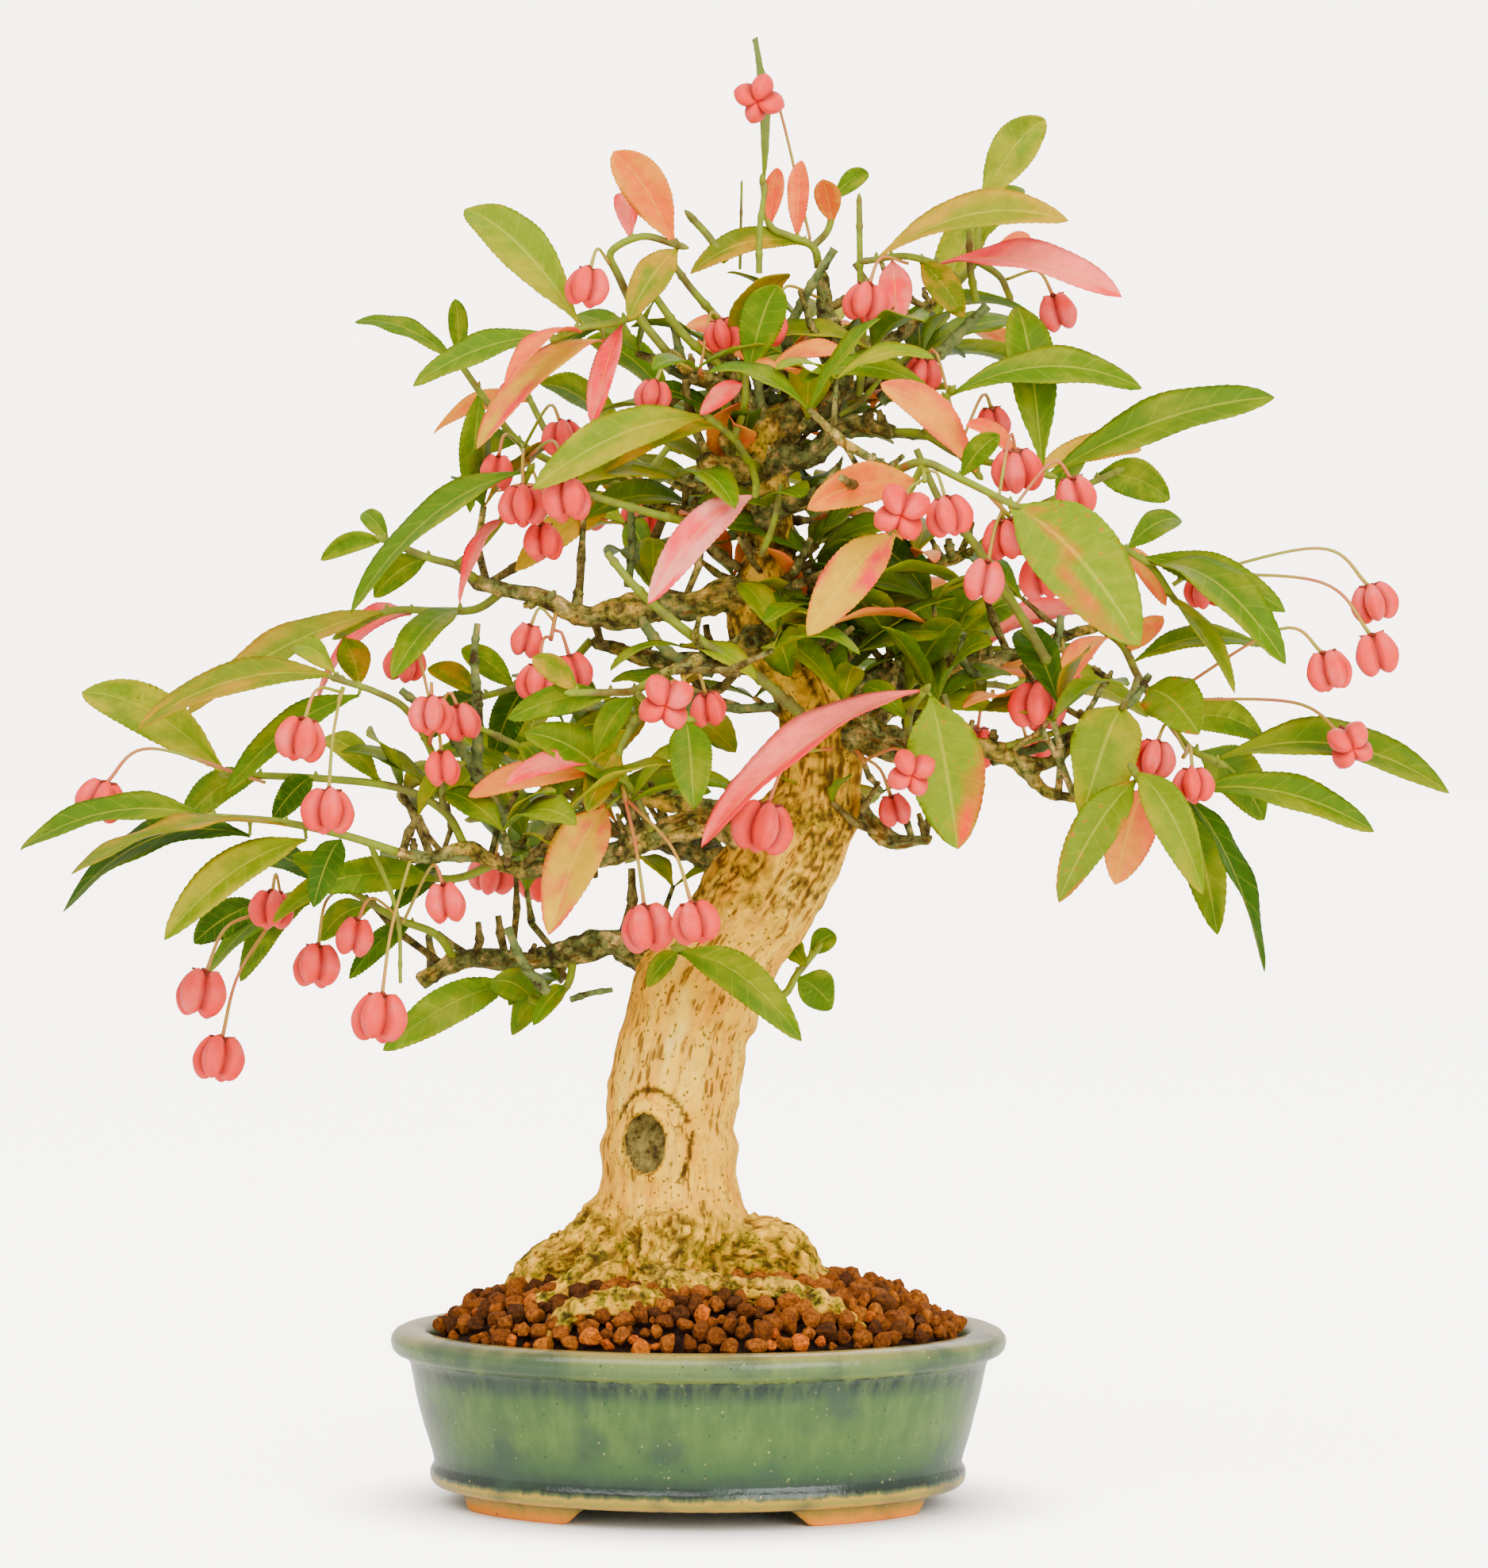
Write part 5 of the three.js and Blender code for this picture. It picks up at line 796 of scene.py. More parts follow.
# ---- Leafy shoots ----------------------------------------------------------
# Thin green-brown twigs with buds, and thin leaves on short stalks, each folded a little along
# its midrib, with fine teeth and arched veins, turning from green to lime, yellow and pink.
# A twig is points and radius; a leaf is stalk start, blade base, tip, width, facing, and tone.
SHOOTS = {
    "low_left_tip": (
     [[(-85.7, -50.8, 164.6, 1.25), (-99, -55.4, 169, 1.16), (-114.5, -58.1, 172.3, 1.07),
       (-129.9, -61, 173.6, 0.98)]],
     [(-129.9, -61, 173.6, -129.9, -61.1, 173.1, -176.5, -73.2, 166.8, 11.7, 0.07, -0.65, 0.76, "G"),
      (-112.3, -57.7, 171.8, -112.4, -57.8, 171.5, -159.8, -96.1, 161.5, 14.8, 0, -0.25, 0.97, "O"),
      (-121.1, -59.4, 172.8, -121.2, -59.5, 168.9, -171.5, -48.5, 152.4, 13, -0.36, -0.6, 0.71, "D"),
      (-107.9, -57, 170.9, -107.5, -57, 167.9, -138.7, -85.3, 146.3, 11.4, 0.17, -0.71, 0.68, "L"),
      (-99, -55.4, 169, -99, -55.4, 167.9, -104.9, -64.2, 151.5, 8, 0.19, -0.89, 0.41, "D")]),
    "low_left_under": (
     [[(-61.8, -44.6, 161.4, 1.25), (-73.6, -34.3, 157.2, 1.18), (-93.1, -21.3, 158.2, 1.12),
       (-112.4, -12.4, 153.2, 1.05), (-126.2, -6.8, 149.6, 0.98)]],
     [(-126.2, -6.8, 149.6, -125.4, -6.8, 149.8, -144.2, 0, 138.8, 9, -0.25, -0.96, -0.15, "D"),
      (-118.3, -10, 151.6, -117.8, -10.1, 149, -141.2, 8.2, 130.8, 8.4, -0.71, -0.67, 0.24, "G"),
      (-112.4, -12.4, 153.2, -112.4, -12.5, 150.1, -133.8, 11.3, 128.6, 9.3, -0.76, -0.65, 0.04, "G"),
      (-95.2, -20.3, 157.7, -96.4, -20.4, 158.6, -118.1, -39.8, 147, 7.5, 0.08, -0.57, 0.82, "L"),
      (-77.5, -31.7, 157.4, -77.8, -31.8, 157.1, -108.5, -49.4, 155.4, 9, 0.5, -0.87, 0.05, "G"),
      (-110.2, -13.4, 153.7, -110.2, -13.4, 155.2, -129.6, 9.8, 160.4, 7.4, -0.41, -0.51, 0.76, "D")]),
    "left_lime": (
     [[(-69, -45.9, 165.4, 1.25), (-74.7, -43, 174.4, 1.18), (-86.7, -41.4, 180.3, 1.12),
       (-106.7, -41.4, 182.6, 1.05), (-128.5, -42.5, 183.5, 0.98)],
      [(-74.7, -43, 174.4, 1.08), (-76.5, -43.8, 186.3, 1.05), (-83, -47.8, 199.2, 1.02),
       (-90.5, -52, 204.2, 0.98), (-99.8, -55.8, 207.5, 0.95)]],
     [(-128.5, -42.5, 183.5, -129.3, -42.6, 183.6, -166.7, -38, 204.2, 12.4, -0.07, -0.99, 0.09, "L"),
      (-106.7, -41.4, 182.6, -107.7, -41.5, 183.2, -116.2, -54.2, 172.7, 7, 0.46, -0.73, 0.51, "D"),
      (-121.2, -42.2, 183.2, -120.5, -42.1, 183, -145.6, -21.8, 168.6, 8.5, -0.64, -0.77, 0.01, "G"),
      (-99.8, -55.8, 207.5, -99.9, -55.7, 208.2, -148.3, -66.6, 196.7, 12.2, -0.01, -0.71, 0.7, "O"),
      (-94.2, -53.5, 205.5, -94.8, -53.6, 203.6, -128.2, -56, 179.8, 9.8, -0.3, -0.82, 0.5, "G"),
      (-98, -55, 206.8, -100.4, -55.1, 208.9, -112.5, -43.5, 215.4, 6, -0.54, -0.76, 0.36, "L"),
      (-91.2, -41.4, 180.8, -90.7, -41.4, 181.3, -107.6, -26, 192.9, 7, -0.46, -0.8, 0.4, "L")]),
    "left_upper": (
     [[(-60.8, -30.8, 229.5, 1.25), (-68.5, -24.3, 224.9, 1.18), (-78.9, -20.8, 224.5, 1.12),
       (-91.4, -17.5, 224.4, 1.05), (-103.8, -14, 218.5, 0.98)]],
     [(-91.4, -17.5, 224.4, -92.4, -17.5, 224.4, -140.9, -30.8, 197.9, 13.6, -0.22, -0.64, 0.73, "O"),
      (-103.8, -14, 218.5, -103.3, -14, 217.9, -98.9, -12, 206.3, 8.4, 0.11, -0.99, -0.12, "O"),
      (-85.1, -19.2, 224.4, -85.5, -19.2, 223.9, -117.7, 16, 198.1, 13, -0.78, -0.33, 0.52, "P"),
      (-72.6, -22.9, 224.8, -72.6, -22.9, 224.9, -86, -56.6, 209.1, 9.5, 0.09, -0.45, 0.89, "G")]),
    "low_stub_shoot": (
     [[(-74.1, -19.9, 135.4, 1.25), (-78.6, -25, 142.7, 1.16), (-88.3, -28.4, 146.9, 1.07),
       (-98.7, -32, 153.6, 0.98)]],
     [(-98.7, -32, 153.6, -97.9, -32, 153, -112.8, -40.5, 163.3, 7, 0.38, -0.9, -0.19, "G"),
      (-90, -29, 148, -90.2, -29, 147.9, -78.2, -9, 159.2, 7, 0.58, -0.64, 0.51, "D"),
      (-84.4, -27, 145.2, -84.4, -27, 145.8, -100.2, -29.7, 131.9, 6, 0.11, -0.99, 0.07, "D"),
      (-93.5, -30.2, 150.2, -94.1, -30.2, 150, -109.5, -19.3, 140.4, 7, -0.43, -0.86, -0.28, "G")]),
    "low_under_leaves": (
     [[(-44.3, -16.3, 138.2, 1.25), (-45.7, -21.6, 129.6, 1.16), (-52.5, -24.1, 125.7, 1.07),
       (-59.9, -28.8, 130.4, 0.98)]],
     [(-58.1, -27.6, 129.2, -58.2, -27.6, 130.9, -90, -39.7, 114.4, 10, 0.28, -0.95, 0.15, "G"),
      (-52.5, -24.1, 125.7, -53.5, -24.1, 126.1, -62.9, -42, 131.8, 9, 0.77, -0.52, -0.36, "G"),
      (-45.7, -21.6, 129.6, -45.7, -21.6, 129.6, -52.3, -38.2, 121.6, 5, 0.57, -0.53, 0.63, "G"),
      (-49.1, -22.8, 127.7, -48.6, -22.8, 127.6, -61.5, -13.7, 116.9, 8, -0.36, -0.88, -0.31, "G")]),
    "yellow_front": (
     [[(-22.5, -42.4, 168.1, 1.25), (-24.7, -48.4, 174.6, 1.16), (-28.3, -52.4, 181.6, 1.07),
       (-35.8, -56, 186.1, 0.98)],
      [(-28.3, -52.4, 181.6, 1.08), (-30.3, -52.3, 188.5, 1.02), (-27.1, -49.7, 196.2, 0.95)]],
     [(-27.4, -51.4, 179.9, -33.3, -51.8, 175.7, -46.4, -67.3, 144.8, 13.4, 0.2, -0.91, 0.37, "y"),
      (-27.9, -50.3, 194.3, -28.3, -50.3, 194.8, -46.3, -49.7, 179.2, 9, -0.01, -1, -0.03, "O"),
      (-29.5, -51.6, 190.4, -30.3, -51.7, 190.5, -37.5, -61.5, 175, 8, 0.25, -0.87, 0.44, "O"),
      (-35.8, -56, 186.1, -35.9, -56, 186.6, -56, -73.2, 182.7, 6.4, 0.36, -0.59, 0.72, "P"),
      (-33.9, -55.1, 185, -35, -55.2, 183.7, -67.7, -52.5, 178.6, 8, -0.16, -0.74, 0.66, "C")]),
    "mid_left_dark": (
     [[(-41.2, -1, 216.9, 1.25), (-48.6, 2.4, 209.7, 1.16), (-58.9, 3.8, 205.6, 1.07),
       (-70.1, 3.1, 202.3, 0.98)]],
     [(-56.9, 3.5, 206.5, -56.9, 3.5, 206.7, -67.8, 10.4, 185.7, 9, -0.1, -0.96, -0.26, "D"),
      (-70.1, 3.1, 202.3, -69.1, 3.1, 202.6, -86.9, 15.9, 191.1, 8, -0.43, -0.86, -0.29, "D"),
      (-61.2, 3.6, 205, -61, 3.6, 204.6, -76.1, 11.1, 214.8, 7, -0.28, -0.92, 0.26, "G"),
      (-48.6, 2.4, 209.7, -48.6, 2.4, 209.7, -41.1, 10.4, 194.3, 8, 0.24, -0.9, -0.35, "G"),
      (-67.9, 3.2, 203, -70.1, 3.1, 202.6, -82.6, -5.4, 209.8, 6, 0.47, -0.86, -0.21, "O")]),
    "front_centre": (
     [[(-19.4, -68.2, 208.3, 1.25), (-24.8, -74.6, 204.9, 1.16), (-30.3, -78.9, 204.5, 1.07),
       (-38.6, -82.7, 204.5, 0.98)],
      [(-24.8, -74.6, 204.9, 1.08), (-19.1, -72.5, 199.6, 1.02), (-12.5, -69.8, 198, 0.95)]],
     [(-30.3, -78.9, 204.5, -30.3, -78.9, 203.5, -55.4, -79.4, 198.3, 7.4, 0.01, -1, 0.02, "G"),
      (-12.5, -69.8, 198, -12.5, -69.8, 197.6, -10.3, -74.3, 176.2, 10.6, 0.03, -0.98, 0.21, "G"),
      (-38.6, -82.7, 204.5, -37.7, -82.7, 204.5, -49.4, -80.6, 213.2, 6, -0.08, -0.99, 0.13, "O"),
      (-24.8, -74.6, 204.9, -24.8, -74.6, 203.5, -36.1, -65.6, 188.8, 7, -0.24, -0.9, -0.36, "G")]),
    "upper_left_spread": (
     [[(-68, -29.1, 232.5, 1.25), (-72.8, -31.2, 235.9, 1.16), (-79.6, -32.5, 237.8, 1.07),
       (-90.3, -35.2, 242.2, 0.98)],
      [(-72.8, -31.2, 235.9, 1.08), (-65.1, -37.7, 241.7, 1.04), (-58, -40.1, 250.6, 0.99),
       (-53.4, -41.9, 258.9, 0.95)]],
     [(-90.3, -35.2, 242.2, -90.3, -35.2, 242.2, -107.3, -32.2, 237.5, 5, -0.16, -0.99, -0.03, "G"),
      (-53.4, -41.9, 258.9, -53.6, -41.9, 259.3, -98.4, -55.1, 227, 13.6, -0.38, -0.54, 0.75, "G"),
      (-60.8, -39.1, 247.1, -60, -39.1, 247.7, -70.7, -54.2, 227, 6.7, -0.37, -0.65, 0.66, "P"),
      (-79.6, -32.5, 237.8, -79.6, -32.5, 237.8, -94.9, -21.6, 228, 7, -0.43, -0.86, -0.29, "G"),
      (-88.1, -34.7, 241.3, -89.4, -34.7, 241.8, -97.8, -22.9, 250, 5, -0.45, -0.7, 0.55, "G")]),
    "upper_left_long": (
     [[(-25.2, -11.3, 252.2, 1.25), (-35.5, -8.7, 257.3, 1.2), (-47.7, -8.2, 261.3, 1.14),
       (-58.7, -9.6, 267.4, 1.09), (-66.6, -11.8, 277.4, 1.03), (-73.9, -15.1, 288.1, 0.98)],
      [(-47.7, -8.2, 261.3, 1.08), (-52.1, -4.2, 269.6, 1.02), (-56.9, 0.2, 278.6, 0.95)]],
     [(-69, -12.9, 281, -68.5, -12.9, 280.4, -71.9, -5.9, 249.7, 7.6, -0.36, -0.92, -0.17, "G"),
      (-73.9, -15.1, 288.1, -74.3, -15.2, 287.7, -100.8, -8.2, 299.4, 7.1, 0.16, -0.65, 0.75, "G"),
      (-72.7, -14.6, 286.4, -73.4, -14.6, 288.4, -73.8, -20.2, 303.1, 5, 0.07, -0.93, -0.35, "G"),
      (-56.9, 0.2, 278.6, -57.5, 0.1, 278.4, -83.5, 12.6, 271, 7.2, -0.49, -0.76, 0.44, "A"),
      (-31.4, -9.7, 255.2, -33.4, -9.9, 252.4, -58.3, -29.7, 234.5, 8.8, 0.26, -0.81, 0.53, "Y"),
      (-37.5, -8.6, 258, -37.5, -8.6, 258.3, -51, 6.4, 246.5, 7, -0.47, -0.77, -0.44, "G"),
      (-58.7, -9.6, 267.4, -58.7, -9.6, 267.4, -73.4, 5.5, 262.8, 6, -0.67, -0.71, -0.2, "G")]),
    "upper_left_top": (
     [[(-19.6, -34.1, 289.3, 1.25), (-26.4, -37.2, 298.1, 1.2), (-31.2, -39.2, 307.9, 1.14),
       (-33, -41.1, 313.7, 1.09), (-25, -42.6, 317.5, 1.03), (-16.1, -43.3, 315.2, 0.98)],
      [(-26.4, -37.2, 298.1, 1.08), (-32.9, -42.6, 295.9, 1.04), (-39.6, -46, 294.7, 0.99),
       (-45.2, -48.7, 292.3, 0.95)]],
     [(-45.2, -48.7, 292.3, -44.9, -48.7, 292.5, -81.2, -54.9, 281.1, 9.2, -0.13, -0.63, 0.76, "G"),
      (-39.6, -46, 294.7, -40, -46, 293.8, -56.4, -73.8, 279.1, 8.5, -0.18, -0.38, 0.91, "S"),
      (-36.3, -44.3, 295.3, -35.8, -44.3, 294.8, -55.7, -33.7, 279.3, 6.6, -0.63, -0.71, 0.32, "D"),
      (-29.7, -39.9, 297, -30.2, -40, 296, -37, -57, 271.7, 7.3, -0.56, -0.6, 0.58, "P"),
      (-41.4, -46.9, 293.9, -40.7, -46.8, 296.3, -71.9, -19.1, 327.2, 12.8, -0.33, -0.84, 0.42, "L"),
      (-16.1, -43.3, 315.2, -16.9, -43.4, 315.3, -31.6, -49.6, 338, 11.2, 0.17, -0.97, -0.15, "A"),
      (-27, -42.3, 316.6, -28, -42.3, 316.6, -30.9, -30.1, 330.3, 6, -0.06, -0.75, 0.66, "P"),
      (-18.3, -43.2, 315.8, -16.1, -43.1, 314.5, -27.9, -52.2, 297.3, 9, 0.25, -0.92, 0.31, "O"),
      (-34.6, -43.4, 295.6, -34.8, -43.6, 291.9, -63.6, -69.8, 263.6, 11.6, -0.22, -0.59, 0.77, "y")]),
    "centre_left": (
     [[(4.7, -23.5, 259.9, 1.25), (1.4, -36.7, 261.5, 1.16), (-2.2, -43.7, 267.2, 1.07),
       (-8.5, -49.5, 272.5, 0.98)],
      [(1.4, -36.7, 261.5, 1.08), (3.2, -42.7, 256.8, 1.02), (3.4, -47.7, 253.8, 0.95)],
      [(-2.2, -43.7, 267.2, 1.08), (0.5, -46.4, 275, 1.02), (1, -48.5, 282.7, 0.95)]],
     [(-8.5, -49.5, 272.5, -8.8, -49.5, 272.5, -49.8, -67.1, 255.3, 11.5, 0.1, -0.81, 0.58, "L"),
      (-5.4, -46.6, 269.8, -6, -46.7, 270.1, -39.7, -32.7, 256.7, 9.3, -0.42, -0.9, 0.11, "O"),
      (3.4, -47.7, 253.8, 2.9, -47.7, 253.1, -22, -63.7, 226.9, 9.5, 0.05, -0.87, 0.49, "p"),
      (0.9, -48, 280.8, 0.4, -48, 280.8, -9.4, -58.7, 273.2, 5, 0.52, -0.76, 0.39, "P"),
      (1, -48.5, 282.7, 1.4, -48.5, 282.5, 9.1, -53.5, 304.8, 10.6, -0.03, -0.98, -0.21, "G")]),
    "apex": (
     [[(17.9, -18.5, 311, 1.25), (16.5, -19.4, 316.3, 1.18), (10.6, -21.7, 318.8, 1.12),
       (5.7, -23.9, 321.6, 1.05), (4.2, -24.8, 331.5, 0.98)],
      [(16.5, -19.4, 316.3, 1.08), (20.3, -15.1, 321.2, 1.02), (21.4, -13.7, 329.2, 0.95)]],
     [(4.2, -24.8, 331.5, 4.3, -24.8, 330.5, -0.2, 8.6, 371.6, 12.8, 0.95, -0.19, 0.26, "l"),
      (5.7, -23.9, 321.6, 5.7, -23.9, 320.6, 8.1, -33.4, 335, 5, -0.03, -0.84, -0.55, "S"),
      (12.5, -20.9, 317.9, 12.5, -20.9, 317.8, 13.4, -22.9, 337.8, 5.5, 0.05, -0.99, -0.1, "S"),
      (20.6, -14.8, 323.2, 21.3, -14.7, 322.2, 19, -22.6, 332.6, 6.5, 0.2, -0.8, -0.56, "A"),
      (14.5, -20.2, 317.1, 14.5, -20.2, 316.8, -13.8, -32.4, 308.8, 7.6, 0.22, -0.84, 0.49, "O"),
      (21.4, -13.7, 329.2, 21.3, -13.7, 328.3, 30, -5.1, 335.9, 5, 0.46, -0.8, 0.38, "G")]),
    "apex_right": (
     [[(47.3, -12.2, 303.2, 1.25), (53.4, -12.7, 308.2, 1.18), (57.4, -12.4, 313.2, 1.12),
       (58, -12.2, 320.2, 1.05), (58.4, -12, 327.2, 0.98)],
      [(53.4, -12.7, 308.2, 1.08), (47.5, -21.9, 311.6, 1.04), (39.7, -28.3, 313.3, 0.99),
       (31, -33.3, 311.9, 0.95)],
      [(57.4, -12.4, 313.2, 1.08), (63.4, -19.2, 308.8, 1.02), (65.8, -23.8, 303.9, 0.95)]],
     [(58.4, -12, 327.2, 58.7, -11.9, 327.2, 74.7, -6.5, 349.5, 11.4, 0.14, -0.98, 0.14, "L"),
      (61, -16.5, 310.5, 60.4, -16.5, 310.9, 72.4, -3.6, 319.7, 5, 0.54, -0.75, 0.38, "C"),
      (32.8, -32.3, 312.2, 32.9, -32.3, 312.5, 80.1, -39.5, 322.7, 11.7, -0.26, -0.62, 0.74, "o"),
      (47.5, -21.9, 311.6, 47.5, -21.9, 311.6, 92.9, -45.8, 305, 12.4, -0.07, -0.4, 0.91, "P"),
      (44.4, -24.5, 312.3, 43.6, -24.5, 312.1, 54.6, -28.3, 298.4, 8, -0.09, -0.98, 0.2, "O"),
      (36.2, -30.3, 312.7, 36.8, -30.3, 312.2, 38.1, -33.6, 296.1, 8.4, 0.04, -0.98, 0.21, "P"),
      (57.6, -12.3, 315.5, 57.4, -12.3, 316.2, 69.3, 4.8, 332.4, 7, 0.41, -0.76, 0.5, "G")]),
    "upper_right_top": (
     [[(37.5, -32.6, 269.1, 1.25), (44.9, -36.2, 268.4, 1.18), (53.8, -39.9, 263.3, 1.12),
       (63.7, -42.5, 260.7, 1.05), (75.5, -46.3, 258, 0.98)],
      [(44.9, -36.2, 268.4, 1.08), (47.9, -40.9, 274.1, 1.02), (51.5, -45.3, 278.5, 0.95)],
      [(53.8, -39.9, 263.3, 1.08), (58.3, -46.5, 258.3, 0.95)],
      [(47.9, -40.9, 274.1, 1.08), (38.1, -43.3, 280.9, 1.02), (27.5, -44.7, 287.7, 0.95)]],
     [(50.3, -43.8, 277, 48.6, -43.9, 277.9, 15.9, -57.5, 282.9, 8.6, 0.39, -0.73, 0.55, "G"),
      (27.5, -44.7, 287.7, 27.4, -44.8, 287.8, 5.5, -40, 284.5, 5.4, -0.25, -0.89, 0.38, "C"),
      (51.5, -45.3, 278.5, 51.4, -45.3, 277.9, 98.8, -46.8, 281, 11.4, -0.07, -0.68, 0.73, "G"),
      (73.5, -45.6, 258.4, 74.5, -45.6, 259.2, 68.7, -30.7, 301.7, 12, 0.01, -0.94, 0.33, "G"),
      (58.3, -46.5, 258.3, 58.9, -46.5, 257.8, 35.6, -65.2, 279.6, 8.9, 0.6, -0.8, -0.04, "C"),
      (69.6, -44.4, 259.4, 69.6, -44.4, 259.8, 55.9, -60.8, 270.1, 5.7, 0.79, -0.61, 0.08, "S"),
      (75.5, -46.3, 258, 75.5, -46.3, 257.8, 131.5, -54.9, 276.4, 14.3, -0.32, -0.69, 0.65, "G"),
      (71.6, -45, 258.9, 71.6, -45, 258.2, 99.2, -33.4, 265, 7.4, 0.16, -0.75, 0.65, "Y")]),
    "front_right": (
     [[(38.8, -65.9, 258.7, 1.25), (45.7, -71.5, 260.5, 1.16), (54.4, -75.1, 256.5, 1.07),
       (66.9, -78.9, 250.2, 0.98)],
      [(45.7, -71.5, 260.5, 1.08), (42.7, -68.8, 254.7, 1.02), (37.5, -69.3, 244.2, 0.95)]],
     [(66.9, -78.9, 250.2, 66.6, -79, 249.9, 97.7, -90.2, 216.7, 20.8, -0.12, -0.97, 0.21, "l"),
      (43.7, -69.7, 256.6, 44.7, -69.6, 255.7, 17.6, -79.2, 249.3, 10, 0.31, -0.95, 0.09, "A"),
      (37.5, -69.3, 244.2, 38.9, -69.3, 243.7, 17.7, -81, 218.6, 12, 0.24, -0.94, 0.24, "y"),
      (54.4, -75.1, 256.5, 54.4, -75.1, 256.5, 64.1, -82.4, 266.8, 6, -0.29, -0.89, -0.35, "G")]),
    "right_upper": (
     [[(57.4, -10.3, 240, 1.25), (64.4, -9.8, 246.1, 1.18), (73.5, -10.2, 251.1, 1.12),
       (82.5, -9.6, 255.1, 1.05), (92.4, -8.9, 259.5, 0.98)],
      [(73.5, -10.2, 251.1, 1.08), (82.5, -17.8, 245.9, 1.05), (91.4, -25.5, 241.8, 1.02),
       (101.3, -29.1, 235.8, 0.98), (106.8, -31.3, 228, 0.95)]],
     [(88.5, -9.2, 257.8, 87.5, -9.2, 258.7, 106.8, 1.7, 253.3, 10, 0.47, -0.88, -0.09, "G"),
      (99.3, -28.4, 237, 99.3, -28.4, 237.8, 134.4, -43.4, 224.8, 9.7, -0.18, -0.85, 0.5, "G"),
      (101.3, -29.1, 235.8, 100.5, -29.2, 235.8, 133.6, -64.1, 212.8, 12.8, 0.16, -0.43, 0.89, "G"),
      (105.4, -30.7, 230, 105.2, -30.8, 228.8, 122.2, -46.6, 204.4, 8.1, 0.53, -0.5, 0.69, "L"),
      (93.4, -26.2, 240.6, 93.4, -26.2, 240.8, 105.7, -15.9, 225.9, 5.2, 0.56, -0.82, -0.1, "C"),
      (78, -9.9, 253.1, 77.5, -9.9, 253.1, 84.6, 6.9, 266.6, 7, 0.38, -0.67, 0.63, "G"),
      (95.4, -26.9, 239.4, 95.4, -26.9, 239.8, 109.6, -7.9, 248.1, 7, 0.66, -0.66, 0.37, "G")]),
    "right_behind": (
     [[(31.7, -11.8, 233.6, 1.25), (32, -2.9, 229, 1.18), (37.9, 4.3, 225, 1.12), (46, 8.7, 220.9, 1.05),
       (54, 11.3, 218.6, 0.98)]],
     [(32, -2.9, 229, 32, -2.9, 229, 44.1, 3.2, 208.3, 12, 0.18, -0.97, -0.18, "G"),
      (37.9, 4.3, 225, 38.9, 4.4, 225, 63.1, 29, 219.3, 12, 0.7, -0.71, -0.11, "G"),
      (52, 10.6, 219.2, 51.2, 10.6, 218.9, 58.9, 0.5, 199.9, 8, -0.1, -0.9, 0.43, "G"),
      (35.6, 1.4, 226.6, 35, 1.4, 226, 20.3, 12.3, 213.8, 9, -0.37, -0.87, -0.33, "G"),
      (54, 11.3, 218.6, 53.1, 11.2, 218.9, 68.3, 24.3, 227.1, 8, 0.53, -0.8, 0.28, "G")]),
    "right_front": (
     [[(43, -39.4, 188.7, 1.25), (41.3, -47.4, 195.4, 1.16), (42.4, -53.2, 200.4, 1.07),
       (45.8, -59.7, 204.9, 0.98)]],
     [(45.8, -59.7, 204.9, 47.2, -59.6, 203.4, 54, -57.8, 165.9, 18.8, 0.06, -1, -0.04, "l"),
      (45, -58.1, 203.7, 44.6, -58, 204.9, -9.3, -77.8, 169, 16.3, -0.39, -0.42, 0.82, "P"),
      (41.8, -50.3, 197.9, 41.3, -50.3, 197.4, 29.2, -40.7, 206.1, 6, -0.4, -0.84, 0.37, "G")]),
    "right_mid": (
     [[(88.6, -12.2, 220.5, 1.25), (94.5, -18, 215.9, 1.2), (98.4, -26, 208, 1.14),
       (104.3, -30.9, 199.1, 1.09), (111.1, -35.8, 190.3, 1.03), (117.9, -37.9, 186.9, 0.98)],
      [(98.4, -26, 208, 1.08), (96.9, -34.2, 204.1, 1.02), (94.6, -43.3, 200.9, 0.95)]],
     [(94.6, -43.3, 200.9, 94.6, -43.3, 201.1, 85.4, -58, 173.6, 17.8, 0.19, -0.89, 0.41, "L"),
      (100.8, -28, 204.4, 100.4, -28, 205, 112.9, -50.6, 194.3, 14, -0.55, -0.59, 0.59, "l"),
      (107, -32.9, 195.6, 107.2, -32.9, 196.2, 131.5, -17.7, 192.2, 9, 0.52, -0.85, -0.05, "G"),
      (117.9, -37.9, 186.9, 118, -37.8, 187.6, 176.5, -28.4, 180.3, 14.3, 0.19, -0.52, 0.83, "G"),
      (96.9, -22.8, 211.2, 97.5, -22.7, 212, 129.7, -8.9, 215.5, 8.5, 0.19, -0.64, 0.75, "G"),
      (95.3, -19.6, 214.3, 95.5, -19.6, 213.9, 104.5, -28.9, 222.9, 6, -0.4, -0.81, -0.43, "C"),
      (91.5, -15.1, 218.2, 91.5, -15.1, 217.9, 77, -35.8, 202.7, 7.1, -0.15, -0.52, 0.84, "C"),
      (112.8, -36.3, 189.5, 113.1, -36.3, 189.3, 130.7, -11.8, 171.8, 12, 0.55, -0.71, -0.44, "G")]),
    "right_low": (
     [[(98.2, -43.8, 178.1, 1.25), (104.1, -46.5, 179.3, 1.12), (111.8, -48.4, 179.8, 0.98)],
      [(104.1, -46.5, 179.3, 1.08), (99.1, -51.7, 181.8, 1.02), (96.7, -56.5, 185.4, 0.95)]],
     [(111.8, -48.4, 179.8, 110.9, -48.4, 180.2, 156.3, -50.3, 170.9, 11.1, 0.14, -0.55, 0.82, "G"),
      (109.9, -47.9, 179.7, 110.1, -47.9, 178.8, 131.4, -61.9, 137.2, 11.7, 0.6, -0.61, 0.51, "D"),
      (97.5, -54.9, 184.2, 97.7, -54.9, 184.8, 113.8, -73.8, 155.6, 10.5, -0.18, -0.87, 0.46, "L"),
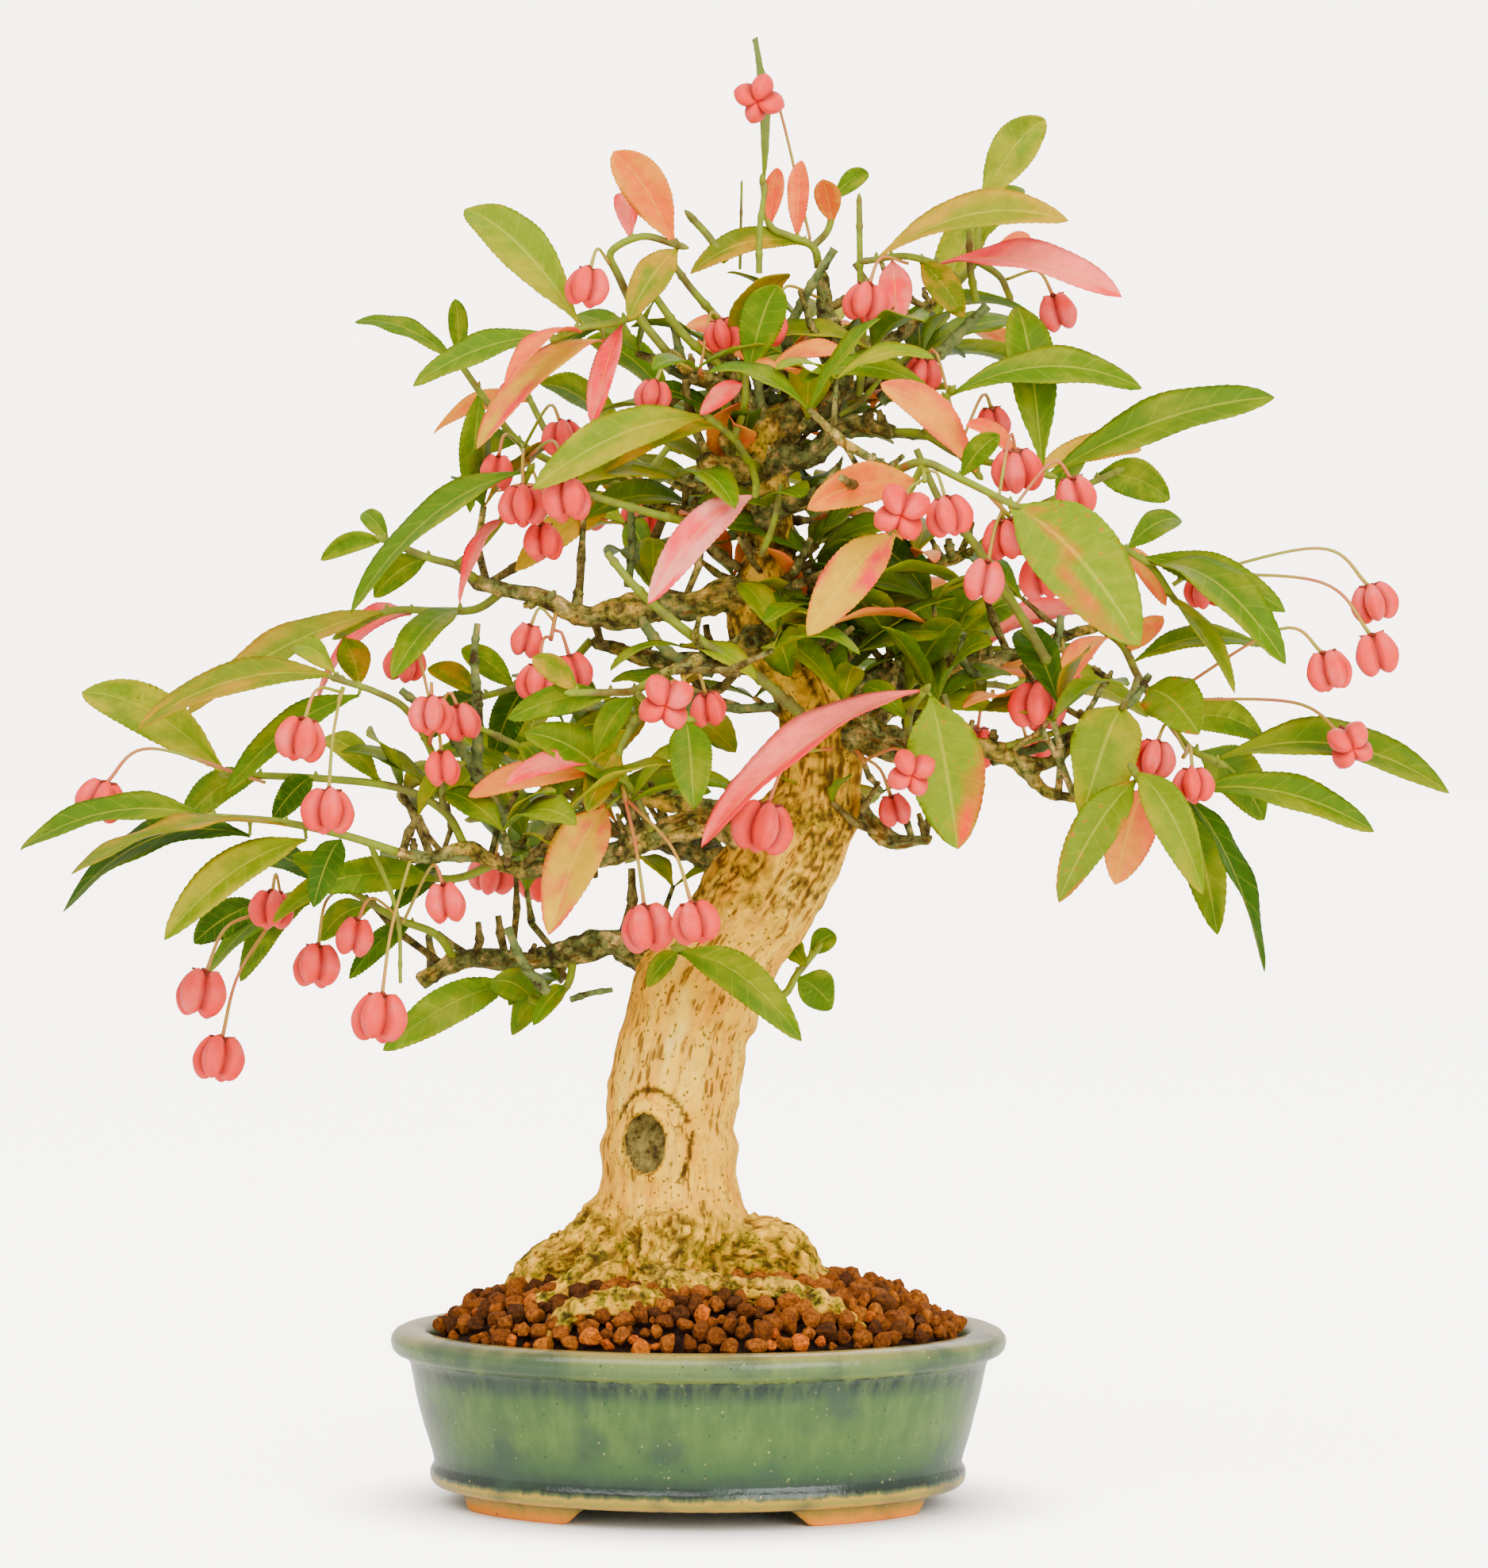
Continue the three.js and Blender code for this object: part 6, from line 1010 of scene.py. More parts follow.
      (107.9, -47.4, 179.6, 108.9, -47.4, 178.8, 118.2, -31.8, 143.4, 11, 0.16, -0.92, -0.36, "G"),
      (100.3, -50.4, 181.2, 99.7, -50.4, 180.8, 92.7, -47.4, 156.7, 13.2, 0.01, -0.99, -0.13, "C"),
      (98.3, -53.3, 183, 97.5, -53.3, 182.8, 78.6, -73.1, 154.5, 11, 0.31, -0.86, 0.4, "l")]),
    "trunk_front": (
     [[(-8.2, -23.5, 134.3, 1.25), (-13.9, -47.7, 140.1, 1.12), (-16, -52.7, 140.9, 0.98)]],
     [(-15.3, -51, 140.6, -15.6, -51.1, 139.9, 15.1, -60, 119, 10, -0.16, -0.97, 0.18, "G"),
      (-16, -52.7, 140.9, -15.5, -52.7, 140.4, -23.9, -45.3, 131.1, 5, -0.32, -0.86, -0.39, "G")]),
    "trunk_behind": (
     [[(-7.1, -23.4, 136.4, 1.25), (7.1, -10.9, 126.7, 1.16), (12, -7.5, 132, 1.07), (16.6, -5.9, 137.7, 0.98)]],
     [(15.5, -6.3, 136.3, 15, -6.3, 137, 21.4, 0.1, 141.9, 6, 0.5, -0.78, 0.37, "G"),
      (12, -7.5, 132, 12, -7.5, 131, 21, -3.2, 123.2, 10, 0.29, -0.94, -0.18, "G")]),
    "back_low": (
     [[(-47.2, 35.4, 167.9, 1.25), (-55.3, 45, 168.6, 1.16), (-65.7, 54.6, 170.4, 1.07),
       (-77.8, 62.5, 169, 0.98)],
      [(-55.3, 45, 168.6, 1.08), (-48.8, 55.5, 173.5, 1.02), (-45.1, 66.7, 180.1, 0.95)]],
     [(-52.6, 41.8, 168.3, -49.1, 43.5, 169.2, -14.8, 59.8, 178, 12.4, -0.38, 0.33, 0.86, "G"),
      (-57, 46.6, 168.9, -58.7, 50.3, 168.5, -76.1, 89.3, 167.9, 10.5, 0.09, 0.06, 0.99, "L"),
      (-63.9, 53, 170.1, -66.5, 53.7, 173, -87.9, 59.8, 197.3, 9.4, 0.6, 0.72, 0.35, "G"),
      (-71.7, 58.5, 169.7, -70.2, 61.9, 171.1, -54.8, 96.1, 209.5, 12.9, -0.32, -0.64, 0.7, "O"),
      (-55.3, 45, 168.6, -58.8, 46.5, 169.9, -90.8, 59.5, 175.1, 9.2, 0.3, 0.38, 0.88, "G"),
      (-51, 52, 171.9, -47.3, 53.5, 172.4, -8.1, 69.7, 177.6, 12.6, -0.27, 0.37, 0.89, "L"),
      (-48.2, 57.4, 174.6, -50.2, 60.8, 174, -67.8, 90.3, 168.9, 12.8, 0.04, 0.19, 0.98, "G"),
      (-45.1, 66.7, 180.1, -48.8, 67.6, 178.9, -89.2, 77.3, 187.5, 10.7, 0.29, 0.48, 0.83, "G")]),
    "back_right": (
     [[(46.4, 37.3, 203.3, 1.25), (52.5, 47.6, 204.2, 1.16), (60.7, 58.1, 205.2, 1.07),
       (72, 67.2, 202.8, 0.98)],
      [(52.5, 47.6, 204.2, 1.08), (46, 57.5, 210.5, 1.02), (41.2, 70.2, 214.9, 0.95)]],
     [(51.3, 45.5, 204.1, 54.5, 47.9, 204.5, 87.5, 71.9, 212.7, 12.9, -0.36, 0.18, 0.91, "G"),
      (55.2, 51.1, 204.6, 52.4, 53.8, 203.6, 30.2, 74.8, 195.8, 10.6, -0.02, 0.33, 0.94, "G"),
      (60.7, 58.1, 205.2, 64.6, 59, 204.5, 102.5, 67.7, 197.6, 12.9, 0.05, 0.48, 0.88, "L"),
      (66.4, 62.7, 204, 68.1, 66.2, 204.4, 81.7, 94.6, 207.9, 11.5, -0.16, -0.04, 0.99, "G"),
      (52.5, 47.6, 204.2, 48.7, 48.9, 204.6, 10.4, 62.2, 208.1, 9.8, 0.12, 0.08, 0.99, "G"),
      (48.2, 54.2, 208.4, 51.7, 55.1, 209.9, 87.1, 64.4, 225.5, 11.2, -0.45, 0.51, 0.73, "P"),
      (45.2, 59.6, 211.2, 45, 63.4, 212.4, 43.5, 93.2, 221.5, 10.9, 0.03, -0.29, 0.96, "G"),
      (41.2, 70.2, 214.9, 37.4, 71.3, 215, -3.9, 83.1, 215.6, 10.3, 0.06, 0.14, 0.99, "G")]),
    "back_left": (
     [[(-22, 33.1, 258.3, 1.25), (-28.7, 40.9, 261.6, 1.16), (-37.7, 48.5, 266, 1.07),
       (-49.5, 54.5, 268.5, 0.98)],
      [(-28.7, 40.9, 261.6, 1.08), (-23.1, 51.4, 270.3, 1.02), (-20.4, 62.6, 276.3, 0.95)]],
     [(-27.4, 39.3, 260.9, -23.7, 40.8, 260.7, 16.1, 57.2, 257.7, 10.3, -0.02, 0.23, 0.97, "L"),
      (-31.7, 43.4, 263.1, -33.7, 46.8, 263.8, -55.1, 82.9, 271.4, 10.2, -0.08, -0.25, 0.96, "G"),
      (-37.7, 48.5, 266, -37.7, 49.1, 262.1, -38.1, 53.5, 255.7, 9.9, -0.02, 0.82, 0.57, "O"),
      (-43.6, 51.5, 267.2, -40.8, 54.2, 266.1, -13, 81, 251.2, 11.2, 0.1, 0.4, 0.91, "G"),
      (-28.7, 40.9, 261.6, -32.1, 42.3, 263.2, -58.3, 53.6, 285.6, 12.4, 0.67, 0.53, 0.52, "G"),
      (-25, 47.9, 267.4, -21.5, 49.5, 266.4, 7.4, 62.6, 258.4, 11.9, 0.05, 0.43, 0.9, "L"),
      (-22.7, 53.3, 271.3, -23.1, 57.2, 272, -26, 88.2, 277.9, 10.9, 0.04, -0.18, 0.98, "G"),
      (-20.4, 62.6, 276.3, -23.5, 63.3, 278.8, -46.9, 68.7, 298.2, 11, 0.57, 0.66, 0.5, "G")]),
    "back_top": (
     [[(30.5, 12.5, 284.2, 1.25), (37.4, 23, 288.8, 1.16), (43.3, 33.5, 294.4, 1.07),
       (48.7, 44.7, 301.6, 0.98)],
      [(37.4, 23, 288.8, 1.08), (28.9, 30.7, 294.3, 1.02), (21.9, 41.3, 299.3, 0.95)]],
     [(35.1, 19.5, 287.3, 38.3, 21.8, 287.6, 70.6, 45.3, 291, 10, -0.26, 0.22, 0.94, "G"),
      (39.4, 26.5, 290.6, 36.7, 29.2, 289.5, 16, 49.9, 280.9, 9.3, -0.04, 0.35, 0.94, "G"),
      (43.3, 33.5, 294.4, 45, 34.2, 298, 62.9, 41.9, 336.3, 12.4, -0.49, 0.87, 0.06, "L"),
      (47.8, 42.8, 300.4, 50, 46, 299.4, 67, 69.8, 292.2, 11.1, 0.01, 0.29, 0.96, "A"),
      (33.2, 26.9, 291.5, 29.4, 28.1, 291.3, -5.9, 40, 289.4, 12.5, 0.09, 0.43, 0.9, "G"),
      (27.7, 32.5, 295.1, 31.5, 33.4, 296.3, 71.3, 43.3, 305, 10.7, -0.3, 0.48, 0.83, "G"),
      (21.9, 41.3, 299.3, 20.9, 45.1, 299.9, 12.2, 81.8, 305.8, 12.7, 0.1, -0.14, 0.99, "L")]),
}
# Tone: main colour, second colour, how far it has turned (0 to 1), red specks (0 to 1).
# D is a darker green: older leaves, and painted shade on leaves that lie in the crown's shade.
TONES = {
    "G": ("#4E6C03", "#747E03", 0.38, 0.04), "D": ("#305003", "#4A6203", 0.3, 0.0),
    "L": ("#6E8203", "#989003", 0.42, 0.15), "l": ("#6E8203", "#EE2C08", 0.16, 0.9),
    "O": ("#667203", "#A88003", 0.4, 0.35), "o": ("#7C8003", "#BA8E03", 0.46, 0.2),
    "Y": ("#C09A03", "#D8A003", 0.4, 0.15), "y": ("#CC9C03", "#E42830", 0.34, 0.3),
    "P": ("#F76A5C", "#F71428", 0.4, 0.3), "p": ("#F78E7C", "#F72C40", 0.36, 0.25),
    "S": ("#F7481E", "#F76E26", 0.45, 0.35), "A": ("#E05C03", "#E0840A", 0.45, 0.4),
    "C": ("#F29020", "#F2642C", 0.4, 0.3),
}
BLADE_HALF = [(0, 0.06), (0.06, 0.16), (0.13, 0.38), (0.22, 0.66), (0.33, 0.88), (0.45, 0.99), (0.57, 1.0),
              (0.68, 0.93), (0.78, 0.79), (0.86, 0.62), (0.92, 0.44), (0.96, 0.28), (0.985, 0.13), (1, 0.0)]
BLADE_ROWS = 48
BLADE_COLUMNS = 8
BLADE_THICK = 0.32
BOX_MARGIN = 0.0004


def blade_half(t):
    """The blade's half width at a share of its length, as a share of the widest."""
    for (t0, w0), (t1, w1) in zip(BLADE_HALF, BLADE_HALF[1:]):
        if t <= t1:
            k = (t - t0) / (t1 - t0)
            k = k * k * (3 - 2 * k) * 0.35 + k * 0.65
            return w0 + (w1 - w0) * k
    return 0.0


def leaf_mesh():
    """An empty mesh with the layers that the leaf's material reads."""
    made = bmesh.new()
    made.loops.layers.uv.verify()
    made.verts.layers.float_color.new("tone")
    made.verts.layers.float.new("specks")
    return made


def blade(bm, base, tip, width, normal, tone, draw, rows=BLADE_ROWS, columns=BLADE_COLUMNS):
    """One leaf blade: a grid bent into shape, toothed at its edge and given its thickness."""
    uv_layer = bm.loops.layers.uv.verify()
    tone_layer = bm.verts.layers.float_color["tone"]
    speck_layer = bm.verts.layers.float["specks"]
    main, second, turned, specks = TONES[tone]
    main, second = Vector(colour(main)), Vector(colour(second))
    main *= draw.uniform(0.88, 1.12)
    grid = bmesh.ops.create_grid(bm, x_segments=columns, y_segments=rows, size=0.5)["verts"]
    faces = list(faces_of(grid))
    along = tip - base
    length = along.length
    along.normalize()
    across = normal.cross(along).normalized()
    fold = draw.uniform(0.12, 0.34)
    wave, waves, phase = draw.uniform(0.04, 0.12), draw.uniform(1.4, 2.6), draw.uniform(0, math.tau)
    curl = draw.uniform(-0.02, 0.08)
    twist = draw.uniform(-0.5, 0.5)
    arch = draw.uniform(0.07, 0.15)
    for face in faces:
        for loop in face.loops:
            loop[uv_layer].uv = (loop.vert.co.x + 0.5, loop.vert.co.y + 0.5)
    turn_at = draw.uniform(0, 50)
    for vert in grid:
        u, t = vert.co.x * 2, vert.co.y + 0.5
        half = width / 2 * blade_half(t)
        tooth = 0.0
        if abs(u) > 0.99 and 0.06 < t < 0.97:
            tooth = 0.13 if round(t * rows) % 2 else -0.07
        side = u * (half + tooth)
        bend = fold * half * abs(u) ** 1.25 + wave * half * math.sin(math.tau * waves * t + phase + u) * u * u
        bend -= curl * length * t ** 3
        bend -= 0.2 * math.exp(-((side / 0.6) ** 2)) * (1 - t)
        vein = ((t * length - abs(side) * 0.75) / (length / 8)) % 1
        bend -= 0.1 * math.exp(-(((vein - 0.5) / 0.16) ** 2)) * min(1.0, half / 4) * (1 - abs(u) ** 3)
        cos, sin = math.cos(twist * t), math.sin(twist * t)
        at = base + along * (length * t) + across * (side * cos - bend * sin)
        at += normal * (bend * cos + side * sin)
        at.z += arch * length * 4 * t * (1 - t)
        patch = noise.noise(Vector((turn_at + t * 2.3, u * 0.9, turn_at)))
        patch += 0.5 * noise.noise(Vector((turn_at, t * 7, u * 3)))
        share = max(0.0, min(1.0, (patch + turned * 2 - 0.75 + 0.35 * u * u) * 1.6))
        mixed = main.lerp(second, share)
        vert[tone_layer] = (mixed[0], mixed[1], mixed[2], 1.0)
        vert[speck_layer] = specks * (0.4 + 0.6 * u * u)
        vert.co = [
            min(max(at[i] * MM, cad_box[0][i] + BOX_MARGIN), cad_box[1][i] - BOX_MARGIN) for i in range(3)
        ]
    bmesh.ops.solidify(bm, geom=faces, thickness=BLADE_THICK * MM)


leaf, tree, shader = new_material("spindle_leaf_waxy")
# A thin leaf with a light wax: satin, paler along the midrib and arched side veins, with soft
# blotches where the green goes, and small red specks on turning leaves.
tone = add(tree, "VertexColor", {"layer_name": "tone"}).outputs["Color"]
specks = add(tree, "Attribute", {"attribute_name": "specks"}).outputs["Fac"]
place = add(tree, "TexCoord")
axes = add(tree, "SeparateXYZ", Vector=place.outputs["UV"])
from_mid = add(tree, "Math", {"operation": "MULTIPLY_ADD"}, i0=axes.outputs["X"], i1=2.0, i2=-1.0)
from_mid = add(tree, "Math", {"operation": "ABSOLUTE"}, i0=from_mid.outputs[0])
sweep = add(tree, "Math", {"operation": "MULTIPLY"}, i0=from_mid.outputs[0], i1=-0.85)
rows = add(tree, "Math", {"operation": "MULTIPLY_ADD"}, i0=axes.outputs["Y"], i1=8.0, i2=sweep.outputs[0])
rows = add(tree, "Math", {"operation": "FRACT"}, i0=rows.outputs[0])
rows = add(tree, "Math", {"operation": "SUBTRACT"}, i0=rows.outputs[0], i1=0.5)
rows = add(tree, "Math", {"operation": "ABSOLUTE"}, i0=rows.outputs[0])
side_vein = add(tree, "MapRange", Value=rows.outputs[0], From_Min=0.08, From_Max=0.02, To_Max=0.11)
midrib = add(tree, "MapRange", Value=from_mid.outputs[0], From_Min=0.07, From_Max=0.03, To_Max=0.42)
veins = add(
    tree, "Math", {"operation": "MAXIMUM"}, i0=side_vein.outputs["Result"], i1=midrib.outputs["Result"]
)
blotch = add(
    tree, "TexNoise", Vector=place.outputs["Object"], Scale=1 / (2.8 * MM), Detail=4.0, Roughness=0.6
)
shade = add(
    tree, "MapRange", Value=blotch.outputs["Fac"], From_Min=0.3, From_Max=0.7, To_Min=0.86, To_Max=1.12
)
grey = add(
    tree, "CombineColor", Red=shade.outputs["Result"], Green=shade.outputs["Result"],
    Blue=shade.outputs["Result"]
)
mottled = add(
    tree, "Mix", {"data_type": "RGBA", "blend_type": "MULTIPLY"}, i0=1.0, i6=tone, i7=grey.outputs[0]
)
pale = add(tree, "Mix", {"data_type": "RGBA"}, i0=0.5, i6=tone, i7=colour("#E6D840"))
veined = add(
    tree, "Mix", {"data_type": "RGBA"}, i0=veins.outputs[0], i6=mottled.outputs[2], i7=pale.outputs[2]
)
dots = add(tree, "TexVoronoi", Vector=place.outputs["Object"], Scale=1 / (2.4 * MM))
dot = add(tree, "MapRange", Value=dots.outputs["Distance"], From_Min=0.34, From_Max=0.2, To_Max=0.8)
dot = add(tree, "Math", {"operation": "MULTIPLY"}, i0=dot.outputs["Result"], i1=specks)
picked = add(tree, "MapRange", Value=blotch.outputs["Fac"], From_Min=0.5, From_Max=0.6)
dot = add(tree, "Math", {"operation": "MULTIPLY"}, i0=dot.outputs[0], i1=picked.outputs["Result"])
dotted = add(
    tree, "Mix", {"data_type": "RGBA"}, i0=dot.outputs[0], i6=veined.outputs[2], i7=colour("#C92A10")
)
put(
    tree, shader, Base_Color=dotted.outputs[2], Roughness=0.45, Specular_IOR_Level=0.06,
    Subsurface_Weight=0.15, Subsurface_Radius=(0.002, 0.003, 0.0005)
)
bump = add(tree, "Bump", {"invert": True}, Strength=0.4, Distance=0.0004, Height=veins.outputs[0])
put(tree, shader, Normal=bump.outputs[0])

twig_skin, tree, shader = new_material("young_twig_skin")
# First and second year twigs: smooth green skin, brown where it is older.
place = add(tree, "TexCoord").outputs["Object"]
change = add(tree, "TexNoise", Vector=place, Scale=1 / (11 * MM), Detail=3.0, Roughness=0.6)
skin = add(
    tree, "ValToRGB",
    stops=[(0.32, "#5D4A0F"), (0.42, "#6C6C27"), (0.54, "#7C8C10"), (0.64, "#6C7020"), (0.74, "#9A4A18")],
    Fac=change.outputs["Fac"]
).outputs["Color"]
put(tree, shader, Base_Color=skin, Roughness=0.55, Specular_IOR_Level=0.2)

for number, (name, (twigs, leaves)) in enumerate(SHOOTS.items()):
    draw = random.Random(100 + number)
    runs = [smooth_run([(*row[:3], row[3] * 0.92) for row in rows], 1.6) for rows in twigs]
    for x, y, z, bx, by, bz, *_ in leaves:
        start, base = Vector((x, y, z)), Vector((bx, by, bz))
        sag = (start + base) / 2 + Vector((0, 0, 0.06 * (start - base).length))
        runs.append([(*start, 0.62), (*sag, 0.48), (*base, 0.44)])
    twig_mesh = tubes(name + "_twigs", runs, 3)
    bm = leaf_mesh()
    bm.from_mesh(twig_mesh)
    bmesh.ops.remove_doubles(bm, verts=bm.verts, dist=1e-6)
    for face in bm.faces:
        face.material_index = 1
    for x, y, z, bx, by, bz, tx, ty, tz, width, nx, ny, nz, tone in leaves:
        blade(
            bm, Vector((bx, by, bz)), Vector((tx, ty, tz)), width, Vector((nx, ny, nz)).normalized(), tone,
            draw
        )
    # A small pointed bud sits where each leaf stalk starts and at each twig's tip.
    buds = []
    for rows in twigs:
        at, before = Vector(rows[-1][:3]), Vector(rows[-2][:3])
        buds.append((at, (at - before).normalized(), 1.25))
    for row in leaves:
        at, base = Vector(row[:3]), Vector(row[3:6])
        buds.append((at, (base - at + Vector((0, 0, 3))).normalized(), 0.85))
    for at, way, size in buds:
        made = bmesh.ops.create_icosphere(bm, subdivisions=2, radius=1.0)["verts"]
        turn = Vector((0, 0, 1)).rotation_difference(way)
        for vert in made:
            taper = 1 - 0.35 * vert.co.z
            x, y, z = vert.co
            shaped = Vector((x * taper * size * 0.75, y * taper * size * 0.75, (z + 0.6) * size * 1.5))
            vert.co = (at + turn @ shaped) * MM
        for face in faces_of(made):
            face.material_index = 1
    piece = new_piece("shoot_" + name + "_leaves", bm, leaf, twig_skin)
    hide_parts("shoot_" + name)

# ---- Small inner leaves ----------------------------------------------------
# Pairs of small leaves at the ends of the short twigs inside the crown, thin and satin as the
# large ones, mostly still green.
draw = random.Random(31)
bm = leaf_mesh()
TIPS_LEFT_BARE = 0.35
for end, way in spur_tips:
    if draw.random() < TIPS_LEFT_BARE:
        continue
    part = leaf_mesh()
    spin = draw.uniform(0, math.tau)
    for k in range(draw.choice((2, 2, 3))):
        turn = spin + k * math.pi + draw.uniform(-0.5, 0.5)
        out = Vector((math.cos(turn), math.sin(turn), draw.uniform(-0.35, 0.5)))
        out = (out + way * 0.5).normalized()
        length = draw.uniform(17, 32)
        base = end + out * 1.5
        tip = base + out * length
        normal = (Vector((draw.gauss(0, 0.35), draw.gauss(-0.35, 0.3), 1)) - out * out.z).normalized()
        normal = (normal - out * normal.dot(out)).normalized()
        blade(
            part, base - out * 1.6, tip, length * draw.uniform(0.3, 0.4), normal, draw.choice("GGGLLDGOGLGC"),
            draw, 20, 4
        )
    join(bm, part)
inner = new_piece("inner_leaves", bm, leaf)

# ---- Bare twigs ------------------------------------------------------------
# Bare shoots of this year and older twigs between the leaves, each thin, round and swollen at its
# nodes: green where they are young, grey-green with brown rings where they are older.
YOUNG_TWIGS = [
    [(28.3, -23.8, 278.3, 0.95), (29.5, -25.2, 298.2, 0.9), (28.7, -26.1, 305.7, 0.85),
     (28.4, -27.6, 326.8, 0.75)],
    [(57.5, -19.7, 302.4, 1), (56.1, -21.5, 311.2, 0.9), (55.9, -22.3, 319, 0.8)],
    [(3.4, -30.3, 308.9, 0.85), (3.6, -31, 319.8, 0.8), (4.9, -31.7, 329.6, 0.7)],
    [(-1.9, -20.6, 310.5, 0.45), (-1.4, -22, 331.9, 0.35)],
    [(-5.1, -26.7, 312.1, 1), (-9.4, -28.8, 318.4, 1), (-13.3, -29.9, 322.7, 0.95)],
    [(-7, -29.2, 297.7, 1.05), (-13.8, -32.3, 305.5, 0.95), (-19.6, -34.4, 313.7, 0.8)],
    [(-2.1, -27.3, 282.7, 1.3), (-14.7, -33.7, 292.9, 1.1), (-23.8, -37.9, 305.2, 0.95)],
    [(19.8, -26.5, 271.3, 0.9), (28.4, -28.9, 276.6, 0.8), (34.3, -31.4, 283.2, 0.6)],
    [(14.5, -42.7, 198.8, 1.5), (2, -50, 209.7, 1.35), (-12.4, -54.6, 218.6, 1.25), (-25.4, -57, 229.9, 1.1),
     (-32.8, -58.1, 238.7, 0.95)],
    [(77.6, -43.1, 208.3, 1.3), (70.1, -47.2, 221.5, 1.2), (58.3, -50.3, 240.1, 1.1), (50.1, -51.5, 249.9, 1),
     (43.3, -52.5, 264.3, 0.85)],
    [(-6.5, -38.5, 245.2, 1.2), (-18.9, -45.1, 247.7, 1.1), (-37.8, -52, 253.1, 0.9)],
    [(4.8, -46.1, 238.2, 0.9), (7.9, -48.8, 246, 0.8), (9.9, -50.4, 255.8, 0.7)],
    [(47.8, -30.2, 226.5, 0.9), (51.8, -33.8, 231.4, 0.8), (60.7, -37.3, 234.3, 0.6)],
    [(65.8, -40.2, 190.9, 0.95), (73.6, -42.7, 193, 0.9), (89.3, -45.8, 197.9, 0.7)],
    [(-74.6, -43.4, 197.8, 0.8), (-62.9, -40.8, 193.8, 0.85), (-49.2, -38.3, 186.8, 0.9)],
    [(-84.7, -51.6, 131.9, 0.5), (-85.9, -49.2, 149.5, 0.6), (-93.2, -46.1, 167.1, 0.8)],
]
OLDER_TWIGS = [
    [(17.4, -16.5, 274.7, 1.7), (10.1, -20.5, 290.5, 1.45), (14, -22.9, 302.3, 1.25),
     (22.1, -24.2, 315.4, 1.1)],
    [(20.5, -18.3, 276.2, 1.7), (15.1, -20.4, 282.9, 1.5), (9.6, -22.5, 289.4, 1.3)],
    [(3.7, -23.4, 268.4, 1.5), (3.2, -25.1, 278.3, 1.3), (2.6, -25.9, 287.9, 1.1)],
    [(33.5, -19.6, 277.5, 1.9), (46.5, -21.6, 287.4, 1.6), (54.5, -23, 295.2, 1.35), (60.5, -23.5, 301.2, 1.1)],
    [(23.6, -22.3, 269.4, 1.5), (33.7, -25.8, 269.3, 1.3), (45.3, -28.2, 268.2, 1.1)],
    [(8.5, -18.9, 277.6, 1.5), (-2.3, -23.4, 279.4, 1.3), (-14.1, -27.9, 282.7, 1.2), (-21.5, -30.2, 286.5, 1)],
    [(-14.5, -28, 282.7, 1.2), (-16.7, -30.9, 290.1, 1.1), (-17.8, -31.8, 295.6, 0.9)],
    [(18.5, -20, 290.5, 1.2), (21.8, -17.9, 286.6, 1.4), (23.8, -16.1, 274.7, 1.6)],
    [(-67, -39.4, 181.8, 1.5), (-66.4, -39.9, 198.7, 1.25), (-67.3, -40.6, 212.6, 1.05),
     (-66.4, -41.3, 221.3, 0.85)],
    [(-59.1, -39.2, 170.9, 1.6), (-66.9, -41.3, 183.9, 1.4), (-74.6, -43.4, 195.8, 1.2),
     (-85.1, -46.7, 204.7, 1)],
    [(20.2, -10, 212.5, 1.6), (31.3, -11.2, 218.5, 1.4), (41.4, -12.6, 220.5, 1.2), (50.5, -14.3, 215.5, 0.95)],
    [(72.6, -33.3, 208.6, 1.3), (77.5, -34.9, 215.6, 1.15), (79.1, -35.6, 223.3, 0.95)],
    [(61.7, -30.5, 186.8, 1.4), (77.6, -35.5, 191.8, 1.2), (95.3, -40.4, 200.8, 1), (101.1, -41.9, 208.7, 0.8)],
    [(-27.8, -32.2, 224.5, 1.5), (-19.7, -34, 214.6, 1.3), (-7.9, -31.6, 208.6, 1.2)],
    [(-49.4, -36, 198.7, 1.1), (-35.2, -39.2, 200.7, 1), (-27.2, -40.8, 199.8, 0.9)],
    [(-15.9, -30.2, 200.6, 1.2), (-1.8, -33.5, 200.1, 1.1), (8.2, -34.9, 200.7, 1)],
    [(-62.9, -41.6, 163.1, 1.5), (-74.3, -46.2, 163.2, 1.3), (-89.7, -51, 164.4, 1.1)],
    [(-49.5, -35.8, 129, 1.4), (-55.1, -39.9, 136.2, 1.2), (-58.9, -41.9, 145.3, 1)],
    [(-31.2, -39.6, 176.9, 1), (-34.6, -42.5, 186.9, 0.9), (-35.6, -44.4, 195.8, 0.8)],
    [(-29.2, -25.6, 250.5, 0.9), (-29, -23.8, 240.5, 1), (-30.1, -22.1, 230.5, 1.1)],
    [(59.6, -26.1, 206.6, 1.1), (54.1, -29.2, 212.6, 1), (55.3, -30, 218.5, 0.85)],
    [(-43.7, -33.6, 126.9, 0.9), (-38.6, -35.3, 128.6, 0.8), (-33.1, -36, 129.5, 0.7)],
]


def noded(rows, space):
    """A twig's run with a swelling at each node."""
    run = smooth_run(rows, 0.7)
    along, last = 0.0, run[0]
    for row in run:
        along += (row - last).to_3d().length
        last = row.copy()
        row[3] *= 1 + 0.3 * math.exp(-(((along % space - space / 2) / 0.6) ** 2))
    return run


old_skin, tree, shader = new_material("older_twig_bark")
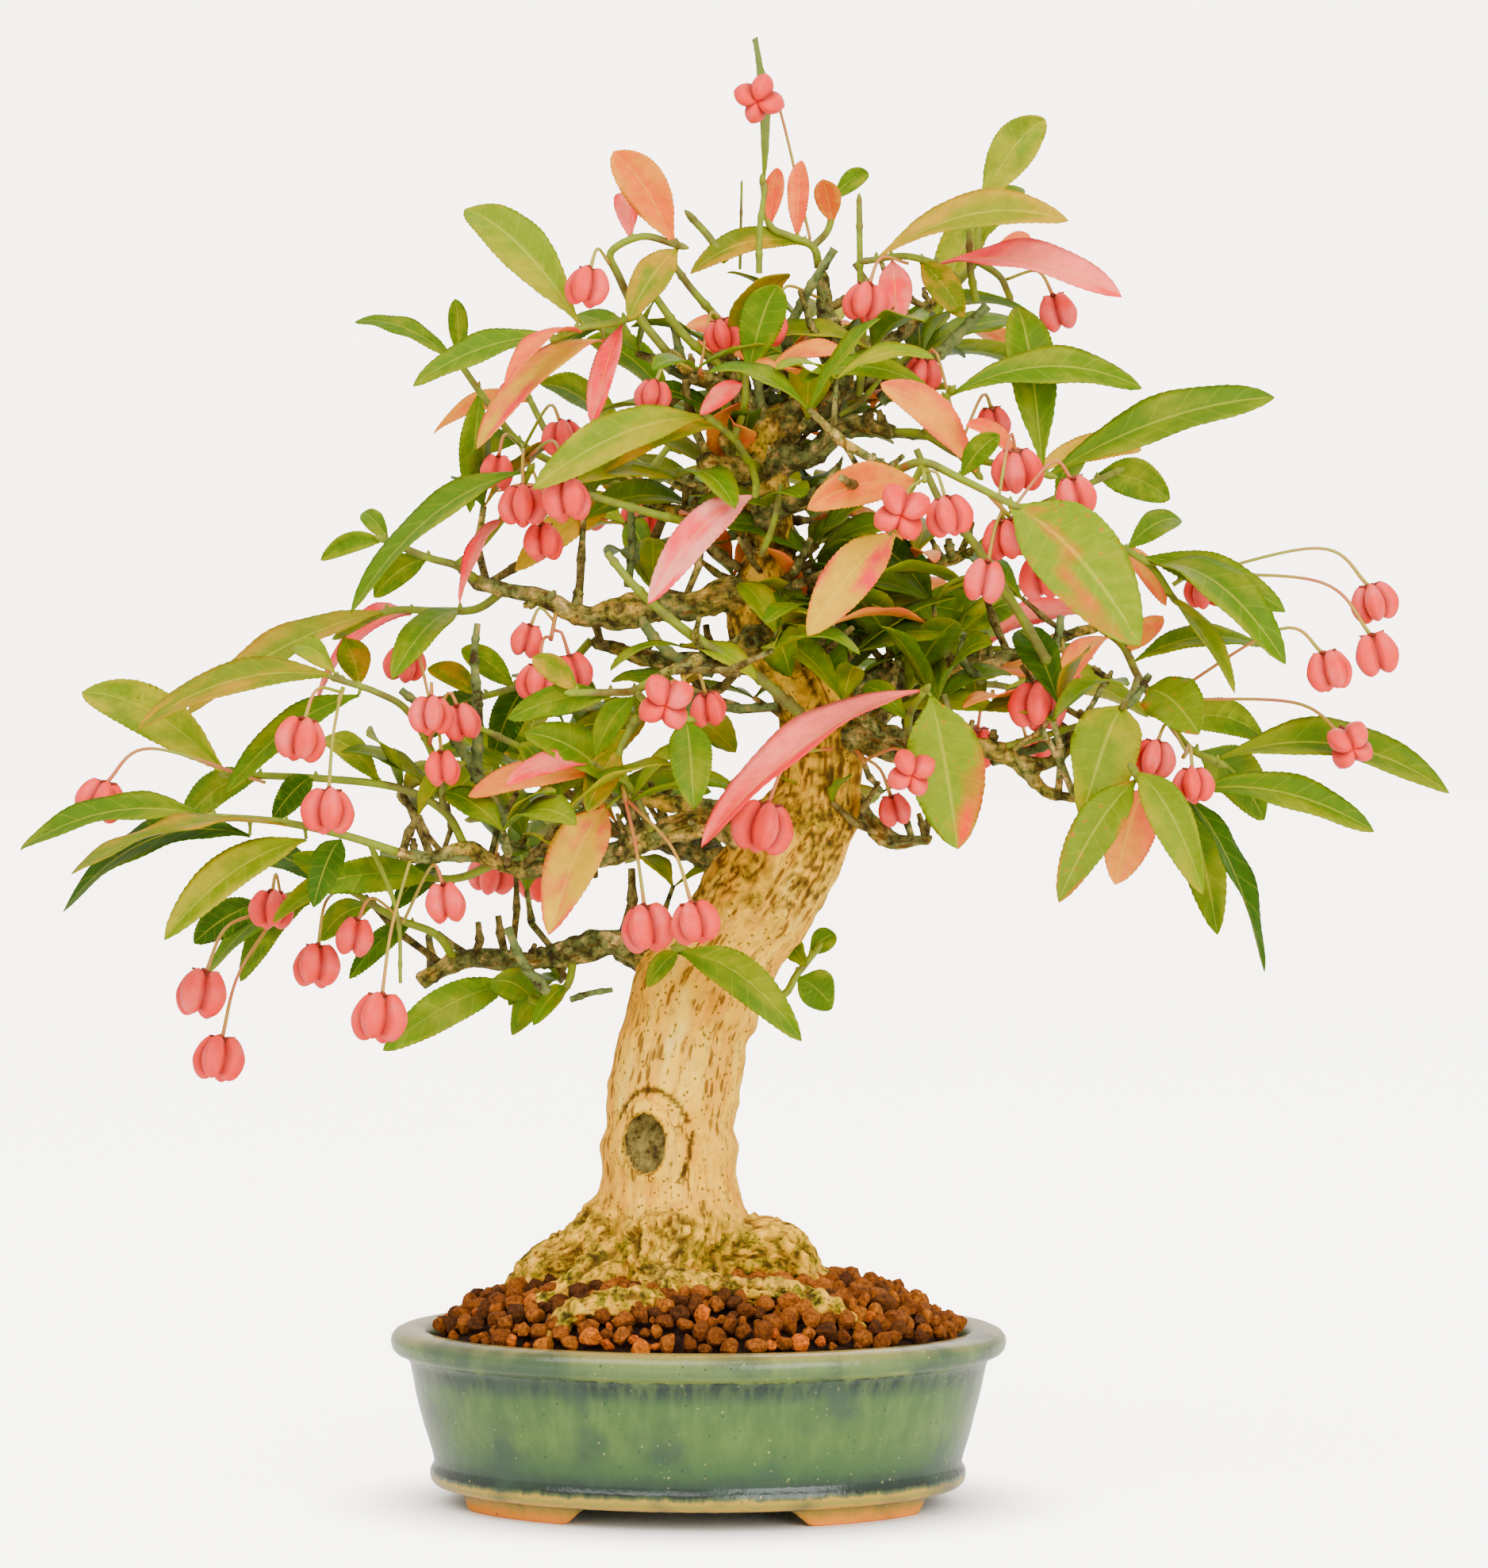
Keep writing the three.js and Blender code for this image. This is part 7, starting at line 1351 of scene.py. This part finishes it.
# Bark of three to five years: matt grey-green, with brown scars where leaves and buds sat.
place = add(tree, "TexCoord").outputs["Object"]
change = add(tree, "TexNoise", Vector=place, Scale=1 / (3.6 * MM), Detail=4.0, Roughness=0.65)
skin = add(
    tree, "ValToRGB",
    stops=[(0.36, "#3A2A10"), (0.43, "#4E5A28"), (0.53, "#64723C"), (0.63, "#7A7A3A"), (0.72, "#A88A48")],
    Fac=change.outputs["Fac"]
).outputs["Color"]
put(tree, shader, Base_Color=skin, Roughness=0.75, Specular_IOR_Level=0.15)
bump = add(tree, "Bump", Strength=0.5, Distance=0.0004, Height=change.outputs["Fac"])
put(tree, shader, Normal=bump.outputs[0])
bm = bmesh.new()
bm.from_mesh(tubes("young_runs", [noded(rows, 9.5) for rows in YOUNG_TWIGS], 3))
young_faces = len(bm.faces)
bm.from_mesh(tubes("older_runs", [noded(rows, 5.5) for rows in OLDER_TWIGS], 3))
bm.faces.ensure_lookup_table()
for face in bm.faces[young_faces:]:
    face.material_index = 1
for rows in YOUNG_TWIGS[:5]:
    made = bmesh.ops.create_icosphere(bm, subdivisions=2, radius=1.0)["verts"]
    turn = Vector((0, 0, 1)).rotation_difference(Vector(rows[-1][:3]) - Vector(rows[-2][:3]))
    for vert in made:
        taper = 1 - 0.4 * vert.co.z
        shaped = Vector((vert.co.x * taper, vert.co.y * taper, (vert.co.z + 0.5) * 2.2)) * rows[-1][3]
        vert.co = (Vector(rows[-1][:3]) + turn @ shaped) * MM
bare = new_piece("bare_twigs", bm, twig_skin, old_skin)

# ---- Fruit -----------------------------------------------------------------
# Ripe capsules of four round lobes, pink skin with a fine keel down each lobe, hanging by thin
# forked stalks under a small brown calyx. A fruit is middle, radius, axis, stalk start and bend.
BUNCHES = {
    "fruit_far_left": (
     None,
     [(-159, -56.3, 177, 6.2, -0.23, -0.08, -0.97, -119.6, -42.3, 181.5, -147.2, -52.2, 190.2)]),
    "fruit_low_left": (
     [(-119, -11.2, 150.4), (-121.3, -15.3, 145.9)],
     [(-120.9, -22.3, 148.5, 5.8, -0.03, -0.24, -0.97, -119.4, -11.9, 149.6, -120.2, -17.8, 157.6),
      (-137.1, -33.7, 127.8, 7.2, -0.15, -0.19, -0.97, -120.2, -13.3, 148.1, -131.3, -26.8, 144.8),
      (-132.4, -35.9, 111.6, 6.8, -0.12, -0.21, -0.97, -121, -14.7, 146.6, -128.5, -28.6, 132.4)]),
    "fruit_low_left_inner": (
     None,
     [(-107.2, -39.1, 135.2, 6.4, -0.04, -0.24, -0.97, -104, -17.8, 154.2, -106.1, -31.7, 150.4)]),
    "fruit_long_stalk": (
     None,
     [(-88.5, -65.1, 123.9, 7.2, -0.09, -0.22, -0.97, -82.4, -50.1, 162.6, -86.1, -59.1, 145.9)]),
    "fruit_left": (
     [(-98.4, -55.9, 205.4), (-99.3, -58.1, 201.8)],
     [(-107.5, -67.9, 192.5, 6.4, -0.15, -0.19, -0.97, -98.6, -56.5, 204.3, -104, -63.4, 205),
      (-100.6, -70, 175, 6.6, -0.03, -0.24, -0.97, -99.1, -57.6, 202.5, -100, -64.8, 192.4)]),
    "fruit_inner_left": (
     [(-86.2, -29.6, 146.2), (-85.9, -33.8, 146.4)],
     [(-96.9, -45.4, 142.8, 5.6, -0.14, -0.2, -0.97, -86.1, -30.8, 146.2, -93.1, -40.2, 152.6),
      (-72.9, -56.9, 151.9, 5.8, 0.12, -0.21, -0.97, -86, -33, 146.3, -77.1, -49.2, 161)]),
    "fruit_left_four": (
     [(-78, -46.1, 191.3), (-76.1, -51.6, 197.7)],
     [(-69.5, -50.8, 196.5, 5.4, 0.22, -0.1, -0.97, -77.7, -46.8, 192.2, -73.1, -49, 204),
      (-73.4, -58.8, 185.3, 5, 0.08, -0.23, -0.97, -77.2, -48.3, 193.8, -74.9, -54.6, 194.9),
      (-76.1, -60.6, 198.4, 5.6, 0.01, -0.24, -0.97, -76.8, -49.7, 195.5, -76.4, -56, 206.5),
      (-85.2, -36.7, 211, 5.4, -0.13, 0.21, -0.97, -76.3, -51.1, 197.1, -82.1, -41.8, 217.3)]),
    "fruit_middle_left": (
     [(-47.3, -33.9, 224.4), (-48.4, -37.4, 217.1)],
     [(-54.4, -37.8, 216.8, 5, -0.23, -0.09, -0.97, -47.7, -35.1, 221.8, -51.2, -36.5, 225.2),
      (-42.9, -35.4, 209, 5.4, 0.24, 0.03, -0.97, -48, -36.1, 219.8, -45.9, -35.8, 219.1),
      (-50.8, -47.9, 206.5, 5.4, -0.05, -0.24, -0.97, -48.3, -37, 217.8, -49.7, -43.4, 217.3)]),
    "fruit_trunk_pair": (
     [(-29.5, -53.8, 181.1), (-28.1, -55.2, 177.3)],
     [(-22.4, -61.8, 146, 7, 0.16, -0.18, -0.97, -29.1, -54.2, 180.1, -25.6, -58.2, 166),
      (-10.2, -69.7, 147.8, 6.2, 0.19, -0.15, -0.97, -28.4, -54.9, 178.1, -16.3, -64.7, 166.3)]),
    "fruit_front_centre": (
     [(-14, -61.8, 209.5), (-13.1, -65.3, 205.4)],
     [(-7.9, -55, 200, 5, 0.14, 0.2, -0.97, -13.6, -63.4, 207.7, -10.3, -58.4, 209.2),
      (-16.5, -82.9, 202.3, 7.2, 0, -0.94, -0.35, -13.3, -64.8, 206, -15.7, -69.3, 207.3)]),
    "fruit_trunk_front": (
     None,
     [(5.3, -51.9, 170.5, 7.6, -0.19, -0.16, -0.97, 25.1, -35.3, 190.4, 12.2, -46.1, 187.8)]),
    "fruit_upper_left": (
     None,
     [(-38.3, -49, 304.4, 5.8, -0.14, -0.2, -0.97, -33.3, -41.8, 310.7, -36, -45.6, 314.3)]),
    "fruit_cluster_left": (
     [(-58.3, -11.3, 266.7), (-56, -21.2, 262.6)],
     [(-62.8, -28.1, 259.2, 5, -0.07, -0.23, -0.97, -58, -12.4, 266.2, -61.2, -22.6, 269),
      (-45.8, -31, 267.5, 5.4, 0.14, -0.2, -0.97, -57.6, -14.4, 265.4, -49.8, -25.4, 276.2),
      (-49.9, -41.9, 241.3, 5.4, 0.07, -0.23, -0.97, -57.1, -16.4, 264.6, -52.2, -33.8, 257),
      (-54.3, -49.4, 250.2, 6, 0.02, -0.24, -0.97, -56.6, -18.4, 263.7, -55.1, -39.7, 264.3),
      (-42.7, -58.3, 251.6, 6.4, 0.08, -0.23, -0.97, -56.2, -20.4, 262.9, -46.8, -46.8, 266.5)]),
    "fruit_inner_top": (
     [(-10.5, -31.3, 282.9), (-12.4, -36.5, 284.4)],
     [(-5.4, -33.4, 293.3, 4.8, 0.24, 0.01, -0.97, -11.4, -33.7, 283.6, -8.4, -33.6, 299),
      (-22.2, -46.7, 277.6, 4.6, -0.16, -0.18, -0.97, -12.1, -35.7, 284.2, -18.6, -42.9, 286.5)]),
    "fruit_inner_apex": (
     None,
     [(6.1, -31.6, 295.3, 5.4, -0.17, -0.17, -0.97, 18.1, -19.6, 303.3, 10.3, -27.3, 305.9)]),
    "fruit_top": (
     None,
     [(3.2, -25.2, 353.1, 6.4, -0.17, -0.91, -0.39, 15.8, -19.7, 318.1, 7.7, -16, 351.9)]),
    "fruit_apex_single": (
     None,
     [(30.4, -40, 300.8, 5.8, -0.16, -0.19, -0.97, 40.6, -27.8, 311.5, 34.1, -35.5, 312.4)]),
    "fruit_upper_right": (
     None,
     [(78.2, -22.7, 299.2, 5.6, 0.24, -0.06, -0.97, 64.9, -19.5, 307.8, 73.1, -21.5, 309.8)]),
    "fruit_right_top": (
     [(53.8, -38.5, 264.6), (53.7, -35.2, 267.4)],
     [(62.1, -21.2, 271.6, 4.8, 0.11, 0.22, -0.97, 53.8, -37.6, 265.3, 59.3, -26.7, 278.5),
      (44.4, -25.8, 283.6, 5, -0.16, 0.18, -0.97, 53.7, -35.9, 266.8, 47.9, -29.6, 288.8)]),
    "fruit_front_pair": (
     [(45.7, -72.7, 258.9), (45.9, -75.4, 255.6)],
     [(52, -77.5, 247, 5.8, 0.2, -0.13, -0.97, 45.8, -73.4, 258, 48.8, -75.4, 257.9),
      (40.7, -86.1, 248.2, 7.2, -0.05, -0.93, -0.35, 45.9, -74.8, 256.3, 42.4, -74.2, 254.3)]),
    "fruit_cluster_right": (
     [(61.7, -76, 252.3), (67.8, -69.6, 245.9)],
     [(65.9, -71, 241.7, 6, 0.16, 0.18, -0.97, 62.3, -75.3, 251.6, 63.8, -73.6, 252.4),
      (68.3, -58.5, 258.5, 6.4, 0.07, 0.23, -0.97, 63.6, -74, 250.3, 66.5, -64.3, 267.2),
      (60.4, -76.6, 231.3, 6, -0.18, -0.16, -0.97, 64.8, -72.7, 249, 63, -74.3, 244.4),
      (82.7, -65.9, 252.1, 5.8, 0.23, 0.08, -0.97, 66.1, -71.4, 247.7, 76.8, -67.9, 260.6),
      (74.6, -62.8, 232.5, 6.4, 0.17, 0.17, -0.97, 67.3, -70.2, 246.4, 71.3, -66.1, 245.2)]),
    "fruit_far_right": (
     [(106.9, -30.8, 230.9), (112.4, -30.8, 234.4)],
     [(115, -20.2, 229.3, 5.2, 0.14, 0.2, -0.97, 107.9, -30.8, 231.6, 112.3, -24.3, 237.9),
      (157, -34.1, 226.2, 5.8, 0.24, -0.02, -0.97, 109.8, -30.8, 232.7, 143.3, -33.2, 240),
      (157.4, -38.5, 213.4, 6.4, 0.24, -0.04, -0.97, 111.6, -30.8, 233.9, 143.9, -36.2, 231.4)]),
    "fruit_right_chain": (
     [(103.7, -29.6, 202.6), (107.8, -31, 202.4)],
     [(145.3, -45, 209.3, 6, 0.23, -0.08, -0.97, 104.9, -30, 202.5, 133.4, -40.6, 219.9),
      (150.4, -44.8, 191.3, 6.2, 0.26, -0.89, -0.39, 106.9, -30.7, 202.4, 137.4, -33.8, 201.5)]),
    "fruit_right_front": (
     [(79.4, -11.7, 217.3), (78.8, -16.3, 214.4)],
     [(79.9, -23, 206, 5, 0.02, -0.24, -0.97, 79.2, -13.7, 216, 79.6, -19.1, 215.8),
      (73.2, -45.6, 200.5, 7, -0.05, -0.24, -0.97, 78.9, -15.6, 214.9, 75.1, -35.8, 216)]),
    "fruit_right_pair": (
     [(110.6, -37.5, 189.6), (109.4, -41.3, 188.1)],
     [(101.9, -44.4, 187.5, 5.6, -0.2, -0.14, -0.97, 110.3, -38.5, 189.2, 105.5, -41.9, 196.4),
      (111.5, -56.1, 181.3, 5.2, 0.03, -0.24, -0.97, 109.7, -40.5, 188.4, 110.8, -50.5, 191.3)]),
    "fruit_right_stub": (
     [(27.5, -35.3, 190.4), (30.4, -40.5, 186.6)],
     [(37.7, -39.1, 174.5, 4.8, 0.24, -0.02, -0.97, 29.1, -38.3, 188.3, 34, -38.7, 185),
      (42.5, -67.6, 184.9, 6.2, 0.12, -0.93, -0.35, 30, -39.9, 187.1, 38.4, -52.9, 190.4)]),
    "fruit_back_left": (
     [(-65.7, 55.6, 168.8), (-66, 58, 165.2)],
     [(-72.9, 63.8, 154.1, 6.4, -0.17, 0.18, -0.97, -65.8, 56.3, 167.8, -69.7, 60.4, 166.7),
      (-60.5, 68.4, 151.8, 6, 0.11, 0.22, -0.97, -65.9, 57.5, 166, -62.7, 63.9, 164.3)]),
    "fruit_back_right": (
     [(61, 59, 203.6), (61.6, 61, 199.8)],
     [(56.4, 71.4, 188.1, 6.4, -0.09, 0.22, -0.97, 61.2, 59.5, 202.5, 58.4, 66.5, 201.1),
      (71.2, 64.2, 186.1, 6, 0.23, 0.08, -0.97, 61.5, 60.6, 200.6, 67, 62.6, 198.5)]),
    "fruit_back_top": (
     [(-31.2, 43.2, 261), (-33.3, 45.4, 258.1)],
     [(-31.7, 53.7, 249.3, 6, 0, 0.24, -0.97, -31.8, 43.8, 260.2, -31.8, 49.3, 260.6),
      (-46.1, 49, 251.4, 6.4, -0.23, 0.07, -0.97, -32.9, 45, 258.7, -40.8, 47.4, 262.7)]),
}
CAPSULE_STEPS = 40
CAPSULE_ROWS = 26
LOBE_OUT = 0.5
LOBE_LONG = 0.52
LOBE_WIDE = 0.44
LOBE_TALL = 0.78


def capsule(bm, at, radius, axis, turn):
    """One capsule: four round lobes set about its axis, which points away from the stalk."""
    made = bmesh.ops.create_uvsphere(
        bm, u_segments=CAPSULE_STEPS, v_segments=CAPSULE_ROWS, radius=1.0
    )["verts"]
    lay = Vector((0, 0, 1)).rotation_difference(axis) @ Matrix.Rotation(turn, 3, "Z").to_quaternion()
    for vert in made:
        way = vert.co.normalized()
        about = math.atan2(way.y, way.x)
        lobe = round(about / (math.pi / 2)) * math.pi / 2
        off = about - lobe
        flat = math.hypot(way.x, way.y)
        x, y, z = flat * math.cos(off), flat * math.sin(off), way.z
        a = (x / LOBE_LONG) ** 2 + (y / LOBE_WIDE) ** 2 + (z / LOBE_TALL) ** 2
        b = -2 * LOBE_OUT * x / LOBE_LONG ** 2
        c = (LOBE_OUT / LOBE_LONG) ** 2 - 1
        reach = (-b + math.sqrt(b * b - 4 * a * c)) / (2 * a)
        keel = math.exp(-((off / 0.1) ** 2)) * flat
        narrowed = 1 - 0.26 * max(0.0, -way.z) ** 1.3 - 0.06 * max(0.0, way.z)
        way = Vector((way.x * narrowed, way.y * narrowed, way.z * (1.12 if way.z < 0 else 0.98)))
        # The crease share darkens the skin between the lobes and beside each keel: painted shade.
        between = math.exp(-(((abs(off) - math.pi / 4) / 0.2) ** 2))
        beside_keel = 0.3 * math.exp(-(((abs(off) - 0.22) / 0.08) ** 2)) * flat
        vert[crease_shade_layer] = min(1.0, between + beside_keel)
        vert.co = (at + lay @ (way * (reach * (1 + 0.035 * keel) * radius))) * MM


skin, tree, shader = new_material("spindle_capsule_skin")
# The capsule's leathery skin: matt pink with a paler bloom on the lobes; the creases between the
# lobes and beside each keel are painted dark red as shade.
place = add(tree, "TexCoord").outputs["Object"]
crease_shade = add(tree, "Attribute", {"attribute_name": "crease_shade"}).outputs["Fac"]
bloom = add(tree, "TexNoise", Vector=place, Scale=1 / (7 * MM), Detail=3.0, Roughness=0.55)
pink = add(
    tree, "ValToRGB", stops=[(0.3, "#F5281C"), (0.5, "#F73E34"), (0.7, "#F7605A")], Fac=bloom.outputs["Fac"]
).outputs["Color"]
crease_shaded = add(tree, "Mix", {"data_type": "RGBA"}, i0=crease_shade, i6=pink, i7=colour("#9A1208"))
put(
    tree, shader, Base_Color=crease_shaded.outputs[2], Roughness=0.5, Specular_IOR_Level=0.22,
    Subsurface_Weight=0.15, Subsurface_Radius=(0.003, 0.001, 0.001)
)
pores = add(tree, "TexNoise", Vector=place, Scale=1 / (0.7 * MM), Detail=2.0)
bump = add(tree, "Bump", Strength=0.15, Distance=0.0002, Height=pores.outputs["Fac"])
put(tree, shader, Normal=bump.outputs[0])
stalk_skin, tree, shader = new_material("fruit_stalk_skin")
# Thin stalks, smooth, yellow-green going pink in the sun.
place = add(tree, "TexCoord").outputs["Object"]
change = add(tree, "TexNoise", Vector=place, Scale=1 / (13 * MM), Detail=2.0)
skin_tone = add(
    tree, "ValToRGB", stops=[(0.35, "#8C9410"), (0.5, "#B08A1C"), (0.65, "#C0602C")],
    Fac=change.outputs["Fac"]
).outputs["Color"]
put(tree, shader, Base_Color=skin_tone, Roughness=0.5)
calyx_skin, tree, shader = new_material("dry_calyx")
# The dry calyx: four small brown flaps, matt.
place = add(tree, "TexCoord").outputs["Object"]
change = add(tree, "TexNoise", Vector=place, Scale=1 / (1.2 * MM), Detail=2.0)
put(
    tree, shader,
    Base_Color=add(
        tree, "ValToRGB", stops=[(0.35, "#5E1E0E"), (0.65, "#96401C")], Fac=change.outputs["Fac"]
    ).outputs["Color"],
    Roughness=0.8
)

for number, (name, (stem, fruits)) in enumerate(BUNCHES.items()):
    draw = random.Random(500 + number)
    runs = [smooth_run([(*row[:3], 0.62) for row in stem], 2)] if stem else []
    for x, y, z, radius, ax, ay, az, sx, sy, sz, bx, by, bz in fruits:
        at, axis = Vector((x, y, z)), Vector((ax, ay, az)).normalized()
        top = at - axis * (0.72 * radius)
        rows = [(sx, sy, sz, 0.45), (bx, by, bz, 0.42), (*top, 0.55)]
        runs.append(smooth_run(rows, 1.5))
    bm = bmesh.new()
    bm.from_mesh(tubes(name + "_stalks", runs, 2))
    bmesh.ops.remove_doubles(bm, verts=bm.verts, dist=1e-6)
    crease_shade_layer = bm.verts.layers.float.new("crease_shade")
    for face in bm.faces:
        face.material_index = 1
    for x, y, z, radius, ax, ay, az, *_ in fruits:
        at, axis = Vector((x, y, z)), Vector((ax, ay, az)).normalized()
        capsule(bm, at, radius, axis, draw.uniform(0, math.tau))
        # The dry calyx: a low dome in the hollow, and four small flaps round the stalk.
        lay = Vector((0, 0, -1)).rotation_difference(axis)
        made = bmesh.ops.create_icosphere(bm, subdivisions=2, radius=0.36 * radius)["verts"]
        for vert in made:
            vert.co = (at + lay @ Vector((vert.co.x, vert.co.y, 0.56 * radius + 0.8 * vert.co.z))) * MM
        for face in faces_of(made):
            face.material_index = 2
        for k in range(4):
            made = bmesh.ops.create_icosphere(bm, subdivisions=2, radius=1.0)["verts"]
            angle = k * math.tau / 4 + draw.uniform(-0.2, 0.2)
            for vert in made:
                fx, fy = (vert.co.x + 0.75) * 0.3 * radius, vert.co.y * 0.15 * radius
                fz = (vert.co.z * 0.07 + 0.3 * (fx / radius) ** 2) * radius
                cos, sin = math.cos(angle), math.sin(angle)
                fx, fy = fx * cos - fy * sin, fx * sin + fy * cos
                vert.co = (at + lay @ Vector((fx, fy, fz + 0.8 * radius))) * MM
            for face in faces_of(made):
                face.material_index = 2
    piece = new_piece(name + "_capsules", bm, skin, stalk_skin, calyx_skin)
    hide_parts(name)

# ---- Floor, light and camera -----------------------------------------------
# A pale matt table under a white backdrop, a wide soft light above and in front, and the eye at
# the height and turn from which the tree is seen.
EYE_DISTANCE = 1500
EYE_TURN = math.radians(3)
EYE_RISE = math.radians(1.5)
AIM_RIGHT = 11.6
AIM_UP = 180.9
PICTURE_TALL = 395.4
SENSOR = 36
forward = Vector((
    -math.sin(EYE_TURN) * math.cos(EYE_RISE), math.cos(EYE_TURN) * math.cos(EYE_RISE), -math.sin(EYE_RISE)
))
right = Vector((math.cos(EYE_TURN), math.sin(EYE_TURN), 0))
upward = right.cross(forward)
eye = (right * AIM_RIGHT + upward * AIM_UP - forward * EYE_DISTANCE) * MM + Vector((POT_X, POT_Y, 0))
lens = bpy.data.cameras.new("eye")
lens.sensor_fit = "VERTICAL"
lens.sensor_height = SENSOR
lens.lens = SENSOR * EYE_DISTANCE / PICTURE_TALL
lens.clip_end = 20
camera = bpy.data.objects.new("eye", lens)
camera.location = eye
camera.rotation_euler = forward.to_track_quat("-Z", "Y").to_euler()
bpy.context.scene.collection.objects.link(camera)
bpy.context.scene.camera = camera

bm = bmesh.new()
made = bmesh.ops.create_grid(bm, x_segments=1, y_segments=1, size=6)
paper, tree, shader = new_material("pale_matt_table")
place = add(tree, "TexCoord").outputs["Object"]
cloud = add(tree, "TexNoise", Vector=place, Scale=3.0, Detail=2.0)
put(
    tree, shader,
    Base_Color=add(
        tree, "ValToRGB", stops=[(0.3, "#F6F4F0"), (0.7, "#F9F8F5")], Fac=cloud.outputs["Fac"]
    ).outputs["Color"],
    Roughness=0.9, Emission_Color=colour("#FBF5EC")
)
# The table glows for camera rays, as the backdrop does, so that it looks evenly white; the glow fades
# out in a soft oval round the pot, which leaves a painted shadow there.
seen_straight = add(tree, "LightPath").outputs["Is Camera Ray"]
from_pot = add(
    tree, "Mapping", Vector=place, Location=(-POT_X / 0.08, -POT_Y / 0.066, 0),
    Scale=(1 / (80 * MM), 1 / (66 * MM), 0)
)
away = add(tree, "VectorMath", {"operation": "LENGTH"}, i0=from_pot.outputs[0])
# A soft oval round the pot where the glow is taken away: a painted shadow on the table.
clear = add(
    tree, "MapRange", {"interpolation_type": "SMOOTHSTEP"}, Value=away.outputs["Value"], From_Min=0.72,
    From_Max=1.3
)
glow = add(tree, "Math", {"operation": "MULTIPLY"}, i0=seen_straight, i1=clear.outputs["Result"])
glow = add(tree, "Math", {"operation": "MULTIPLY"}, i0=glow.outputs[0], i1=5.6)
put(tree, shader, Emission_Strength=glow.outputs[0])
mesh = bpy.data.meshes.new("floor")
bm.to_mesh(mesh)
bm.free()
mesh.materials.append(paper)
floor = bpy.data.objects.new("floor", mesh)
bpy.context.scene.collection.objects.link(floor)

# The backdrop is lit apart from the tree, so that it stays white behind it.
world = bpy.data.worlds.new("studio")
world.use_nodes = True
tree = world.node_tree
seen_straight = add(tree, "LightPath").outputs["Is Camera Ray"]
strength = add(tree, "MapRange", Value=seen_straight, To_Min=1.35, To_Max=6.6)
back = tree.nodes["Background"]
put(tree, back, Color=colour("#FBF5EC"), Strength=strength.outputs["Result"])
bpy.context.scene.world = world
for name, power, size, at in (
    ("sky_panel", 28, 1.4, (-0.5, -0.9, 1.6)),
    ("front_panel", 30, 1.2, (0.9, -1.4, 0.7)),
    ("back_panel", 8, 1.2, (0.4, 1.3, 1.2)),
):
    lamp = bpy.data.lights.new(name, "AREA")
    lamp.energy = power
    lamp.size = size
    light = bpy.data.objects.new(name, lamp)
    light.location = at
    light.rotation_euler = (Vector((0, 0, 0.16)) - Vector(at)).to_track_quat("-Z", "Y").to_euler()
    bpy.context.scene.collection.objects.link(light)
